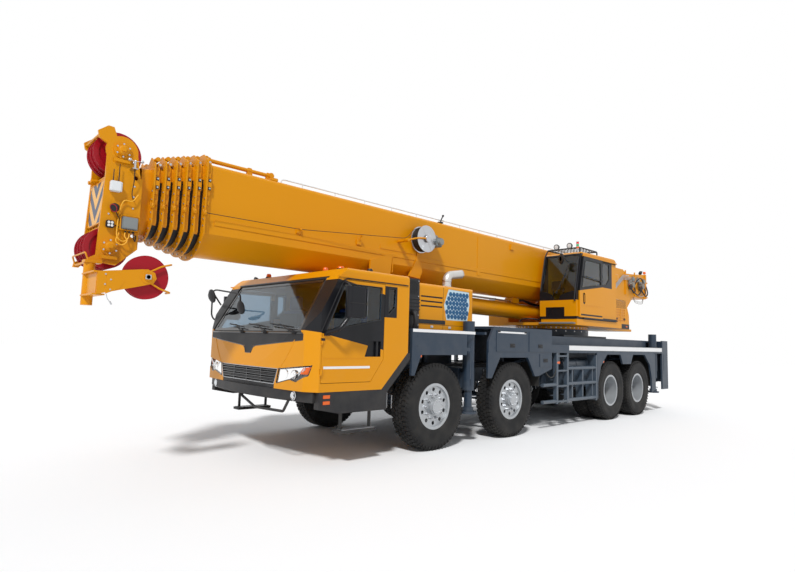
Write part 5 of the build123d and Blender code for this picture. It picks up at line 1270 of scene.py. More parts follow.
@dataclass
class DriverCab:
    """Everything on and in the driver's cab that its solids leave plain."""

    half: float = 1.400
    front: float = 5.060
    corner: tuple[float, float] = (4.985, 1.240)
    flank: float = 4.870
    face: tuple[tuple[float, float], ...] = ((0.90, 5.040), (1.15, 5.060), (1.59, 5.015), (2.30, 4.610), (2.41, 4.480))
    headlamp: tuple[tuple[float, float], ...] = (
        (0.775, 1.148), (0.734, 0.967), (1.000, 1.030), (1.115, 1.008), (1.290, 1.085), (1.330, 1.210)
    )
    door_window: tuple[tuple[float, float], ...] = ((3.930, 1.790), (4.790, 1.620), (4.530, 2.205), (3.930, 2.205))
    quarter: tuple[tuple[float, float], ...] = ((3.680, 1.970), (3.810, 1.850), (3.810, 2.205), (3.680, 2.205))

    def skin(self, y: float, z: float, off: float = 0.0) -> Vector:
        """The cab's front surface at a height and distance across, moved out by off."""
        levels = [level for level, _ in self.face]
        places = [place for _, place in self.face]
        z_in = min(max(z, levels[0]), levels[-1])
        i = max(k for k in range(len(levels) - 1) if levels[k] <= z_in)
        side = places[i] + (places[i + 1] - places[i]) * (z_in - levels[i]) / (levels[i + 1] - levels[i])
        rise = self.front - self.corner[0]
        radius = (self.corner[1] ** 2 + rise**2) / (2 * rise)
        if abs(y) <= self.corner[1]:
            plan = self.front - (radius - math.sqrt(radius**2 - y * y))
        else:
            share = (abs(y) - self.corner[1]) / (self.half - self.corner[1])
            plan = self.corner[0] - share * (self.corner[0] - self.flank)
        return Vector((min(side, plan) + off, y, z))

    def strip(
        self, piece: Piece, low: Callable[[float], float], high: Callable[[float], float], reach: tuple[float, float],
        off: float, depth: float
    ) -> None:
        """A band that hugs the cab's front between two heights.

        Args:
            piece: the piece that it joins.
            low: the lower height for a place across.
            high: the upper height.
            reach: the places across where it starts and ends.
            off: how far its face stands out.
            depth: its thickness.
        """
        count = 40
        rows = []
        for i in range(count + 1):
            y = reach[0] + (reach[1] - reach[0]) * i / count
            rows.append([self.skin(y, low(y) + (high(y) - low(y)) * k / 4, off) for k in range(5)])
        piece.slab(rows, Vector((-depth, 0, 0)))

    def rib(
        self, piece: Piece, y: float, levels: tuple[float, float], offs: tuple[float, float], half: Vector, bevel: float
    ) -> None:
        """A small block that follows the cab's front.

        Args:
            piece: the piece that it joins.
            y: its place across.
            levels: its lower and upper height.
            offs: how far its back and its face stand out from the front.
            half: how far it reaches past those points.
            bevel: the softened edge's width.
        """
        piece.block(self.skin(y, levels[0], offs[0]) - half, self.skin(y, levels[1], offs[1]) + half, bevel)

    def windscreen(self) -> None:
        """The dark printed border, the rubber round it, the wipers and their cowl."""
        with making("screen_border", "chassis", GLOSS_BLACK) as piece:
            self.strip(piece, lambda y: 1.592, lambda y: 1.640, (-1.175, 1.175), -0.0105, 0.003)
            self.strip(piece, lambda y: 2.235, lambda y: 2.288, (-1.125, 1.125), -0.0105, 0.003)
            for sign in SIGNS:
                edge = [[
                    self.skin(sign * (1.17 - 0.05 * t - inward), 1.60 + 0.68 * t, -0.0105)
                    for inward in (0.0, 0.03, 0.06)
                ] for t in (i / 12 for i in range(13))]
                piece.slab(edge, Vector((-0.003, 0, 0)))
        with making("screen_seal", "chassis", SEAL) as piece:
            line = [self.skin(-1.172 + 2.344 * i / 20, 1.598, -0.004) for i in range(21)]
            line += [self.skin(1.122 - 2.244 * i / 20, 2.284, -0.004) for i in range(21)]
            piece.tube(line, 0.009, bend=0.01, sides=8, closed=True)
        with making("wipers", "chassis", BLACK) as piece:
            for pivot, start, end in ((-0.22, -0.68, -0.205), (0.39, -0.12, 0.44), (1.05, 0.44, 1.02)):
                base = self.skin(pivot, 1.588, 0.004)
                piece.rod(base, base + Vector((0.035, 0, 0.012)), 0.026, 0.020, bevel=0.003)
                a, b = self.skin(start, 1.70, 0.030), self.skin(end, 1.655, 0.030)
                middle = (a + b) / 2 + Vector((0.016, 0, 0.012))
                piece.tube([
                    base + Vector((0.03, 0, 0.015)), base.lerp(middle, 0.5) + Vector((0.022, 0, 0.006)), middle
                ], 0.008, bend=0.03, sides=8)
                piece.tube([a, (a + b) / 2 + Vector((0.006, 0, 0.003)), b], 0.0075, bend=0.2, sides=8)
                low_a, low_b = self.skin(start, 1.688, 0.012), self.skin(end, 1.643, 0.012)
                piece.slab([[low_a, a], [low_b, b]], Vector((-0.004, 0, 0)))
        with making("wiper_cowl", "chassis", GLOSS_BLACK) as piece:
            self.strip(piece, lambda y: 1.574, lambda y: 1.592, (-1.20, 1.20), 0.006, 0.010)

    def grille(self) -> None:
        """Dark slats in a bright frame, the dark panel's edge and its creases."""
        with making("grille_slats", "chassis", GLOSS_BLACK) as piece:
            for middle, half in ((1.105, 0.735), (1.037, 0.712), (0.973, 0.685)):
                for shift in (-0.014, 0.014):
                    level, reach = middle + shift, (-half + 0.01, half - 0.01)
                    self.strip(piece, lambda y: level - 0.005, lambda y: level + 0.005, reach, -0.002, 0.028)
            for y in (-0.36, 0.0, 0.36):
                self.rib(piece, y, (0.955, 1.128), (-0.036, -0.012), Vector((0, 0.008, 0)), 0.002)
        with making("grille_frame", "chassis", STEEL, slot="chrome") as piece:
            line = [self.skin(-0.752 + 1.504 * i / 16, 1.142, 0.001) for i in range(17)]
            line += [self.skin(0.686 - 1.372 * i / 16, 0.953, 0.001) for i in range(17)]
            piece.tube(line, 0.0045, bend=0.01, sides=8, closed=True)
        with making("panel_edge", "chassis", GLOSS_BLACK) as piece:
            self.strip(
                piece, lambda y: self.notch(y) - 0.004, lambda y: self.notch(y) + 0.006, (-1.205, 1.205), 0.003, 0.006
            )
        for piece, sign in both("panel_crease", "chassis", YELLOW):
            piece.tube([
                self.skin(sign * 1.06, 1.50, -0.003), self.skin(sign * 0.93, 1.30, -0.002),
                self.skin(sign * 0.80, 1.16, -0.003)
            ], 0.008, bend=0.1, sides=10)

    @staticmethod
    def notch(y: float) -> float:
        """The lower edge of the dark panel."""
        a = abs(y)
        if a < 0.085:
            return 1.314
        if a < 0.13:
            return 1.314 + (a - 0.085) / 0.045 * 0.092
        return 1.406 + (a - 0.13) / 1.085 * 0.095

    def headlamps(self) -> None:
        """Clear covers over bright bowls, projector lenses and an amber corner, in place of the plain lens."""
        bowls = Piece("headlamp_bowls", "chassis", LENS)
        covers = Piece("headlamp_covers", "chassis", CLEAR)
        backs = Piece("headlamp_backs", "chassis", GLOSS_BLACK)
        ambers = Piece("headlamp_ambers", "chassis", AMBER)
        for sign in SIGNS:
            outline = [(sign * y, z) for y, z in self.headlamp]
            covers.sheet([self.skin(y, z, -0.004) for y, z in outline], Vector((-0.003, 0, 0)))
            backs.sheet([self.skin(y, z, -0.033) for y, z in outline], Vector((-0.004, 0, 0)))
            backs.tube([self.skin(y, z, 0.000) for y, z in outline], 0.006, bend=0.02, sides=8, closed=True)
            for y, z, radius in ((0.885, 1.085, 0.056), (1.050, 1.090, 0.052)):
                centre = self.skin(sign * y, z, -0.022)
                bowls.turned([
                    (radius, 0.012), (radius, 0.006), (radius * 0.75, -0.006), (0.012, -0.009), (0.012, -0.011),
                    (radius * 0.78, -0.009), (radius + 0.004, 0.006), (radius + 0.004, 0.012)
                ], centre, (1, 0, 0), 32)
                bowls.ball(centre + Vector((-0.004, 0, 0)), radius * 0.42, (0.4, 1, 1))
            for i in range(7):
                y, levels = 1.135 + 0.018 * i, (1.075 + 0.012 * i, 1.115 + 0.012 * i)
                self.rib(bowls, sign * y, levels, (-0.028, -0.016), Vector((0, 0.005, 0)), 0.002)
            ambers.sheet([
                self.skin(sign * y, z, -0.012) for y, z in ((1.17, 1.10), (1.28, 1.10), (1.31, 1.19), (1.22, 1.175))
            ], Vector((-0.006, 0, 0)))
            for i in range(12):
                y, level = 0.79 + 0.03 * i, 1.145 + 0.004 * i
                self.rib(bowls, sign * y, (level, level), (-0.020, -0.012), Vector((0, 0.004, 0.006)), 0.001)
        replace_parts(bowls.done(), "lamps")
        for piece in (covers, backs, ambers):
            piece.done()
        for piece, sign in both("fog_lamp_rings", "chassis", CHROME):
            piece.turned([
                (0.047, 0.0), (0.056, 0.002), (0.058, 0.012), (0.050, 0.014), (0.047, 0.008)
            ], (4.962, sign * 1.03, 0.84), (1, 0, 0), 36)
            piece.turned([
                (0.044, -0.004), (0.020, -0.020), (0.010, -0.022), (0.010, -0.024), (0.045, -0.008)
            ], (4.980, sign * 1.03, 0.84), (1, 0, 0), 36)
        for piece, sign in both("fog_lamp_glass", "chassis", CLEAR):
            piece.turned([
                (0.0, 0.006), (0.03, 0.004), (0.046, 0.0), (0.046, -0.003), (0.0, 0.001)
            ], (4.982, sign * 1.03, 0.84), (1, 0, 0), 32)

    def beacons(self) -> None:
        """The beacons, the horn and the spotlight on the roof, and its gutters."""
        roof = 2.410
        bases = Piece("roof_lamp_bases", "chassis", BLACK)
        domes = Piece("roof_beacons", "chassis", AMBER)
        for x, y, radius, height in (
            (4.440, -0.610, 0.046, 0.066), (4.370, 0.740, 0.046, 0.066), (4.405, 1.120, 0.052, 0.048)
        ):
            bases.turned(disc(radius, 0.0, 0.012, radius - 0.006, 0.018), (x, y, roof), (0, 0, 1), 32)
            domes.turned([
                (0.0, 0.018), (radius - 0.008, 0.018), (radius - 0.010, height * 0.7), (radius - 0.020, height - 0.003),
                (0.0, height)
            ], (x, y, roof), (0, 0, 1), 32)
            for i in range(6):
                angle = 2 * math.pi * i / 6
                out = Vector((math.cos(angle), math.sin(angle), 0.0))
                low, high = Vector((x, y, roof + 0.02)), Vector((x, y, roof + height * 0.65))
                domes.rod(low + out * (radius - 0.009), high + out * (radius - 0.011), 0.002, sides=8)
        bases.turned([
            (0.0, 0.0), (0.042, 0.0), (0.042, 0.030), (0.030, 0.052), (0.0, 0.055)
        ], (3.99, 1.21, roof), (0, 0, 1), 32)
        bases.block((4.27, -1.27, roof), (4.33, -1.21, roof + 0.02), 0.003)
        bases.turned([
            (0.0, -0.03), (0.020, -0.03), (0.034, 0.0), (0.034, 0.03), (0.0, 0.03)
        ], (4.30, -1.24, roof + 0.035), (1, 0, 0.1), 32)
        bases.done()
        domes.done()
        for piece, sign in both("roof_gutters", "chassis", BLACK):
            piece.tube([
                (3.46, sign * 1.408, 2.272), (4.52, sign * 1.408, 2.272), (4.585, sign * 1.405, 2.20),
                (4.862, sign * 1.402, 1.61)
            ], 0.006, bend=0.03, sides=8)

    def doors(self) -> None:
        """Window rubbers, the mirrors' glasses and arms, and marker strips on each door."""
        for sign, side in SIDES:
            body = f"cab_door_{side}"
            with making(f"door_seals_{side}", body, SEAL) as piece:
                piece.tube([(x, sign * 1.399, z) for x, z in self.door_window], 0.008, bend=0.03, sides=8, closed=True)
            with making(f"mirror_trim_{side}", body, BLACK) as piece:
                y = sign * 1.600
                piece.block((4.378, y - 0.050, 1.965), (4.394, y + 0.050, 2.140), 0.006)
                piece.block((4.378, y - 0.050, 1.800), (4.394, y + 0.050, 1.950), 0.006)
                piece.tube([(4.60, y, 2.13), (4.60, sign * 1.55, 2.19), (4.545, sign * 1.415, 2.215)], 0.013, bend=0.05)
                piece.rod((4.545, sign * 1.402, 2.215), (4.545, sign * 1.425, 2.215), 0.026, bevel=0.003)
                piece.block((4.400, y - 0.052, 1.953), (4.64, y + 0.0575 * sign + 0.0005, 1.962), 0.002)
            with making(f"mirror_glass_{side}", body, CHROME) as piece:
                piece.block((4.372, y - 0.042, 1.975), (4.380, y + 0.042, 2.130), 0.004)
                piece.block((4.372, y - 0.042, 1.812), (4.380, y + 0.042, 1.940), 0.004)
            with making(f"door_strip_{side}", body, WHITE_TAPE, slot="paint_yellow") as piece:
                piece.block((4.10, sign * 1.4003, 1.170), (4.815, sign * 1.4018, 1.200), 0.0004)
            with making(f"door_edges_{side}", body, SEAL) as piece:
                corners = [
                    (3.885, 1.285), (4.090, 1.012), (4.838, 1.012), (4.838, 1.590), (4.552, 2.246), (3.885, 2.246)
                ]
                piece.tube([(x, sign * 1.385, z) for x, z in corners], 0.004, bend=0.02, sides=6, closed=True)
            with making(f"door_handle_{side}", body, BLACK) as piece:
                piece.block((3.975, sign * 1.392, 1.330), (3.996, sign * 1.400, 1.500), 0.004)
        for piece, sign in both("quarter_seals", "chassis", SEAL):
            piece.tube([(x, sign * 1.399, z) for x, z in self.quarter], 0.008, bend=0.02, sides=8, closed=True)

    def steps(self) -> None:
        """Tread bars on the steps, corner markers and the front mirrors with their arms."""
        for piece, sign in both("step_treads", "chassis", STEEL):
            for x, y, z, length in ((4.22, 1.300, 0.700, 0.62), (4.22, 1.290, 0.410, 0.56)):
                for i in range(9):
                    edge = sign * (y - 0.072 + 0.018 * i)
                    piece.block(
                        (x - length / 2 + 0.02, edge - 0.004, z + 0.018),
                        (x + length / 2 - 0.02, edge + 0.004, z + 0.023), 0.001
                    )
        for piece, sign in both("corner_markers", "chassis", AMBER):
            for z in (0.845, 0.775):
                piece.block((4.70, sign * 1.397, z - 0.020), (4.80, sign * 1.403, z + 0.020), 0.003)
        with making("front_mirrors", "chassis", BLACK) as piece:
            piece.tube([
                (4.80, -1.395, 2.00), (4.93, -1.44, 2.20), (4.97, -1.25, 2.22), (4.97, -0.44, 2.12), (4.97, -0.44, 1.98)
            ], 0.012, bend=0.10)
            piece.tube([(4.80, -1.398, 1.72), (4.92, -1.45, 1.80), (4.94, -1.42, 2.18)], 0.012, bend=0.08)
            for y, z, radius in ((-1.40, 2.13, 0.105), (-0.44, 1.93, 0.095)):
                piece.turned([
                    (0.0, 0.045), (radius * 0.6, 0.038), (radius, 0.010), (radius, -0.006), (0.0, -0.006)
                ], (4.95, y, z), (1, 0, -0.25), 36)

    def cabin(self) -> None:
        """Two cloth seats, the dash's cowl and dials, and the steering wheel's hub."""
        for label, y in (("left", 0.72), ("right", -0.72)):
            seat(f"driver_seat_{label}", "chassis", (4.18, y, 1.33), 0.52, 0.50, 1.0, SEAT)
        with making("dash_cowl", "chassis", INTERIOR) as piece:
            piece.plate([
                (4.68, 1.50), (4.68, 1.565), (4.74, 1.60), (4.90, 1.585), (4.91, 1.50)
            ], Axis.Y, -1.055, 1.055, 0.015)
            piece.plate([(4.64, 1.54), (4.70, 1.68), (4.82, 1.66), (4.82, 1.54)], Axis.Y, 0.50, 0.94, 0.02)
            for y in (-0.45, -0.2, 0.05):
                piece.block((4.675, y - 0.09, 1.36), (4.69, y + 0.09, 1.47), 0.006)
        with making("wheel_rim_grip", "chassis", BLACK, slot="interior") as piece:
            piece.ball((4.500, 0.72, 1.545), 0.065, (0.5, 1, 0.9))
        with making("dash_dials", "chassis", WHITE_BOX, slot="interior") as piece:
            for y in (0.61, 0.72, 0.83):
                piece.turned([
                    (0.0, 0.0), (0.040, 0.0), (0.042, -0.004), (0.0, -0.004)
                ], (4.655, y, 1.60), (-1, 0, 0.42), 28)

    def build(self) -> None:
        """Makes every piece of the cab."""
        self.windscreen()
        self.grille()
        self.headlamps()
        self.beacons()
        self.doors()
        self.steps()
        self.cabin()
        log.info("driver's cab")


def seat(name: str, body: str, place: Point, width: float, depth: float, height: float, finish: Finish) -> None:
    """A padded seat with a cushion, a back, bolsters and piping, facing forward.

    Args:
        name: the start of its pieces' names.
        body: the body that it rides on.
        place: the middle of the cushion's underside.
        width: its width across.
        depth: its cushion's depth.
        height: the back's height above the cushion.
        finish: its cloth.
    """
    x, y, z = place
    shape = bmesh.new()
    for low, high, puff in (
        ((x - depth / 2, y - width / 2, z), (x + depth / 2, y + width / 2, z + 0.11), 0.018),
        (
            (x - depth / 2 - 0.13, y - width / 2, z + 0.05), (x - depth / 2 - 0.01, y + width / 2, z + height * 0.62),
            0.020
        ),
        (
            (x - depth / 2 - 0.12, y - width / 4, z + height * 0.64),
            (x - depth / 2 - 0.03, y + width / 4, z + height * 0.84), 0.016
        ),
    ):
        pad = bmesh.new()
        bmesh.ops.create_cube(pad, size=1.0)
        bmesh.ops.subdivide_edges(pad, edges=pad.edges, cuts=11, use_grid_fill=True)
        a, b = Vector(low), Vector(high)
        size = b - a
        for vert in pad.verts:
            local = vert.co * 2
            bulge = (1 - local.x**2) * (1 - local.y**2) if abs(local.z) > 0.99 else 0.0
            bulge = max(bulge, (1 - local.y**2) * (1 - local.z**2) if abs(local.x) > 0.99 else 0.0)
            for axis in range(3):
                others = [abs(local[k]) for k in range(3) if k != axis]
                pinch = 1 - 0.05 * max(others) ** 6
                local[axis] *= pinch
            groove = 0.010 * math.exp(-((abs(local.y) - 0.55) / 0.05) ** 2)
            groove += 0.006 * math.exp(-((abs(local.y) - 0.18) / 0.04) ** 2)
            outward = Vector((local.x if abs(local.x) > 0.9 else 0.0, 0.0, local.z if abs(local.z) > 0.9 else 0.0))
            inner = Vector((local.x * size.x / 2, local.y * size.y / 2, local.z * size.z / 2))
            vert.co = (a + b) / 2 + inner + outward * (bulge * puff - groove)
        sharp = [e for e in pad.edges if len(e.link_faces) == 2 and e.calc_face_angle(0.0) > 0.9]
        bmesh.ops.bevel(pad, geom=sharp, offset=0.018, segments=3, affect="EDGES", clamp_overlap=True)
        mesh = bpy.data.meshes.new("pad")
        pad.to_mesh(mesh)
        pad.free()
        shape.from_mesh(mesh)
        bpy.data.meshes.remove(mesh)
    bmesh.ops.recalc_face_normals(shape, faces=shape.faces)
    mesh = bpy.data.meshes.new(name)
    shape.to_mesh(mesh)
    shape.free()
    dress(mesh, name, body, finish, smooth=1.2)
    with making(name + "_piping", body, BLACK, slot="interior") as piece:
        top, back, front = z + 0.108, x - depth / 2 + 0.02, x + depth / 2 - 0.012
        near, far = y - width / 2 + 0.012, y + width / 2 - 0.012
        ring = [(back, near, top), (front, near, top), (front, far, top), (back, far, top)]
        piece.tube(ring, 0.005, bend=0.05, sides=8, closed=True)


# ---------------------------------------------------------------- engine bay


@dataclass
class EngineBay:
    """The hood's patterned side panels and fasteners, the exhaust stack and the intake duct."""

    hood_y: float = 1.145
    panel: tuple[tuple[float, float], ...] = (
        (2.430, 2.090), (2.370, 1.860), (1.860, 1.860), (1.810, 2.120), (1.830, 2.330), (2.330, 2.340)
    )
    cell: float = 0.046

    def inside(self, u: float, v: float, margin: float) -> bool:
        """Whether a point is inside the side panel by a margin."""
        corners = self.panel
        for i in range(len(corners)):
            a, b = Vector(corners[i]), Vector(corners[(i + 1) % len(corners)])
            edge = (b - a).normalized()
            if edge.cross(Vector((u, v)) - a) > -margin:
                return False
        return True

    def honeycomb(self) -> None:
        """A comb of blue cells on a pale ground, whose cells shrink towards the front."""
        for piece, sign in both("comb_ground", "chassis", CELL_LINE):
            inner = shrink_outline(self.panel, 0.003)
            piece.plate(inner, Axis.Y, sign * (self.hood_y - 0.0115), sign * (self.hood_y - 0.006), 0.001)
        for label, low, high, share in (
            ("large", 1.79, 2.02, 0.93), ("middle", 2.02, 2.22, 0.90), ("small", 2.22, 2.44, 0.86)
        ):
            places = []
            rows = int(0.6 / (self.cell * 1.5)) + 2
            for row in range(rows):
                for column in range(16):
                    u = 1.80 + (column + 0.5 * (row % 2)) * self.cell * math.sqrt(3)
                    v = 1.85 + row * self.cell * 1.5
                    if low <= u < high and self.inside(u, v, self.cell * 0.75):
                        places += [((u, sign * (self.hood_y - 0.005), v), (0.0, float(sign), 0.0)) for sign in SIGNS]
            bolts(f"comb_cells_{label}", "chassis", CELL_BLUE, places, self.cell * share, 0.005)

    def hood(self) -> None:
        """The black strip and louvre shadows of the vents, the seams and the latches."""
        for piece, sign in both("hood_strip", "chassis", BLACK):
            piece.block((2.40, sign * self.hood_y, 1.790), (2.98, sign * (self.hood_y + 0.006), 1.850), 0.002)
            for z in (2.050, 2.120, 2.190):
                piece.block(
                    (2.462, sign * (self.hood_y - 0.0135), z - 0.0115),
                    (2.938, sign * (self.hood_y - 0.010), z + 0.0115), 0.001
                )
        for piece, sign in both("hood_seams", "chassis", SEAL):
            piece.block(
                (2.445, sign * (self.hood_y - 0.001), 1.705), (2.451, sign * (self.hood_y + 0.0008), 2.350), 0.0004
            )
            piece.block(
                (1.72, sign * (self.hood_y - 0.001), 1.776), (2.98, sign * (self.hood_y + 0.0008), 1.781), 0.0004
            )
        for piece, sign in both("hood_latches", "chassis", STEEL):
            for x in (1.95, 2.30, 2.70):
                piece.block(
                    (x - 0.03, sign * self.hood_y, 1.730), (x + 0.03, sign * (self.hood_y + 0.010), 1.765), 0.004
                )
                piece.rod(
                    (x, sign * (self.hood_y + 0.008), 1.747), (x, sign * (self.hood_y + 0.016), 1.747), 0.012,
                    bevel=0.002
                )

    def exhaust(self) -> None:
        """A bright stack with its clamps, over the plain pipe."""
        x, y, radius = 1.985, 0.800, 0.0712
        mouth, ring = Vector((1.635, y, 2.670)), Vector((-0.350, 0, 0.060)).normalized()
        with making("exhaust_stack", "chassis", EXHAUST) as piece:
            for z in (2.43, 2.52):
                piece.turned(hoop(radius, radius + 0.007, -0.012, 0.012), (x, y, z), (0, 0, 1), 40)
            piece.rod((x + 0.07, y + 0.02, 2.43), (x + 0.10, y + 0.02, 2.43), 0.007, sides=10)
            piece.turned(hoop(radius, radius + 0.004, -0.01, 0.0), mouth - ring * 0.001, ring, 40)
            piece.turned(hoop(radius + 0.003, radius + 0.05, 0.0, 0.005), (x, y, 2.391), (0, 0, 1), 40)
        with making("exhaust_mouth", "chassis", SEAL) as piece:
            piece.rod(mouth - ring * 0.004, mouth + ring * 0.0008, 0.062, sides=32)

    def duct(self) -> None:
        """Corrugation rings and fasteners on the intake behind the cab."""
        with making("duct_rings", "chassis", BLACK) as piece:
            for z in (1.98, 2.03, 2.08, 2.13):
                loop = [(3.028, 0.858, z), (3.312, 0.858, z), (3.312, 1.202, z), (3.028, 1.202, z)]
                piece.tube(loop, 0.011, bend=0.04, sides=10, closed=True)
            for i in range(11):
                z = 2.20 + 0.018 * i
                piece.block((3.060, 1.199, z), (3.280, 1.207, z + 0.007), 0.001)
            piece.tube([
                (3.17, 1.20, 1.93), (3.17, 1.26, 1.93), (3.17, 1.29, 1.80), (3.17, 1.25, 1.71)
            ], 0.035, bend=0.05, sides=20)
        bolts(
            "duct_bolts", "chassis", STEEL,
            [((x, 1.2025, z), (0.0, 1.0, 0.0)) for x in (3.05, 3.29) for z in (1.76, 1.90, 2.17, 2.39)], 0.009, 0.008
        )

    def build(self) -> None:
        """Makes every piece of the engine bay."""
        self.honeycomb()
        self.hood()
        self.exhaust()
        self.duct()
        log.info("engine bay")


# ---------------------------------------------------------------- boom


@dataclass
class Boom:
    """The fittings along the boom: reel, rail, welds, and the collars' rollers, lugs and bolts."""

    half: float = 0.400
    top: float = 3.600
    collar: float = 5.950
    pitch: float = 0.110
    step: float = 0.030
    sections: int = 7

    def body(self, number: int) -> str:
        """The body of a section by its number."""
        return "boom_base" if number == 1 else f"boom_section_{number}"

    def reel(self) -> None:
        """A bright cable reel with wound cable, a motor and a guide arm on the left side."""
        x, z = 2.270, 3.200
        with making("reel_cable", "boom_base", BLACK) as piece:
            for i in range(6):
                piece.turned([
                    (0.150, -0.009), (0.204, -0.009), (0.2065, 0.0), (0.204, 0.009), (0.150, 0.009)
                ], (x, 0.474 + 0.0225 * i, z), (0, 1, 0), 56)
        with making("reel_cheeks", "boom_base", STEEL) as piece:
            for level in (0.4585, 0.6015):
                piece.turned([
                    (0.030, -0.002), (0.218, -0.002), (0.221, 0.0), (0.218, 0.002), (0.030, 0.002)
                ], (x, level, z), (0, 1, 0), 56)
                for i in range(6):
                    angle = math.pi * i / 3
                    out = Vector((math.cos(angle), 0, math.sin(angle)))
                    centre = Vector((x, level, z))
                    piece.rod(centre + out * 0.055, centre + out * 0.205, 0.006, sides=8)
            piece.turned([
                (0.0, 0.0), (0.064, 0.0), (0.064, 0.020), (0.045, 0.032), (0.0, 0.034)
            ], (x, 0.6305, z), (0, 1, 0), 36)
        with making("reel_motor", "boom_base", GREY_BOX) as piece:
            piece.block((1.895, 0.45, 3.112), (2.045, 0.606, 3.268), 0.012)
            piece.rod((1.97, 0.60, 3.19), (1.97, 0.665, 3.19), 0.058, bevel=0.008)
            piece.rod((1.97, 0.53, 3.26), (1.97, 0.53, 3.31), 0.022, bevel=0.004)
        with making("reel_arm", "boom_base", YELLOW) as piece:
            piece.tube([(2.27, 0.632, 3.20), (2.50, 0.640, 3.18), (2.73, 0.620, 3.11)], 0.014, bend=0.08)
            piece.rod((2.73, 0.575, 3.11), (2.73, 0.645, 3.11), 0.028, bevel=0.005)
            piece.block((2.70, 0.41, 3.09), (2.76, 0.58, 3.13), 0.006)
        with making("reel_lead", "boom_base", BLACK) as piece:
            piece.tube([
                (2.27, 0.53, 3.405), (2.52, 0.545, 3.33), (2.73, 0.60, 3.138), (4.60, 0.452, 2.992),
                (5.955, 0.452, 2.975)
            ], 0.004, bend=0.10, sides=8)
        bolts("reel_bolts", "boom_base", STEEL, round_axle(x, 0.6325, z, 0.048, 6), 0.008, 0.010)

    def rail(self) -> None:
        """The guard rail on the top's left edge, the rod behind the collars, cable guides, a lever and welds."""
        with making("boom_rail", "boom_base", WHITE_BOX, slot="paint_yellow") as piece:
            piece.tube([
                (4.85, 0.30, 3.602), (4.85, 0.30, 3.655), (4.80, 0.30, 3.668), (-3.30, 0.30, 3.668),
                (-3.35, 0.30, 3.655), (-3.35, 0.30, 3.602)
            ], 0.010, bend=0.05, sides=10)
            for i in range(14):
                x = -2.9 + 0.57 * i
                piece.rod((x, 0.30, 3.598), (x, 0.30, 3.664), 0.007, sides=10)
                piece.block((x - 0.020, 0.275, 3.599), (x + 0.020, 0.325, 3.606), 0.002)
        with making("boom_top_rod", "boom_base", YELLOW) as piece:
            piece.rod((4.98, 0.245, 3.685), (5.90, 0.245, 3.685), 0.026, sides=24)
            for x in (5.02, 5.30, 5.86):
                piece.plate([
                    (x - 0.045, 3.595), (x + 0.045, 3.595), (x + 0.028, 3.72), (x - 0.028, 3.72)
                ], Axis.Y, 0.225, 0.265, 0.004)
            piece.block((4.93, 0.20, 3.598), (5.04, 0.36, 3.640), 0.006)
            piece.rod((4.99, 0.205, 3.685), (4.99, 0.285, 3.685), 0.040, bevel=0.004)
            for x in (4.60, 3.55):
                piece.block((x - 0.045, 0.398, 2.935), (x + 0.045, 0.425, 3.015), 0.004)
                piece.turned(
                    [(0.008, -0.012), (0.018, -0.012), (0.021, 0.0), (0.018, 0.012), (0.008, 0.012)],
                    (x, 0.445 + 0.052 * (4.60 - x) / 1.87, 2.992 + 0.078 * (4.60 - x)), (1, 0, 0), 20
                )
                piece.rod(
                    (x, 0.42, 2.985), (x, 0.438 + 0.052 * (4.60 - x) / 1.87, 2.99 + 0.078 * (4.60 - x)), 0.007, sides=12
                )
            piece.plate([(-0.46, 3.40), (-0.34, 3.40), (-0.36, 3.52), (-0.44, 3.52)], Axis.Y, 0.395, 0.430, 0.006)
        with making("boom_lever", "boom_base", BLACK) as piece:
            piece.block((1.63, 0.30, 3.598), (1.71, 0.38, 3.622), 0.004)
            piece.tube([(1.67, 0.34, 3.61), (1.64, 0.34, 3.68), (1.60, 0.34, 3.74)], 0.011, bend=0.03)
            piece.ball((1.60, 0.34, 3.745), 0.020)
        for piece, sign in both("boom_welds", "boom_base", YELLOW):
            for z in (2.846, 2.919):
                piece.rod((-4.28, sign * 0.4005, z), (5.78, sign * 0.4005, z), 0.0035, sides=8)
            for x in (0.596, 0.694):
                piece.rod((x, sign * 0.4005, 2.95), (x, sign * 0.4005, 3.50), 0.0035, sides=8)
            piece.rod((3.31, sign * 0.401, 2.74), (2.85, sign * 0.401, 2.912), 0.004, sides=8)

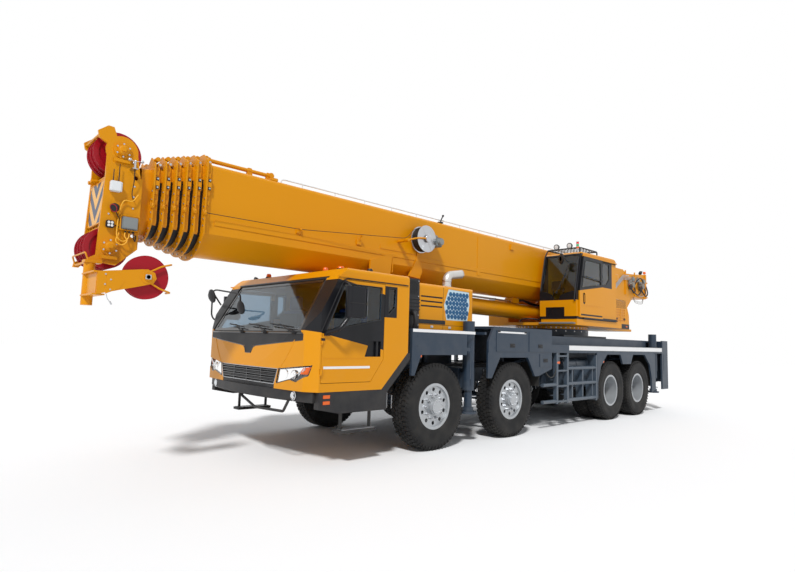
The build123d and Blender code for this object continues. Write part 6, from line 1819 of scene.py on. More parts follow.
    def collars(self) -> None:
        """Bright rollers with their pins, lugs, pad blocks, cable rings and bolts at every collar."""
        for number in range(1, self.sections):
            shrink = (number - 1) * self.step
            front = self.collar + (number - 1) * self.pitch
            half = self.half - shrink
            top = self.top - shrink
            body = self.body(number)
            reach = (0.25 - shrink / 2) / 2
            for piece, sign in both(f"collar_rollers_{number}", body, STEEL):
                middle = sign * (0.225 - shrink / 3)
                spot = Vector((front - 0.070, middle, top + 0.025))
                for side in (1, -1):
                    piece.rod(
                        spot + Vector((0, side * reach, 0)), spot + Vector((0, side * (reach + 0.012), 0)), 0.016,
                        bevel=0.003
                    )
                for k in range(3):
                    y = middle + (k - 1) * reach * 0.62
                    piece.turned([
                        (0.0262, -0.030), (0.0285, -0.027), (0.0285, 0.027), (0.0262, 0.030)
                    ], (front - 0.070, y, top + 0.025), (0, 1, 0), 28)
            for piece, sign in both(f"collar_lugs_{number}", body, YELLOW):
                outline = [
                    (sign * y, z)
                    for y, z in (
                        (0.085, top + 0.012), (half - 0.01, top + 0.012), (half - 0.03, top + 0.075),
                        (half - 0.08, top + 0.118), (0.16, top + 0.118), (0.10, top + 0.07)
                    )
                ]
                piece.plate(outline, Axis.X, front - 0.016, front - 0.001, 0.002)
                spot = Vector((front - 0.046, sign * (0.24 - shrink / 3), top + 0.088))
                piece.rod(spot - Vector((0, 0.075, 0)), spot + Vector((0, 0.075, 0)), 0.027, bevel=0.003)
                piece.turned([
                    (0.016, -0.009), (0.028, -0.009), (0.032, 0.0), (0.028, 0.009), (0.016, 0.009)
                ], (front + 0.004, sign * (half + 0.060), 2.975), (1, 0, 0), 24)
                piece.tube([
                    (front - 0.010, sign * (half + 0.035), 2.945), (front + 0.012, sign * (half + 0.075), 2.955),
                    (front + 0.030, sign * (half + 0.085), 3.010)
                ], 0.007, bend=0.02, sides=8)
                for z in (3.10, 3.22, 3.44):
                    piece.flank(
                        sign, (front - 0.060, half + 0.006, z - 0.030 - shrink / 2),
                        (front - 0.015, half + 0.034, z + 0.030 - shrink / 2), 0.005
                    )
            for piece, sign in both(f"collar_fittings_{number}", body, BLACK):
                piece.block(
                    (front - 0.062, sign * (half + 0.0425), 3.355 - shrink / 2),
                    (front - 0.028, sign * (half + 0.0465), 3.395 - shrink / 2), 0.002
                )
                piece.block(
                    (front - 0.062, sign * (half + 0.0425), 3.255 - shrink / 2),
                    (front - 0.028, sign * (half + 0.0465), 3.295 - shrink / 2), 0.002
                )
            heads = []
            for sign in SIGNS:
                for z in (3.275, 3.375):
                    heads.append(((front - 0.045, sign * (half + 0.0495), z - shrink / 2), (0.0, float(sign), 0.0)))
                for z in (3.15, 3.05, 2.90, 2.82):
                    heads.append(((front + 0.003, sign * (half + 0.033), z), (1.0, 0.0, 0.0)))
            for i in range(7):
                angle = math.radians(205 + 130 * i / 6)
                radius = 0.62 * half
                spot = (
                    front + 0.003, half * 1.05 * math.cos(angle),
                    self.top - 1.110 + shrink + radius + (radius + 0.020) * math.sin(angle)
                )
                heads.append((spot, (1.0, 0.0, 0.0)))
            bolts(f"collar_bolts_{number}", body, STEEL, heads, 0.011, 0.010)

    def build(self) -> None:
        """Makes every fitting of the boom."""
        self.reel()
        self.rail()
        self.collars()
        log.info("boom")


@dataclass
class BoomHead:
    """The head's warning panel, nuts, sensors, lamps and cables, and the auxiliary sheave's guards."""

    body: str = "boom_section_7"
    plate_y: float = 0.300

    def panel(self) -> None:
        """The warning panel between the plates with its frame and fixings."""
        with making("head_chevrons", self.body, CHEVRON) as piece:
            piece.block((6.9925, -0.262, 2.712), (6.9965, 0.262, 3.168), 0.001)
        with making("head_panel_frame", self.body, YELLOW) as piece:
            for y in (-0.266, 0.266):
                piece.block((6.990, y - 0.010, 2.700), (7.000, y + 0.010, 3.180), 0.002)
            for z in (2.705, 3.175):
                piece.block((6.990, -0.270, z - 0.008), (7.000, 0.270, z + 0.008), 0.002)
            for z in (3.215, 2.665):
                piece.rod((6.965, -0.272, z), (6.965, 0.272, z), 0.018, bevel=0.002)
            for y in (-0.16, -0.06):
                piece.rod((6.985, y, 3.215), (7.055, y, 3.205), 0.022, bevel=0.004)
        bolts(
            "head_panel_bolts", self.body, STEEL,
            [((7.001, y, z), (1.0, 0.0, 0.0)) for y in (-0.266, 0.266) for z in (2.74, 2.95, 3.14)], 0.008, 0.007
        )

    def axles(self) -> None:
        """Locking plates and nuts on the sheave axles, rope guards and the plates' bolts."""
        for piece, sign in both("axle_nuts", self.body, YELLOW):
            for x, z in ((6.850, 3.520), (6.905, 2.440)):
                piece.turned(disc(0.050, 0.0, 0.010, 0.040, 0.016), (x, sign * 0.3445, z), (0, float(sign), 0), 40)
                piece.block((x - 0.022, sign * 0.356, z - 0.022), (x + 0.022, sign * 0.378, z + 0.022), 0.003)
                piece.block((x - 0.085, sign * 0.3165, z - 0.135), (x + 0.085, sign * 0.326, z - 0.095), 0.003)
        with making("rope_guards", self.body, YELLOW) as piece:
            for y in (-0.22, -0.11, 0.0, 0.11, 0.22):
                piece.tube([(7.076, y, 3.664), (7.045, y, 3.712), (6.986, y, 3.750)], 0.007, bend=0.03, sides=8)
                piece.block((6.962, y - 0.006, 2.655), (6.985, y + 0.006, 2.700), 0.001)
            piece.tube([
                (7.086, -0.27, 2.268), (7.120, -0.27, 2.36), (7.120, 0.27, 2.36), (7.086, 0.27, 2.268)
            ], 0.009, bend=0.03)
        heads = []
        for sign in SIGNS:
            for x, z in ((6.850, 3.520), (6.905, 2.440)):
                heads += round_axle(x, sign * 0.334, z, 0.072, 6, 0.5)
            heads += [
                ((x, sign * 0.3015, z), (0.0, float(sign), 0.0))
                for x, z in ((6.70, 3.15), (6.70, 3.03), (6.70, 2.90), (6.70, 2.78), (6.93, 3.10), (6.94, 2.80))
            ]
        bolts("head_bolts", self.body, STEEL, heads, 0.010, 0.009)

    def sensors(self) -> None:
        """The wind gauge, the radio box, the lamp, the camera and the junction box on the left plate."""
        y = self.plate_y
        with making("wind_gauge", self.body, STEEL) as piece:
            piece.block((6.705, y, 3.325), (6.765, y + 0.10, 3.335), 0.002)
            piece.rod((6.735, y + 0.085, 3.335), (6.735, y + 0.085, 3.405), 0.012, bevel=0.002)
            for i in range(3):
                angle = 2 * math.pi * i / 3 + 0.4
                out = Vector((math.cos(angle), math.sin(angle), 0))
                hub = Vector((6.735, y + 0.085, 3.412))
                piece.rod(hub, hub + out * 0.060, 0.0035, sides=8)
                piece.ball(hub + out * 0.072, 0.020, (1, 1, 0.9))
            piece.ball((6.735, y + 0.085, 3.415), 0.014)
        with making("radio_box", self.body, WHITE_BOX) as piece:
            piece.block((6.845, y + 0.002, 3.045), (6.955, y + 0.070, 3.160), 0.010)
            piece.block((6.840, y + 0.056, 3.050), (6.960, y + 0.064, 3.155), 0.003)
        with making("radio_aerials", self.body, BLACK) as piece:
            for x, reach in ((6.875, 3.36), (6.930, 3.29)):
                piece.rod((x, y + 0.04, 3.155), (x, y + 0.04, reach), 0.006, 0.004, sides=10)
        with making("head_lamp_shell", self.body, BLACK) as piece:
            piece.turned([
                (0.0, -0.045), (0.022, -0.045), (0.046, -0.010), (0.048, 0.018), (0.042, 0.022), (0.0, 0.016)
            ], (6.90, y + 0.075, 2.865), (0.75, 0.45, -0.5), 32)
            piece.block((6.88, y + 0.001, 2.830), (6.92, y + 0.06, 2.850), 0.003)
            piece.block((6.885, y + 0.010, 2.645), (6.965, y + 0.050, 2.725), 0.008)
            for i in range(4):
                piece.block((6.892 + 0.019 * i, y + 0.004, 2.652), (6.897 + 0.019 * i, y + 0.012, 2.718), 0.001)
            piece.rod((6.875, y + 0.03, 2.68), (6.80, y + 0.01, 2.66), 0.006, sides=8)
        with making("head_lamp_glass", self.body, WHITE_TAPE) as piece:
            for i in range(2):
                for k in range(2):
                    piece.turned(
                        [(0.0, 0.0), (0.013, 0.0), (0.014, 0.004), (0.0, 0.005)],
                        (6.909 + 0.032 * i, y + 0.050, 2.669 + 0.032 * k), (0, 1, 0), 24
                    )
        with making("head_camera_ring", self.body, RED) as piece:
            spot, way = Vector((6.90, y + 0.075, 2.865)), Vector((0.75, 0.45, -0.5)).normalized()
            piece.turned(hoop(0.038, 0.046, 0.018, 0.024), spot, way, 32)
        with making("junction_box", self.body, GREY_BOX) as piece:
            piece.block((6.655, y + 0.012, 2.650), (6.815, y + 0.080, 2.785), 0.006)
            piece.block((6.660, y + 0.078, 2.655), (6.810, y + 0.090, 2.780), 0.004)
        with making("junction_frame", self.body, YELLOW) as piece:
            loop = [
                (6.640, y + 0.06, 2.640), (6.830, y + 0.06, 2.640), (6.830, y + 0.06, 2.800), (6.640, y + 0.06, 2.800)
            ]
            piece.tube(loop, 0.007, bend=0.02, sides=8, closed=True)
            for x, _, z in loop:
                piece.rod((x, y - 0.001, z), (x, y + 0.06, z), 0.006, sides=8)
        with making("junction_glands", self.body, BLACK) as piece:
            for x in (6.690, 6.730, 6.770):
                piece.rod((x, y + 0.046, 2.650), (x, y + 0.046, 2.615), 0.012, 0.009, sides=16)

    def cables(self) -> None:
        """Looped yellow and black cables down the left plate and back to the collars."""
        y = self.plate_y
        with making("head_cables_yellow", self.body, YELLOW_HOSE) as piece:
            piece.tube([
                (6.73, y + 0.046, 2.62), (6.735, y + 0.06, 2.55), (6.79, y + 0.06, 2.50), (6.86, y + 0.05, 2.55),
                (6.85, y + 0.03, 2.72), (6.83, y + 0.02, 2.90), (6.80, y + 0.03, 2.98), (6.72, y + 0.04, 2.96),
                (6.66, y + 0.03, 3.06)
            ], 0.007, bend=0.07, sides=10)
            piece.tube([
                (6.77, y + 0.046, 2.62), (6.78, y + 0.05, 2.57), (6.74, y + 0.07, 2.52), (6.80, y + 0.07, 2.46),
                (6.87, y + 0.05, 2.50), (6.83, y + 0.04, 2.60)
            ], 0.007, bend=0.06, sides=10)
        with making("head_cables_black", self.body, SEAL) as piece:
            piece.tube([
                (6.69, y + 0.046, 2.62), (6.685, y + 0.05, 2.56), (6.66, y + 0.04, 2.52), (6.65, y + 0.01, 2.60)
            ], 0.006, bend=0.04, sides=8)
            piece.tube([
                (6.735, y + 0.085, 3.33), (6.72, y + 0.05, 3.20), (6.73, y + 0.02, 3.05), (6.70, y + 0.02, 2.98)
            ], 0.005, bend=0.06, sides=8)
            piece.tube([
                (6.90, y + 0.06, 2.85), (6.86, y + 0.03, 2.80), (6.83, y + 0.03, 2.74)
            ], 0.005, bend=0.04, sides=8)

    def auxiliary(self) -> None:
        """Hub pin, rope fingers, the hanging pin on its chain and the bolts of the swinging sheave."""
        body = "rooster_sheave"
        with making("auxiliary_pin", body, STEEL) as piece:
            piece.rod((6.64, 0.580, 2.11), (6.64, 0.795, 2.11), 0.024, bevel=0.003)
            piece.block((6.61, 0.787, 2.085), (6.67, 0.795, 2.135), 0.003)
        with making("auxiliary_guards", body, YELLOW) as piece:
            for z in (2.165, 2.060):
                end = z + (z - 2.11) * 1.9
                piece.tube([
                    (6.62, 0.752, z), (6.50, 0.752, z + (z - 2.11) * 1.3), (6.395, 0.752, end), (6.395, 0.625, end)
                ], 0.010, bend=0.03)
            piece.plate([
                (7.03, 1.905), (7.03, 2.115), (6.93, 2.13), (6.86, 2.05), (6.90, 1.97)
            ], Axis.Y, 0.764, 0.773, 0.002)
            piece.block((7.045, 0.335, 2.130), (7.135, 0.365, 2.238), 0.004)
        with making("auxiliary_chain", body, STEEL) as piece:
            piece.tube([(7.02, 0.765, 1.905), (7.01, 0.772, 1.86), (6.99, 0.770, 1.835)], 0.004, bend=0.02, sides=8)
            piece.rod((6.985, 0.768, 1.835), (6.965, 0.768, 1.802), 0.008, sides=12)
        bolts(
            "auxiliary_bolts", body, STEEL,
            [((6.99 + 0.05 * (i % 2), 0.7725, 1.95 + 0.05 * i), (0.0, 1.0, 0.0)) for i in range(4)], 0.009, 0.008
        )

    def build(self) -> None:
        """Makes every piece of the head."""
        self.panel()
        self.axles()
        self.sensors()
        self.cables()
        self.auxiliary()
        log.info("boom head")


@dataclass
class LiftCylinder:
    """Pipes, glands, hose ends and the valve block of the boom's lift cylinder."""

    base: tuple[float, float] = (-2.250, 2.215)
    eye: tuple[float, float] = (3.000, 2.275)

    def spot(self, along: float, up: float, y: float) -> Vector:
        """A point by its way along the cylinder, its height above the axis and its place across."""
        a, b = Vector((self.base[0], 0, self.base[1])), Vector((self.eye[0], 0, self.eye[1]))
        course = (b - a).normalized()
        lift = Vector((-course.z, 0, course.x))
        return a + course * along + lift * up + Vector((0, y, 0))

    def build(self) -> None:
        """Makes every piece of the cylinder."""
        length = (Vector(self.eye) - Vector(self.base)).length
        end = length - 0.520
        course = (self.spot(1, 0, 0) - self.spot(0, 0, 0)).normalized()
        with making("lift_gland", "lift_cylinder", YELLOW) as piece:
            piece.turned([
                (0.1605, -0.10), (0.178, -0.10), (0.182, -0.09), (0.182, -0.02), (0.172, -0.006), (0.1605, -0.006)
            ], self.spot(end, 0, 0), course, 56)
            piece.turned(hoop(0.1605, 0.176, 0.0, 0.05), self.spot(0.20, 0, 0), course, 56)
        with making("lift_wiper", "lift_cylinder", SEAL) as piece:
            piece.turned([
                (0.0955, 0.0), (0.115, 0.0), (0.110, 0.014), (0.0955, 0.016)
            ], self.spot(end, 0, 0), course, 48)
        with making("lift_pipes", "lift_cylinder", STEEL) as piece:
            for y in (0.045, -0.045):
                piece.tube([
                    self.spot(1.35, 0.175, y), self.spot(1.40, 0.192, y), self.spot(end - 0.16, 0.192, y),
                    self.spot(end - 0.08, 0.175, y)
                ], 0.012, bend=0.05)
            for along in (1.9, 2.7, 3.5, 4.2):
                piece.block(self.spot(along, 0.158, -0.075), self.spot(along + 0.04, 0.208, 0.075), 0.004)
        with making("lift_valve", "lift_cylinder", YELLOW) as piece:
            piece.block(self.spot(1.12, 0.155, -0.10), self.spot(1.36, 0.262, 0.10), 0.008)
            piece.rod(self.spot(1.20, 0.26, 0.05), self.spot(1.20, 0.305, 0.05), 0.025, sides=6)
            piece.rod(self.spot(1.28, 0.26, -0.05), self.spot(1.28, 0.30, -0.05), 0.022, sides=6)
        with making("lift_hoses", "lift_cylinder", SEAL) as piece:
            for k, y in enumerate((0.085, 0.03, -0.04)):
                piece.tube([
                    self.spot(1.13, 0.20 + 0.015 * k, y), self.spot(0.95, 0.24 + 0.02 * k, y + 0.02),
                    self.spot(0.55, 0.19, y + 0.03), self.spot(0.22, 0.175, y)
                ], 0.014, bend=0.12, sides=12)
        bolts(
            "lift_bolts", "lift_cylinder", STEEL,
            [(self.spot(1.14 + 0.20 * i, 0.265, y), (0.0, 0.0, 1.0)) for i in range(2) for y in (-0.08, 0.08)], 0.010,
            0.010
        )
        for piece, sign in both("lift_eye_caps", "lift_rod", STEEL):
            piece.turned(hoop(0.060, 0.112, 0.0, 0.003), self.spot(length, 0, sign * 0.1302), (0, float(sign), 0), 40)
        log.info("lift cylinder")


# ---------------------------------------------------------------- carrier


@dataclass
class Carrier:
    """The carrier's marker tapes, lamps, tread plates, tank fittings, hoses and running gear below."""

    body: str = "chassis"
    half: float = 1.400
    deck: float = 1.700
    walkway: float = 1.535

    def tapes(self) -> None:
        """White tapes along the deck's edges, and amber markers on hanging plates."""
        spans = ((1.98, 3.34, 1.655, 1.697), (-5.38, -0.87, 1.442, 1.528), (0.60, 1.40, 1.700, 1.728))
        for piece, sign in both("edge_tapes", self.body, WHITE_TAPE, slot="paint_dark"):
            for start, end, low, high in spans:
                off = 0.009 if start == 0.60 else 0.0
                piece.flank(sign, (start, self.half + off - 0.001, low), (end, self.half + off + 0.0015, high), 0.0004)
        for piece, sign in both("edge_lips", self.body, GREY_BOX, slot="paint_dark"):
            for z in (1.438, 1.532):
                piece.rod((-5.40, sign * 1.400, z), (-0.86, sign * 1.400, z), 0.005, sides=8)
        markers = ((3.20, 1.33), (-0.49, 1.21), (-2.26, 1.22), (-4.71, 1.24))
        for piece, sign in both("marker_plates", self.body, SLATE):
            for x, z in markers:
                piece.flank(sign, (x - 0.07, 1.372, z - 0.035), (x + 0.07, 1.380, z + 0.26), 0.003)
        for piece, sign in both("side_markers", self.body, AMBER):
            for x, z in markers:
                piece.flank(sign, (x - 0.055, 1.379, z - 0.022), (x + 0.055, 1.396, z + 0.022), 0.006)

    def rear(self) -> None:
        """Tail lamps, a blank plate, warning bands, mud flaps and bolts."""
        with making("tail_housings", self.body, BLACK) as piece:
            for sign in SIGNS:
                piece.flank(sign, (-5.790, 0.96, 1.035), (-5.745, 1.36, 1.165), 0.012)
            piece.block((-5.775, -0.27, 0.985), (-5.752, 0.27, 1.115), 0.004)
        for label, finish, spans in (
            ("tail_red", TAIL_RED, ((0.98, 1.10), (1.23, 1.34))), ("tail_amber", AMBER, ((1.11, 1.22),))
        ):
            for piece, sign in both(label, self.body, finish):
                for start, end in spans:
                    piece.flank(sign, (-5.800, start, 1.050), (-5.786, end, 1.150), 0.006)
        with making("rear_plate", self.body, WHITE_BOX) as piece:
            piece.block((-5.782, -0.255, 0.995), (-5.774, 0.255, 1.105), 0.003)
        for piece, sign in both("rear_hazard", self.body, HAZARD):
            piece.flank(sign, (-5.7565, 0.98, 1.30), (-5.7505, 1.36, 1.43), 0.001)
        for piece, sign in both("mud_flaps", self.body, SEAL):
            for x, top, low, inner in ((-4.83, 1.32, 0.62, 0.80), (-1.97, 1.10, 0.80, 1.18), (0.16, 1.22, 0.80, 1.02)):
                piece.flank(sign, (x - 0.005, inner, low), (x + 0.005, 1.385, top), 0.003)
        bolts(
            "rear_bolts", self.body, STEEL,
            [((-5.7515, y, z), (-1.0, 0.0, 0.0)) for y in (-0.62, -0.52, 0.52, 0.62) for z in (0.95, 1.10, 1.25, 1.50)],
            0.014, 0.012
        )

    def tread(self) -> None:
        """Raised tread bars on the decks and walkways, skirt bolts and locker handles."""
        places, step = [], 0.055
        for start, end, low, high, level in (
            (-5.60, -4.75, 0.08, 1.10, self.deck), (-0.95, -0.35, 0.95, 1.12, self.deck), (
                -5.30, -0.95, 1.20, 1.375, self.walkway
            ),
            (-4.60, -3.75, 0.86, 1.12, self.deck), (-1.55, -1.02, 0.86, 1.12, self.deck),
        ):
            across = int((end - start) / step)
            rows = int((high - low) / step)
            for i in range(across):
                for k in range(rows):
                    lean = 1.0 if (i + k) % 2 else -1.0
                    for sign in SIGNS:
                        spot = (start + step * (i + 0.5), sign * (low + step * (k + 0.5)), level + 0.0008)
                        places.append((spot, (0.0, 0.0, 1.0), (0.7, 0.7 * lean, 0.0)))
        blocks("deck_tread", self.body, GREY_BOX, places, (0.030, 0.008, 0.0024), slot="paint_dark")
        heads = []
        for sign in SIGNS:
            y = sign * (self.half + 0.0005)
            heads += [
                ((x, y, z), (0.0, float(sign), 0.0)) for x in (-0.10, 0.56, 1.47, 2.08, 3.24) for z in (1.46, 1.60)
            ]
            heads += [((-5.30 + 0.37 * i, y, 1.405), (0.0, float(sign), 0.0)) for i in range(12)]
        bolts("skirt_bolts", self.body, SLATE, heads, 0.011, 0.008)
        for piece, sign in both("locker_handles", self.body, BLACK):
            for x, z in ((1.00, 1.50), (0.15, 1.50), (-0.02, 1.25)):
                piece.flank(sign, (x - 0.07, 1.407, z - 0.032), (x + 0.07, 1.413, z + 0.032), 0.003)
                piece.tube([
                    (x - 0.045, sign * 1.412, z), (x - 0.035, sign * 1.426, z), (x + 0.035, sign * 1.426, z),
                    (x + 0.045, sign * 1.412, z)
                ], 0.006, bend=0.01, sides=8)
            for x in (0.62, 1.38):
                piece.flank(sign, (x - 0.035, 1.407, 1.712), (x + 0.035, 1.416, 1.738), 0.002)

    def tanks(self) -> None:
        """Filler caps, strap buckles, a gauge, drain plugs and pipes on the side tanks."""
        for piece, sign in both("tank_caps", self.body, WHITE_BOX, slot="jack_steel"):
            piece.turned([
                (0.0, 0.0), (0.058, 0.0), (0.058, 0.028), (0.050, 0.044), (0.0, 0.046)
            ], (-1.24, sign * 1.10, 1.2535), (0, 0, 1), 36)
            piece.turned(
                [(0.0, 0.0), (0.020, 0.0), (0.020, 0.010), (0.0, 0.012)], (-1.66, sign * 1.2405, 0.78),
                (0, float(sign), 0), 20
            )
        for piece, sign in both("tank_buckles", self.body, STEEL):
            for x in (-1.86, -1.455, -1.05):
                piece.flank(sign, (x - 0.022, 1.2495, 0.885), (x + 0.022, 1.262, 0.955), 0.003)
                piece.rod((x, sign * 1.257, 0.80), (x, sign * 1.257, 1.03), 0.007, sides=10)
        for piece, sign in both("tank_gauge", self.body, BLACK):
            piece.flank(sign, (-1.30, 1.2395, 0.84), (-1.265, 1.256, 1.12), 0.004)
            piece.tube([
                (-1.66, sign * 1.24, 0.78), (-1.66, sign * 1.27, 0.76), (-1.64, sign * 1.24, 0.70),
                (-1.40, sign * 1.05, 0.66), (-0.90, sign * 0.70, 0.70)
            ], 0.012, bend=0.06)

    def hoses(self) -> None:
        """Hoses along the frame and to the axles, with one that sags on each side."""
        for piece, sign in both("frame_hoses", self.body, SEAL):
            piece.tube([
                (0.02, sign * 1.365, 1.30), (-0.06, sign * 1.385, 1.02), (-0.24, sign * 1.39, 0.92),
                (-0.42, sign * 1.38, 1.02), (-0.46, sign * 1.36, 1.28)
            ], 0.011, bend=0.12)
            for k in range(3):
                y = sign * (0.470 + 0.030 * k)
                piece.tube([
                    (3.3, y, 1.02 + 0.03 * k), (1.9, y, 1.02 + 0.03 * k), (1.7, y, 1.10 + 0.03 * k),
                    (-2.2, y, 1.10 + 0.03 * k), (-2.4, y, 1.16), (-5.2, y, 1.16)
                ], 0.010, bend=0.08, sides=8)
            for x in AXLES:
                piece.tube([
                    (x + 0.16, sign * 0.62, 0.86), (x + 0.22, sign * 0.56, 1.02), (x + 0.10, sign * 0.50, 1.12)
                ], 0.010, bend=0.08, sides=8)

    def running_gear(self) -> None:
        """Propeller shafts, spring clips, brake chambers, shock absorbers, air tanks and the exhaust's pipe."""
        with making("propeller_shafts", self.body, BLACK) as piece:
            for start, end in (((1.95, 0.0, 0.95), (-2.36, 0.0, 0.70)), ((-3.02, 0.0, 0.66), (-3.72, 0.0, 0.66))):
                way = (Vector(end) - Vector(start)).normalized()
                piece.rod(Vector(start), Vector(end), 0.046, sides=28)
                for at, turn in ((Vector(start), way), (Vector(end), -way)):
                    piece.turned([
                        (0.0, -0.05), (0.080, -0.05), (0.080, -0.02), (0.060, -0.01), (0.062, 0.10), (0.046, 0.14)
                    ], at, turn, 32)
        with making("spring_clips", self.body, STEEL) as piece:
            for x in AXLES:
                for sign in SIGNS:
                    for along in (-0.09, 0.09):
                        spots = [
                            (x + along, sign * 0.426, 0.50), (x + along, sign * 0.426, 0.832),
                            (x + along, sign * 0.534, 0.832), (x + along, sign * 0.534, 0.50)
                        ]
                        piece.tube(spots, 0.010, bend=0.02, sides=8)
        with making("brake_chambers", self.body, BLACK) as piece:
            for x in AXLES:
                for sign in SIGNS:
                    profile = [
                        (0.0, -0.09), (0.060, -0.09), (0.078, -0.06), (0.082, -0.005), (0.088, 0.0), (0.082, 0.005),
                        (0.078, 0.06), (0.050, 0.085), (0.0, 0.09)
                    ]
                    piece.turned(profile, (x + 0.20, sign * 0.66, 0.80), (1, 0, 0.35), 32)
        with making("shock_absorbers", self.body, STEEL) as piece:
            for x in AXLES[:STEERED]:
                for sign in SIGNS:
                    piece.rod((x - 0.24, sign * 0.60, 0.60), (x - 0.24, sign * 0.58, 0.86), 0.034, bevel=0.004)
                    piece.rod((x - 0.24, sign * 0.58, 0.86), (x - 0.24, sign * 0.57, 1.06), 0.015)
        with making("air_tanks", self.body, SLATE) as piece:
            for x in (-0.62, -0.10):
                for sign in SIGNS:
                    near, far = sign * 0.56, sign * 1.00
                    piece.rod((x, near, 0.86), (x, far, 0.86), 0.115, sides=40, bevel=0.03)
                    for y in (near + sign * 0.10, far - sign * 0.10):
                        piece.turned(hoop(0.1155, 0.120, -0.018, 0.018), (x, y, 0.86), (0, 1, 0), 40)
        with making("silencer", self.body, EXHAUST) as piece:
            piece.rod((1.99, -0.78, 1.30), (1.99, -0.78, 1.62), 0.030, sides=24)

    def faces(self) -> None:
        """Upright strips beside the ends of the outrigger beams."""
        with making("outrigger_faces", self.body, SLATE) as piece:
            for x in (1.866, -5.270):
                for sign in SIGNS:
                    piece.flank(sign, (x - 0.235, 1.3985, 0.98), (x - 0.205, 1.404, 1.38), 0.003)
                    piece.flank(sign, (x + 0.205, 1.3985, 0.98), (x + 0.235, 1.404, 1.38), 0.003)

    def build(self) -> None:
        """Makes every piece of the carrier."""
        self.tapes()
        self.rear()
        self.tread()
        self.tanks()
        self.hoses()
        self.running_gear()
        self.faces()
        log.info("carrier")


@dataclass
class Outriggers:
    """Bright rings on the outriggers' jack tubes."""

    places: tuple[tuple[str, float], ...] = (("front", 1.866), ("rear", -5.270))
    jack_y: float = 1.255

    def build(self) -> None:
        """Makes the rings of each jack."""
        for place, x in self.places:
            for sign, side in SIDES:
                jack = f"outrigger_jack_{place}_{side}"
                with making(f"jack_rings_{place}_{side}", jack, STEEL) as piece:
                    spot = (x, sign * self.jack_y, 0.0)
                    piece.turned(hoop(0.0635, 0.074, 0.560, 0.580), spot, (0, 0, 1), 36)
                    piece.turned(hoop(0.0635, 0.070, 0.700, 0.712), spot, (0, 0, 1), 36)
        log.info("outriggers")


# ---------------------------------------------------------------- superstructure


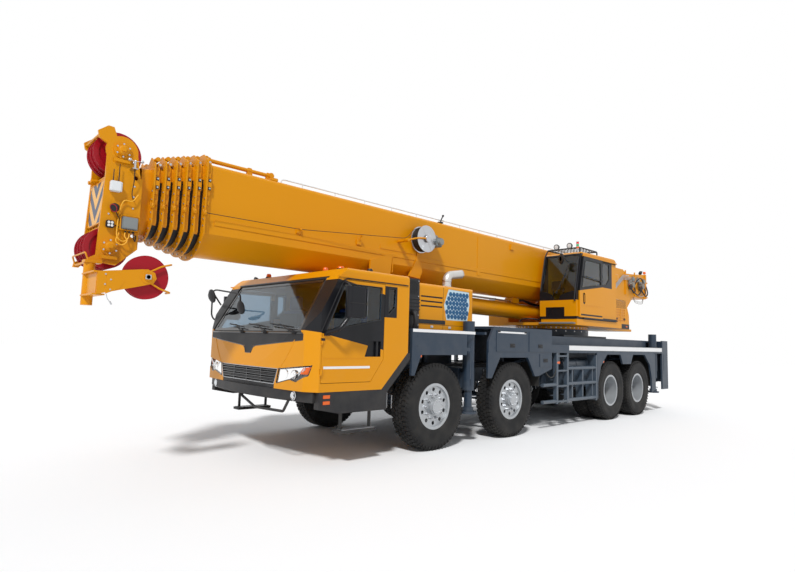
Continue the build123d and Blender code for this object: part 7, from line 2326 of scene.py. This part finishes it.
@dataclass
class Turntable:
    """Ring bolts, winch rope, pipes, hoses, lamps and hood fittings of the slewing part."""

    body: str = "superstructure"
    slew_x: float = -2.600
    cheek: float = 0.475

    def ring(self) -> None:
        """Bolts round the slewing ring and on the turntable's edge."""
        heads, lower = [], []
        for i in range(48):
            angle = 2 * math.pi * i / 48
            out = Vector((math.cos(angle), math.sin(angle), 0))
            heads.append((tuple(Vector((self.slew_x, 0, 1.915)) + out * 0.8005), tuple(out)))
            if i % 2:
                lower.append((tuple(Vector((self.slew_x, 0, 1.840)) + out * 0.8005), tuple(out)))
        bolts("ring_bolts", self.body, STEEL, heads, 0.014, 0.010)
        bolts("ring_lower_bolts", "chassis", STEEL, lower, 0.012, 0.010)

    def rope(self) -> None:
        """Wound rope on both drums, with the drums' bolts."""
        for label, x, z, radius in (("main", -5.745, 3.190, 0.230), ("auxiliary", -6.375, 3.200, 0.200)):
            with making(f"rope_{label}", self.body, WINCH) as piece:
                count = 30
                for i in range(count):
                    y = (i + 0.5 - count / 2) * 0.0228
                    profile = [
                        (radius - 0.004, -0.011), (radius + 0.015, -0.009), (radius + 0.019, 0.0),
                        (radius + 0.015, 0.009), (radius - 0.004, 0.011)
                    ]
                    piece.turned(profile, (x, y, z), (0, 1, 0), 56)
            heads = []
            for sign in SIGNS:
                heads += round_axle(x, sign * 0.5152, z, 0.105, 10)
            bolts(f"winch_bolts_{label}", self.body, STEEL, heads, 0.011, 0.012)

    def tail(self) -> None:
        """Pipes, motors' hoses, valves, lamps and rope loops round the tail's posts."""
        y = self.cheek
        with making("tail_pipes", self.body, STEEL) as piece:
            for k in range(4):
                z = 3.46 - 0.035 * k
                piece.tube([
                    (-4.55, y + 0.012, z - 0.62), (-4.95, y + 0.012, z - 0.28), (-5.30, y + 0.022, z - 0.05),
                    (-5.62 - 0.16 * k, y + 0.030, z - 0.04)
                ], 0.009, bend=0.06, sides=10)
            piece.rod((-6.90, 0.40, 3.42), (-6.90, 0.40, 3.60), 0.010, sides=12)
            piece.tube([
                (-6.10, y + 0.02, 2.96), (-6.35, y + 0.03, 2.92), (-6.62, y + 0.02, 2.96)
            ], 0.008, bend=0.05, sides=10)
        loops = (
            (-5.60, -5.86, 2.94), (-5.66, -6.22, 2.90), (-6.26, -6.52, 2.95), (-6.30, -6.68, 2.90), (-5.90, -6.40, 3.42)
        )
        for piece, sign in both("tail_hoses", self.body, SEAL):
            side = sign * (y + 0.075)
            for k, (start, end, low) in enumerate(loops):
                mid = (start + end) / 2
                near, far, half = side - sign * 0.02, side + sign * 0.03, (3.16 + low) / 2
                course = [
                    (start, near, 3.16), (start, far, half), (mid, side + sign * 0.05, low), (end, far, half),
                    (end, near, 3.16 + 0.02 * k)
                ]
                piece.tube(course, 0.015, bend=0.12, sides=12)
            piece.tube([
                (-6.70, sign * 0.30, 3.40), (-6.82, sign * 0.34, 3.52), (-6.98, sign * 0.34, 3.52),
                (-7.03, sign * 0.30, 3.40)
            ], 0.013, bend=0.08, sides=12)
        for piece, sign in both("tail_fittings", self.body, RED):
            for x, z in ((-5.60, 3.165), (-5.86, 3.165), (-6.26, 3.165), (-6.52, 3.165), (-6.68, 3.205)):
                piece.rod((x, sign * (y + 0.052), z), (x, sign * (y + 0.070), z), 0.020, sides=6)
        for piece, sign in both("tail_valves", self.body, GREY_BOX):
            for x in (-5.90, -6.20, -6.58):
                piece.flank(sign, (x - 0.055, y + 0.001, 3.30), (x + 0.055, y + 0.062, 3.40), 0.006)
                piece.rod((x, sign * (y + 0.03), 3.40), (x, sign * (y + 0.03), 3.435), 0.018, sides=6)
        for piece, sign in both("tail_lamp_shells", self.body, BLACK):
            piece.turned([
                (0.0, -0.05), (0.045, -0.04), (0.062, 0.0), (0.062, 0.03), (0.0, 0.022)
            ], (-6.73, sign * 0.36, 3.62), (-0.5, float(sign) * 0.7, -0.35), 32)
            piece.rod((-6.73, sign * 0.36, 3.555), (-6.73, sign * 0.36, 3.60), 0.010, sides=12)
        for piece, sign in both("tail_lamp_glass", self.body, WHITE_TAPE):
            piece.turned(
                [(0.0, 0.024), (0.056, 0.031), (0.056, 0.034), (0.0, 0.036)], (-6.73, sign * 0.36, 3.62),
                (-0.5, float(sign) * 0.7, -0.35), 32
            )
        for piece, sign in both("tail_beacons", self.body, AMBER):
            piece.turned([
                (0.0, 0.0), (0.038, 0.0), (0.038, 0.050), (0.028, 0.072), (0.0, 0.078)
            ], (-6.90, sign * 0.40, 3.600 if sign > 0 else 3.50), (0, 0, 1), 32)
        with making("rope_loops", self.body, WINCH) as piece:
            for k in range(3):
                low = 2.80 - 0.03 * k
                piece.tube([
                    (-5.98 - 0.03 * k, 0.44, 2.885), (-6.05, 0.46, low), (-6.38, 0.47, low - 0.03), (-6.62, 0.46, low),
                    (-6.70 + 0.03 * k, 0.44, 2.885)
                ], 0.005, bend=0.12, sides=8)

    def hoods(self) -> None:
        """Fold lines, vent holes, handles, reflectors, a black base, and the caps of the pivot pins."""
        places = []
        for i in range(22):
            for k in range(9):
                places.append(((-3.28 - 0.026 * i, 1.1955, 2.42 + 0.022 * k), (0.0, 1.0, 0.0)))
        bolts("hood_vents", self.body, BLACK, places, 0.0075, 0.0012, 8)
        with making("hood_base", self.body, BLACK) as piece:
            piece.block((-4.00, 1.190, 1.945), (-3.09, 1.199, 2.055), 0.003)
            piece.block((-4.09, -1.199, 1.945), (-1.82, -1.190, 2.055), 0.003)
            for x in (-3.35, -3.75):
                piece.block((x - 0.05, 1.193, 2.145), (x + 0.05, 1.201, 2.185), 0.004)
            for x in (-2.2, -2.9, -3.6):
                piece.block((x - 0.05, -1.201, 2.245), (x + 0.05, -1.193, 2.285), 0.004)
        with making("hood_folds", self.body, YELLOW) as piece:
            for x in (-3.20, -3.55, -3.88):
                piece.rod((x, 1.1955, 2.08), (x, 1.1955, 2.40), 0.004, sides=8)
            for x in (-2.40, -3.05, -3.60):
                piece.rod((x, -1.1955, 2.06), (x, -1.1955, 2.50), 0.004, sides=8)
        # The reflectors take the amber lens finish, whose faint glow is painted light, since reflectors are no lamps.
        with making("hood_reflectors", self.body, AMBER) as piece:
            for x in (-3.25, -3.85):
                piece.block((x - 0.04, 1.198, 1.985), (x + 0.04, 1.205, 2.015), 0.003)
        for piece, sign in both("foot_bolster", self.body, YELLOW):
            piece.turned(
                disc(0.115, 0.0, 0.012, 0.080, 0.020), (-4.95, sign * self.cheek, 3.30), (0, float(sign), 0), 44
            )
            piece.turned(
                disc(0.120, 0.0, 0.012, 0.085, 0.020), (-2.25, sign * self.cheek, 2.215), (0, float(sign), 0), 44
            )
        heads = [place for sign in SIGNS for place in round_axle(-4.95, sign * (self.cheek + 0.014), 3.30, 0.095, 6)]
        bolts("pin_bolts", self.body, STEEL, heads, 0.011, 0.009)

    def rails(self) -> None:
        """The tube rail loop ahead of the operator's cab, and the hoses below the boom."""
        with making("platform_rail", self.body, BLACK) as piece:
            piece.tube([
                (-1.62, 0.49, 2.03), (-1.40, 0.49, 2.05), (-1.12, 0.42, 2.06), (-1.10, 0.20, 2.06), (-1.30, 0.02, 2.02)
            ], 0.016, bend=0.10)
        with making("boom_feed_hoses", self.body, SEAL) as piece:
            for k in range(4):
                piece.tube([
                    (-2.9 - 0.05 * k, 0.30 - 0.07 * k, 2.02), (-3.2, 0.28 - 0.07 * k, 2.10 + 0.02 * k),
                    (-3.7, 0.28 - 0.07 * k, 2.16), (-4.2, 0.26 - 0.06 * k, 2.02)
                ], 0.016, bend=0.15, sides=12)

    def build(self) -> None:
        """Makes every piece of the slewing part."""
        self.ring()
        self.rope()
        self.tail()
        self.hoods()
        self.rails()
        log.info("turntable")


@dataclass
class OperatorCab:
    """The operator's cab: seals, mirror, wiper, guard, signal stack, seat and controls."""

    body: str = "superstructure"
    door: str = "operator_door"
    door_face: float = 1.361
    mirror: Point = (-1.20, 1.05, 3.27)
    mirror_way: Point = (-0.8, 0.55, 0.0)
    stack: tuple[float, float] = (-1.53, 1.23)
    lamps: tuple[float, float] = (0.72, 1.02)

    def outside(self) -> None:
        """Roof guard, mirror, wiper, sill, step, lamps and the signal stack."""
        with making("cab_guard", self.body, BLACK) as piece:
            piece.tube([
                (-1.275, 0.53, 2.64), (-1.44, 0.53, 3.36), (-1.56, 0.53, 3.53), (-2.30, 0.53, 3.53)
            ], 0.014, bend=0.06)
            piece.tube([
                (-1.56, 1.26, 3.435), (-1.56, 1.26, 3.53), (-2.30, 1.26, 3.53), (-2.30, 1.26, 3.455)
            ], 0.014, bend=0.05)
            piece.tube([(-1.56, 0.53, 3.53), (-1.56, 1.26, 3.53)], 0.014)
            piece.tube([(-2.30, 0.53, 3.455), (-2.30, 0.53, 3.53), (-2.30, 1.26, 3.53)], 0.014, bend=0.04)
            for i in range(9):
                y = 0.60 + 0.073 * i
                piece.rod((-1.56, y, 3.53), (-2.30, y, 3.53), 0.005, sides=8)
            for i in range(5):
                x = -1.68 - 0.124 * i
                piece.rod((x, 0.53, 3.53), (x, 1.26, 3.53), 0.005, sides=8)
            piece.tube([
                (-1.285, 1.30, 2.42), (-1.245, 1.30, 2.44), (-1.43, 1.30, 3.30), (-1.47, 1.30, 3.30)
            ], 0.012, bend=0.03)
            piece.tube([(-1.41, 1.10, 3.20), (-1.27, 1.07, 3.30), (-1.20, 1.05, 3.28)], 0.010, bend=0.04)
            piece.turned([
                (0.0, -0.02), (0.10, -0.015), (0.112, 0.0), (0.108, 0.008), (0.10, 0.006)
            ], self.mirror, self.mirror_way, 40)
        with making("cab_mirror_glass", self.body, CHROME) as piece:
            piece.turned([(0.0, 0.004), (0.100, 0.006), (0.100, 0.009), (0.0, 0.014)], self.mirror, self.mirror_way, 40)
        with making("cab_wiper", self.body, BLACK) as piece:
            piece.rod((-1.275, 0.90, 2.60), (-1.262, 0.90, 2.60), 0.028, bevel=0.004)
            piece.tube([(-1.262, 0.90, 2.60), (-1.285, 0.99, 2.78), (-1.330, 1.06, 2.98)], 0.008, bend=0.05)
            piece.rod((-1.295, 1.02, 2.76), (-1.392, 1.10, 3.20), 0.007, sides=8)
        with making("cab_sill", self.body, BLACK) as piece:
            piece.block((-3.04, 1.318, 2.062), (-1.31, 1.329, 2.112), 0.003)
            piece.block((-1.302, 0.51, 2.062), (-1.290, 1.31, 2.082), 0.003)
        with making("cab_step", self.body, GREY_BOX) as piece:
            piece.block((-1.31, 0.52, 1.962), (-1.22, 1.30, 1.990), 0.004)
            for i in range(12):
                piece.block((-1.30, 0.55 + 0.062 * i, 1.990), (-1.23, 0.572 + 0.062 * i, 1.996), 0.002)
        with making("cab_lamp_shells", self.body, BLACK) as piece:
            for y in self.lamps:
                piece.turned([
                    (0.0, -0.05), (0.040, -0.045), (0.058, 0.0), (0.058, 0.03), (0.052, 0.032), (0.048, 0.01)
                ], (-1.60, y, 3.595), (1.0, 0.0, -0.12), 32)
                piece.rod((-1.61, y, 3.53), (-1.61, y, 3.56), 0.010, sides=12)
        with making("cab_lamp_glass", self.body, WHITE_TAPE) as piece:
            for y in self.lamps:
                piece.turned([
                    (0.0, 0.012), (0.047, 0.018), (0.047, 0.024), (0.0, 0.030)
                ], (-1.60, y, 3.595), (1.0, 0.0, -0.12), 32)
        with making("signal_rod", self.body, STEEL) as piece:
            piece.rod((*self.stack, 3.42), (*self.stack, 3.50), 0.012, sides=16)
            for z in (3.50, 3.548, 3.596, 3.644):
                piece.turned(hoop(0.0, 0.030, -0.004, 0.004), (*self.stack, z), (0, 0, 1), 28)
        for label, finish, z in (
            ("signal_amber", AMBER, 3.524), ("signal_red", TAIL_RED, 3.620), ("signal_green", GREEN, 3.572)
        ):
            with making(label, self.body, finish) as piece:
                piece.turned([
                    (0.0, -0.020), (0.026, -0.020), (0.027, 0.0), (0.026, 0.020), (0.0, 0.020)
                ], (*self.stack, z), (0, 0, 1), 28)
        with making("roof_edges", self.body, SEAL) as piece:
            piece.tube([(-1.50, 0.505, 3.37), (-1.325, 0.505, 2.64)], 0.006, sides=8)

    def doors(self) -> None:
        """The sliding door's seal, bar, handle and lower strip."""
        window = ((-1.450, 2.690), (-1.600, 3.270), (-2.260, 3.270), (-2.260, 2.810))
        with making("door_window_seal", self.door, SEAL) as piece:
            piece.tube([(x, self.door_face + 0.001, z) for x, z in window], 0.009, bend=0.05, sides=10, closed=True)
        with making("door_bar", self.door, BLACK) as piece:
            piece.tube([
                (-1.44, self.door_face, 2.925), (-1.46, self.door_face + 0.030, 2.925),
                (-2.21, self.door_face + 0.030, 2.882), (-2.24, self.door_face, 2.880)
            ], 0.010, bend=0.025)
            piece.turned(
                [(0.0, 0.0), (0.030, 0.0), (0.030, 0.004), (0.0, 0.006)], (-1.54, self.door_face - 0.012, 2.40),
                (0, 1, 0), 28
            )
            piece.block((-2.31, self.door_face - 0.002, 2.135), (-1.41, self.door_face + 0.004, 2.165), 0.002)
        with making("door_rail", self.body, BLACK) as piece:
            for z in (3.335, 2.108):
                piece.block((-3.02, 1.323, z - 0.010), (-1.60, 1.348, z + 0.010), 0.003)

    def inside(self) -> None:
        """The seat, the two arm boxes with levers, the pedals, the screen and the floor mat."""
        seat("operator_seat", self.body, (-2.30, 0.92, 2.45), 0.50, 0.50, 0.70, SEAT)
        with making("cab_controls", self.body, BLACK) as piece:
            piece.block((-2.48, 0.78, 2.13), (-2.12, 1.06, 2.42), 0.02)
            for y in (0.605, 1.215):
                piece.block((-2.42, y - 0.055, 2.50), (-1.98, y + 0.055, 2.62), 0.02)
                piece.rod((-2.06, y, 2.62), (-2.06, y, 2.72), 0.012, sides=16)
                piece.ball((-2.06, y, 2.745), 0.030, (1, 1, 1.4))
            for y in (0.80, 0.92, 1.04):
                piece.block((-1.56, y - 0.035, 2.14), (-1.44, y + 0.035, 2.23), 0.010)
            piece.rod((-1.66, 0.62, 2.13), (-1.64, 0.62, 2.72), 0.014, sides=16)
            piece.block((-1.685, 0.56, 2.70), (-1.645, 0.78, 2.88), 0.010)
        with making("cab_mat", self.body, INTERIOR) as piece:
            piece.block((-2.90, 0.57, 2.122), (-1.38, 1.25, 2.132), 0.004)
        with making("cab_display", self.body, DISPLAY) as piece:
            piece.block((-1.690, 0.575, 2.715), (-1.6845, 0.765, 2.865), 0.002)

    def build(self) -> None:
        """Makes every piece of the operator's cab."""
        self.outside()
        self.doors()
        self.inside()
        log.info("operator's cab")


# ---------------------------------------------------------------- stage


@dataclass
class Studio:
    """The floor, the light and the camera."""

    place: Point = (8.57497, 6.60745, 1.52777)
    yaw: float = -2.32748913
    pitch: float = 0.101098755
    roll: float = 0.029155755
    lens: float = 24.37
    floor_size: float = 60.0

    def camera(self) -> None:
        """A camera at the picture's own place and angle."""
        data = bpy.data.cameras.new("view")
        data.lens, data.sensor_width, data.sensor_fit = self.lens, 36.0, "HORIZONTAL"
        data.clip_end = 200.0
        camera = bpy.data.objects.new("view", data)
        level = math.cos(self.pitch)
        ahead = Vector((level * math.cos(self.yaw), level * math.sin(self.yaw), math.sin(self.pitch)))
        right = ahead.cross(Vector((0, 0, 1))).normalized()
        up = right.cross(ahead)
        across = right * math.cos(self.roll) + up * math.sin(self.roll)
        upward = up * math.cos(self.roll) - right * math.sin(self.roll)
        turn = Matrix((across, upward, -ahead)).transposed().to_4x4()
        camera.matrix_world = Matrix.Translation(self.place) @ turn
        bpy.context.scene.collection.objects.link(camera)
        bpy.context.scene.camera = camera

    def floor(self) -> None:
        """A pale floor that keeps the object's shadow."""
        half = self.floor_size
        mesh = bpy.data.meshes.new("floor")
        mesh.from_pydata([(-half, -half, 0), (half, -half, 0), (half, half, 0), (-half, half, 0)], [], [(0, 1, 2, 3)])
        floor = bpy.data.objects.new("floor", mesh)
        material = bpy.data.materials.new("floor_pale")
        material.use_nodes = True
        shader = material.node_tree.nodes["Principled BSDF"]
        shader.inputs["Base Color"].default_value = (1.0, 1.0, 1.0, 1.0)
        shader.inputs["Roughness"].default_value = 0.9
        shader.inputs["Specular IOR Level"].default_value = 0.0
        mesh.materials.append(material)
        bpy.context.scene.collection.objects.link(floor)
        floor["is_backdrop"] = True

    def sky(self) -> None:
        """A plain soft world that looks white to the camera, metal and glass."""
        world = bpy.data.worlds.new("soft_sky")
        bpy.context.scene.world = world
        world.use_nodes = True
        tree = world.node_tree
        soft = tree.nodes["Background"]
        soft.inputs["Color"].default_value = (0.93, 0.96, 1.0, 1.0)
        soft.inputs["Strength"].default_value = 0.42
        plain = add_node(tree, "ShaderNodeBackground", {"Color": (1, 1, 1, 1), "Strength": 1.0})
        path = add_node(tree, "ShaderNodeLightPath")
        shiny = math_node(tree, "MAXIMUM", path.outputs["Is Glossy Ray"], path.outputs["Is Transmission Ray"])
        seen = math_node(tree, "MAXIMUM", path.outputs["Is Camera Ray"], shiny)
        mixed = add_node(tree, "ShaderNodeMixShader", {0: seen, 1: soft.outputs[0], 2: plain.outputs[0]})
        tree.links.new(mixed.outputs[0], tree.nodes["World Output"].inputs["Surface"])

    def lamps(self) -> None:
        """One broad soft sun from the front left, and a weak one from behind."""
        for label, strength, direction, spread in (
            ("key", 2.5, (-0.62, -0.48, -0.80), 0.12),
            ("fill", 0.35, (0.7, 0.3, -0.5), 0.8),
        ):
            data = bpy.data.lights.new(label, "SUN")
            data.energy, data.angle = strength, spread
            lamp = bpy.data.objects.new(label, data)
            lamp.rotation_euler = Vector((0, 0, -1)).rotation_difference(Vector(direction)).to_euler()
            bpy.context.scene.collection.objects.link(lamp)

    def build(self) -> None:
        """Sets the stage."""
        bpy.context.scene.view_settings.view_transform = "Standard"
        self.camera()
        self.floor()
        self.sky()
        self.lamps()


# ---------------------------------------------------------------- main


def paint_nodes(nodes: dict[str, bpy.types.Object]) -> None:
    """Gives every solid node its finish, by the longest name that matches.

    Args:
        nodes: the solid nodes by name.
    """
    for name, obj in nodes.items():
        keys = [k for k in NODE_FINISHES if name.startswith(k)]
        material = NODE_FINISHES[max(keys, key=len)].material()
        for index in range(len(obj.material_slots)):
            obj.material_slots[index].material = material
        if not obj.material_slots:
            obj.data.materials.append(material)


def save_size(label: str, sizes: dict[str, object]) -> None:
    """Records the bounds of everything shown under a label.

    Args:
        label: the moment of the measure.
        sizes: the measures so far, to which this one is added.
    """
    low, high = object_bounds()
    sizes[label] = [list(low), list(high)]


def main() -> None:
    """Builds the stage and every sub-assembly in order."""
    logging.basicConfig(level=logging.INFO, format="%(name)s: %(message)s")
    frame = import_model()
    sizes: dict[str, object] = {}
    save_size("frame", sizes)
    Studio().build()
    paint_nodes(frame["nodes"])
    for number, x in enumerate(AXLES, start=1):
        for _, side in SIDES:
            Wheel(number, side, x, twin=number > STEERED).build()
    for assembly in (
        DriverCab(), EngineBay(), Carrier(), Outriggers(), Turntable(), OperatorCab(), Boom(), BoomHead(),
        LiftCylinder()
    ):
        assembly.build()
    save_size("finished", sizes)


if __name__ == "__main__":
    main()
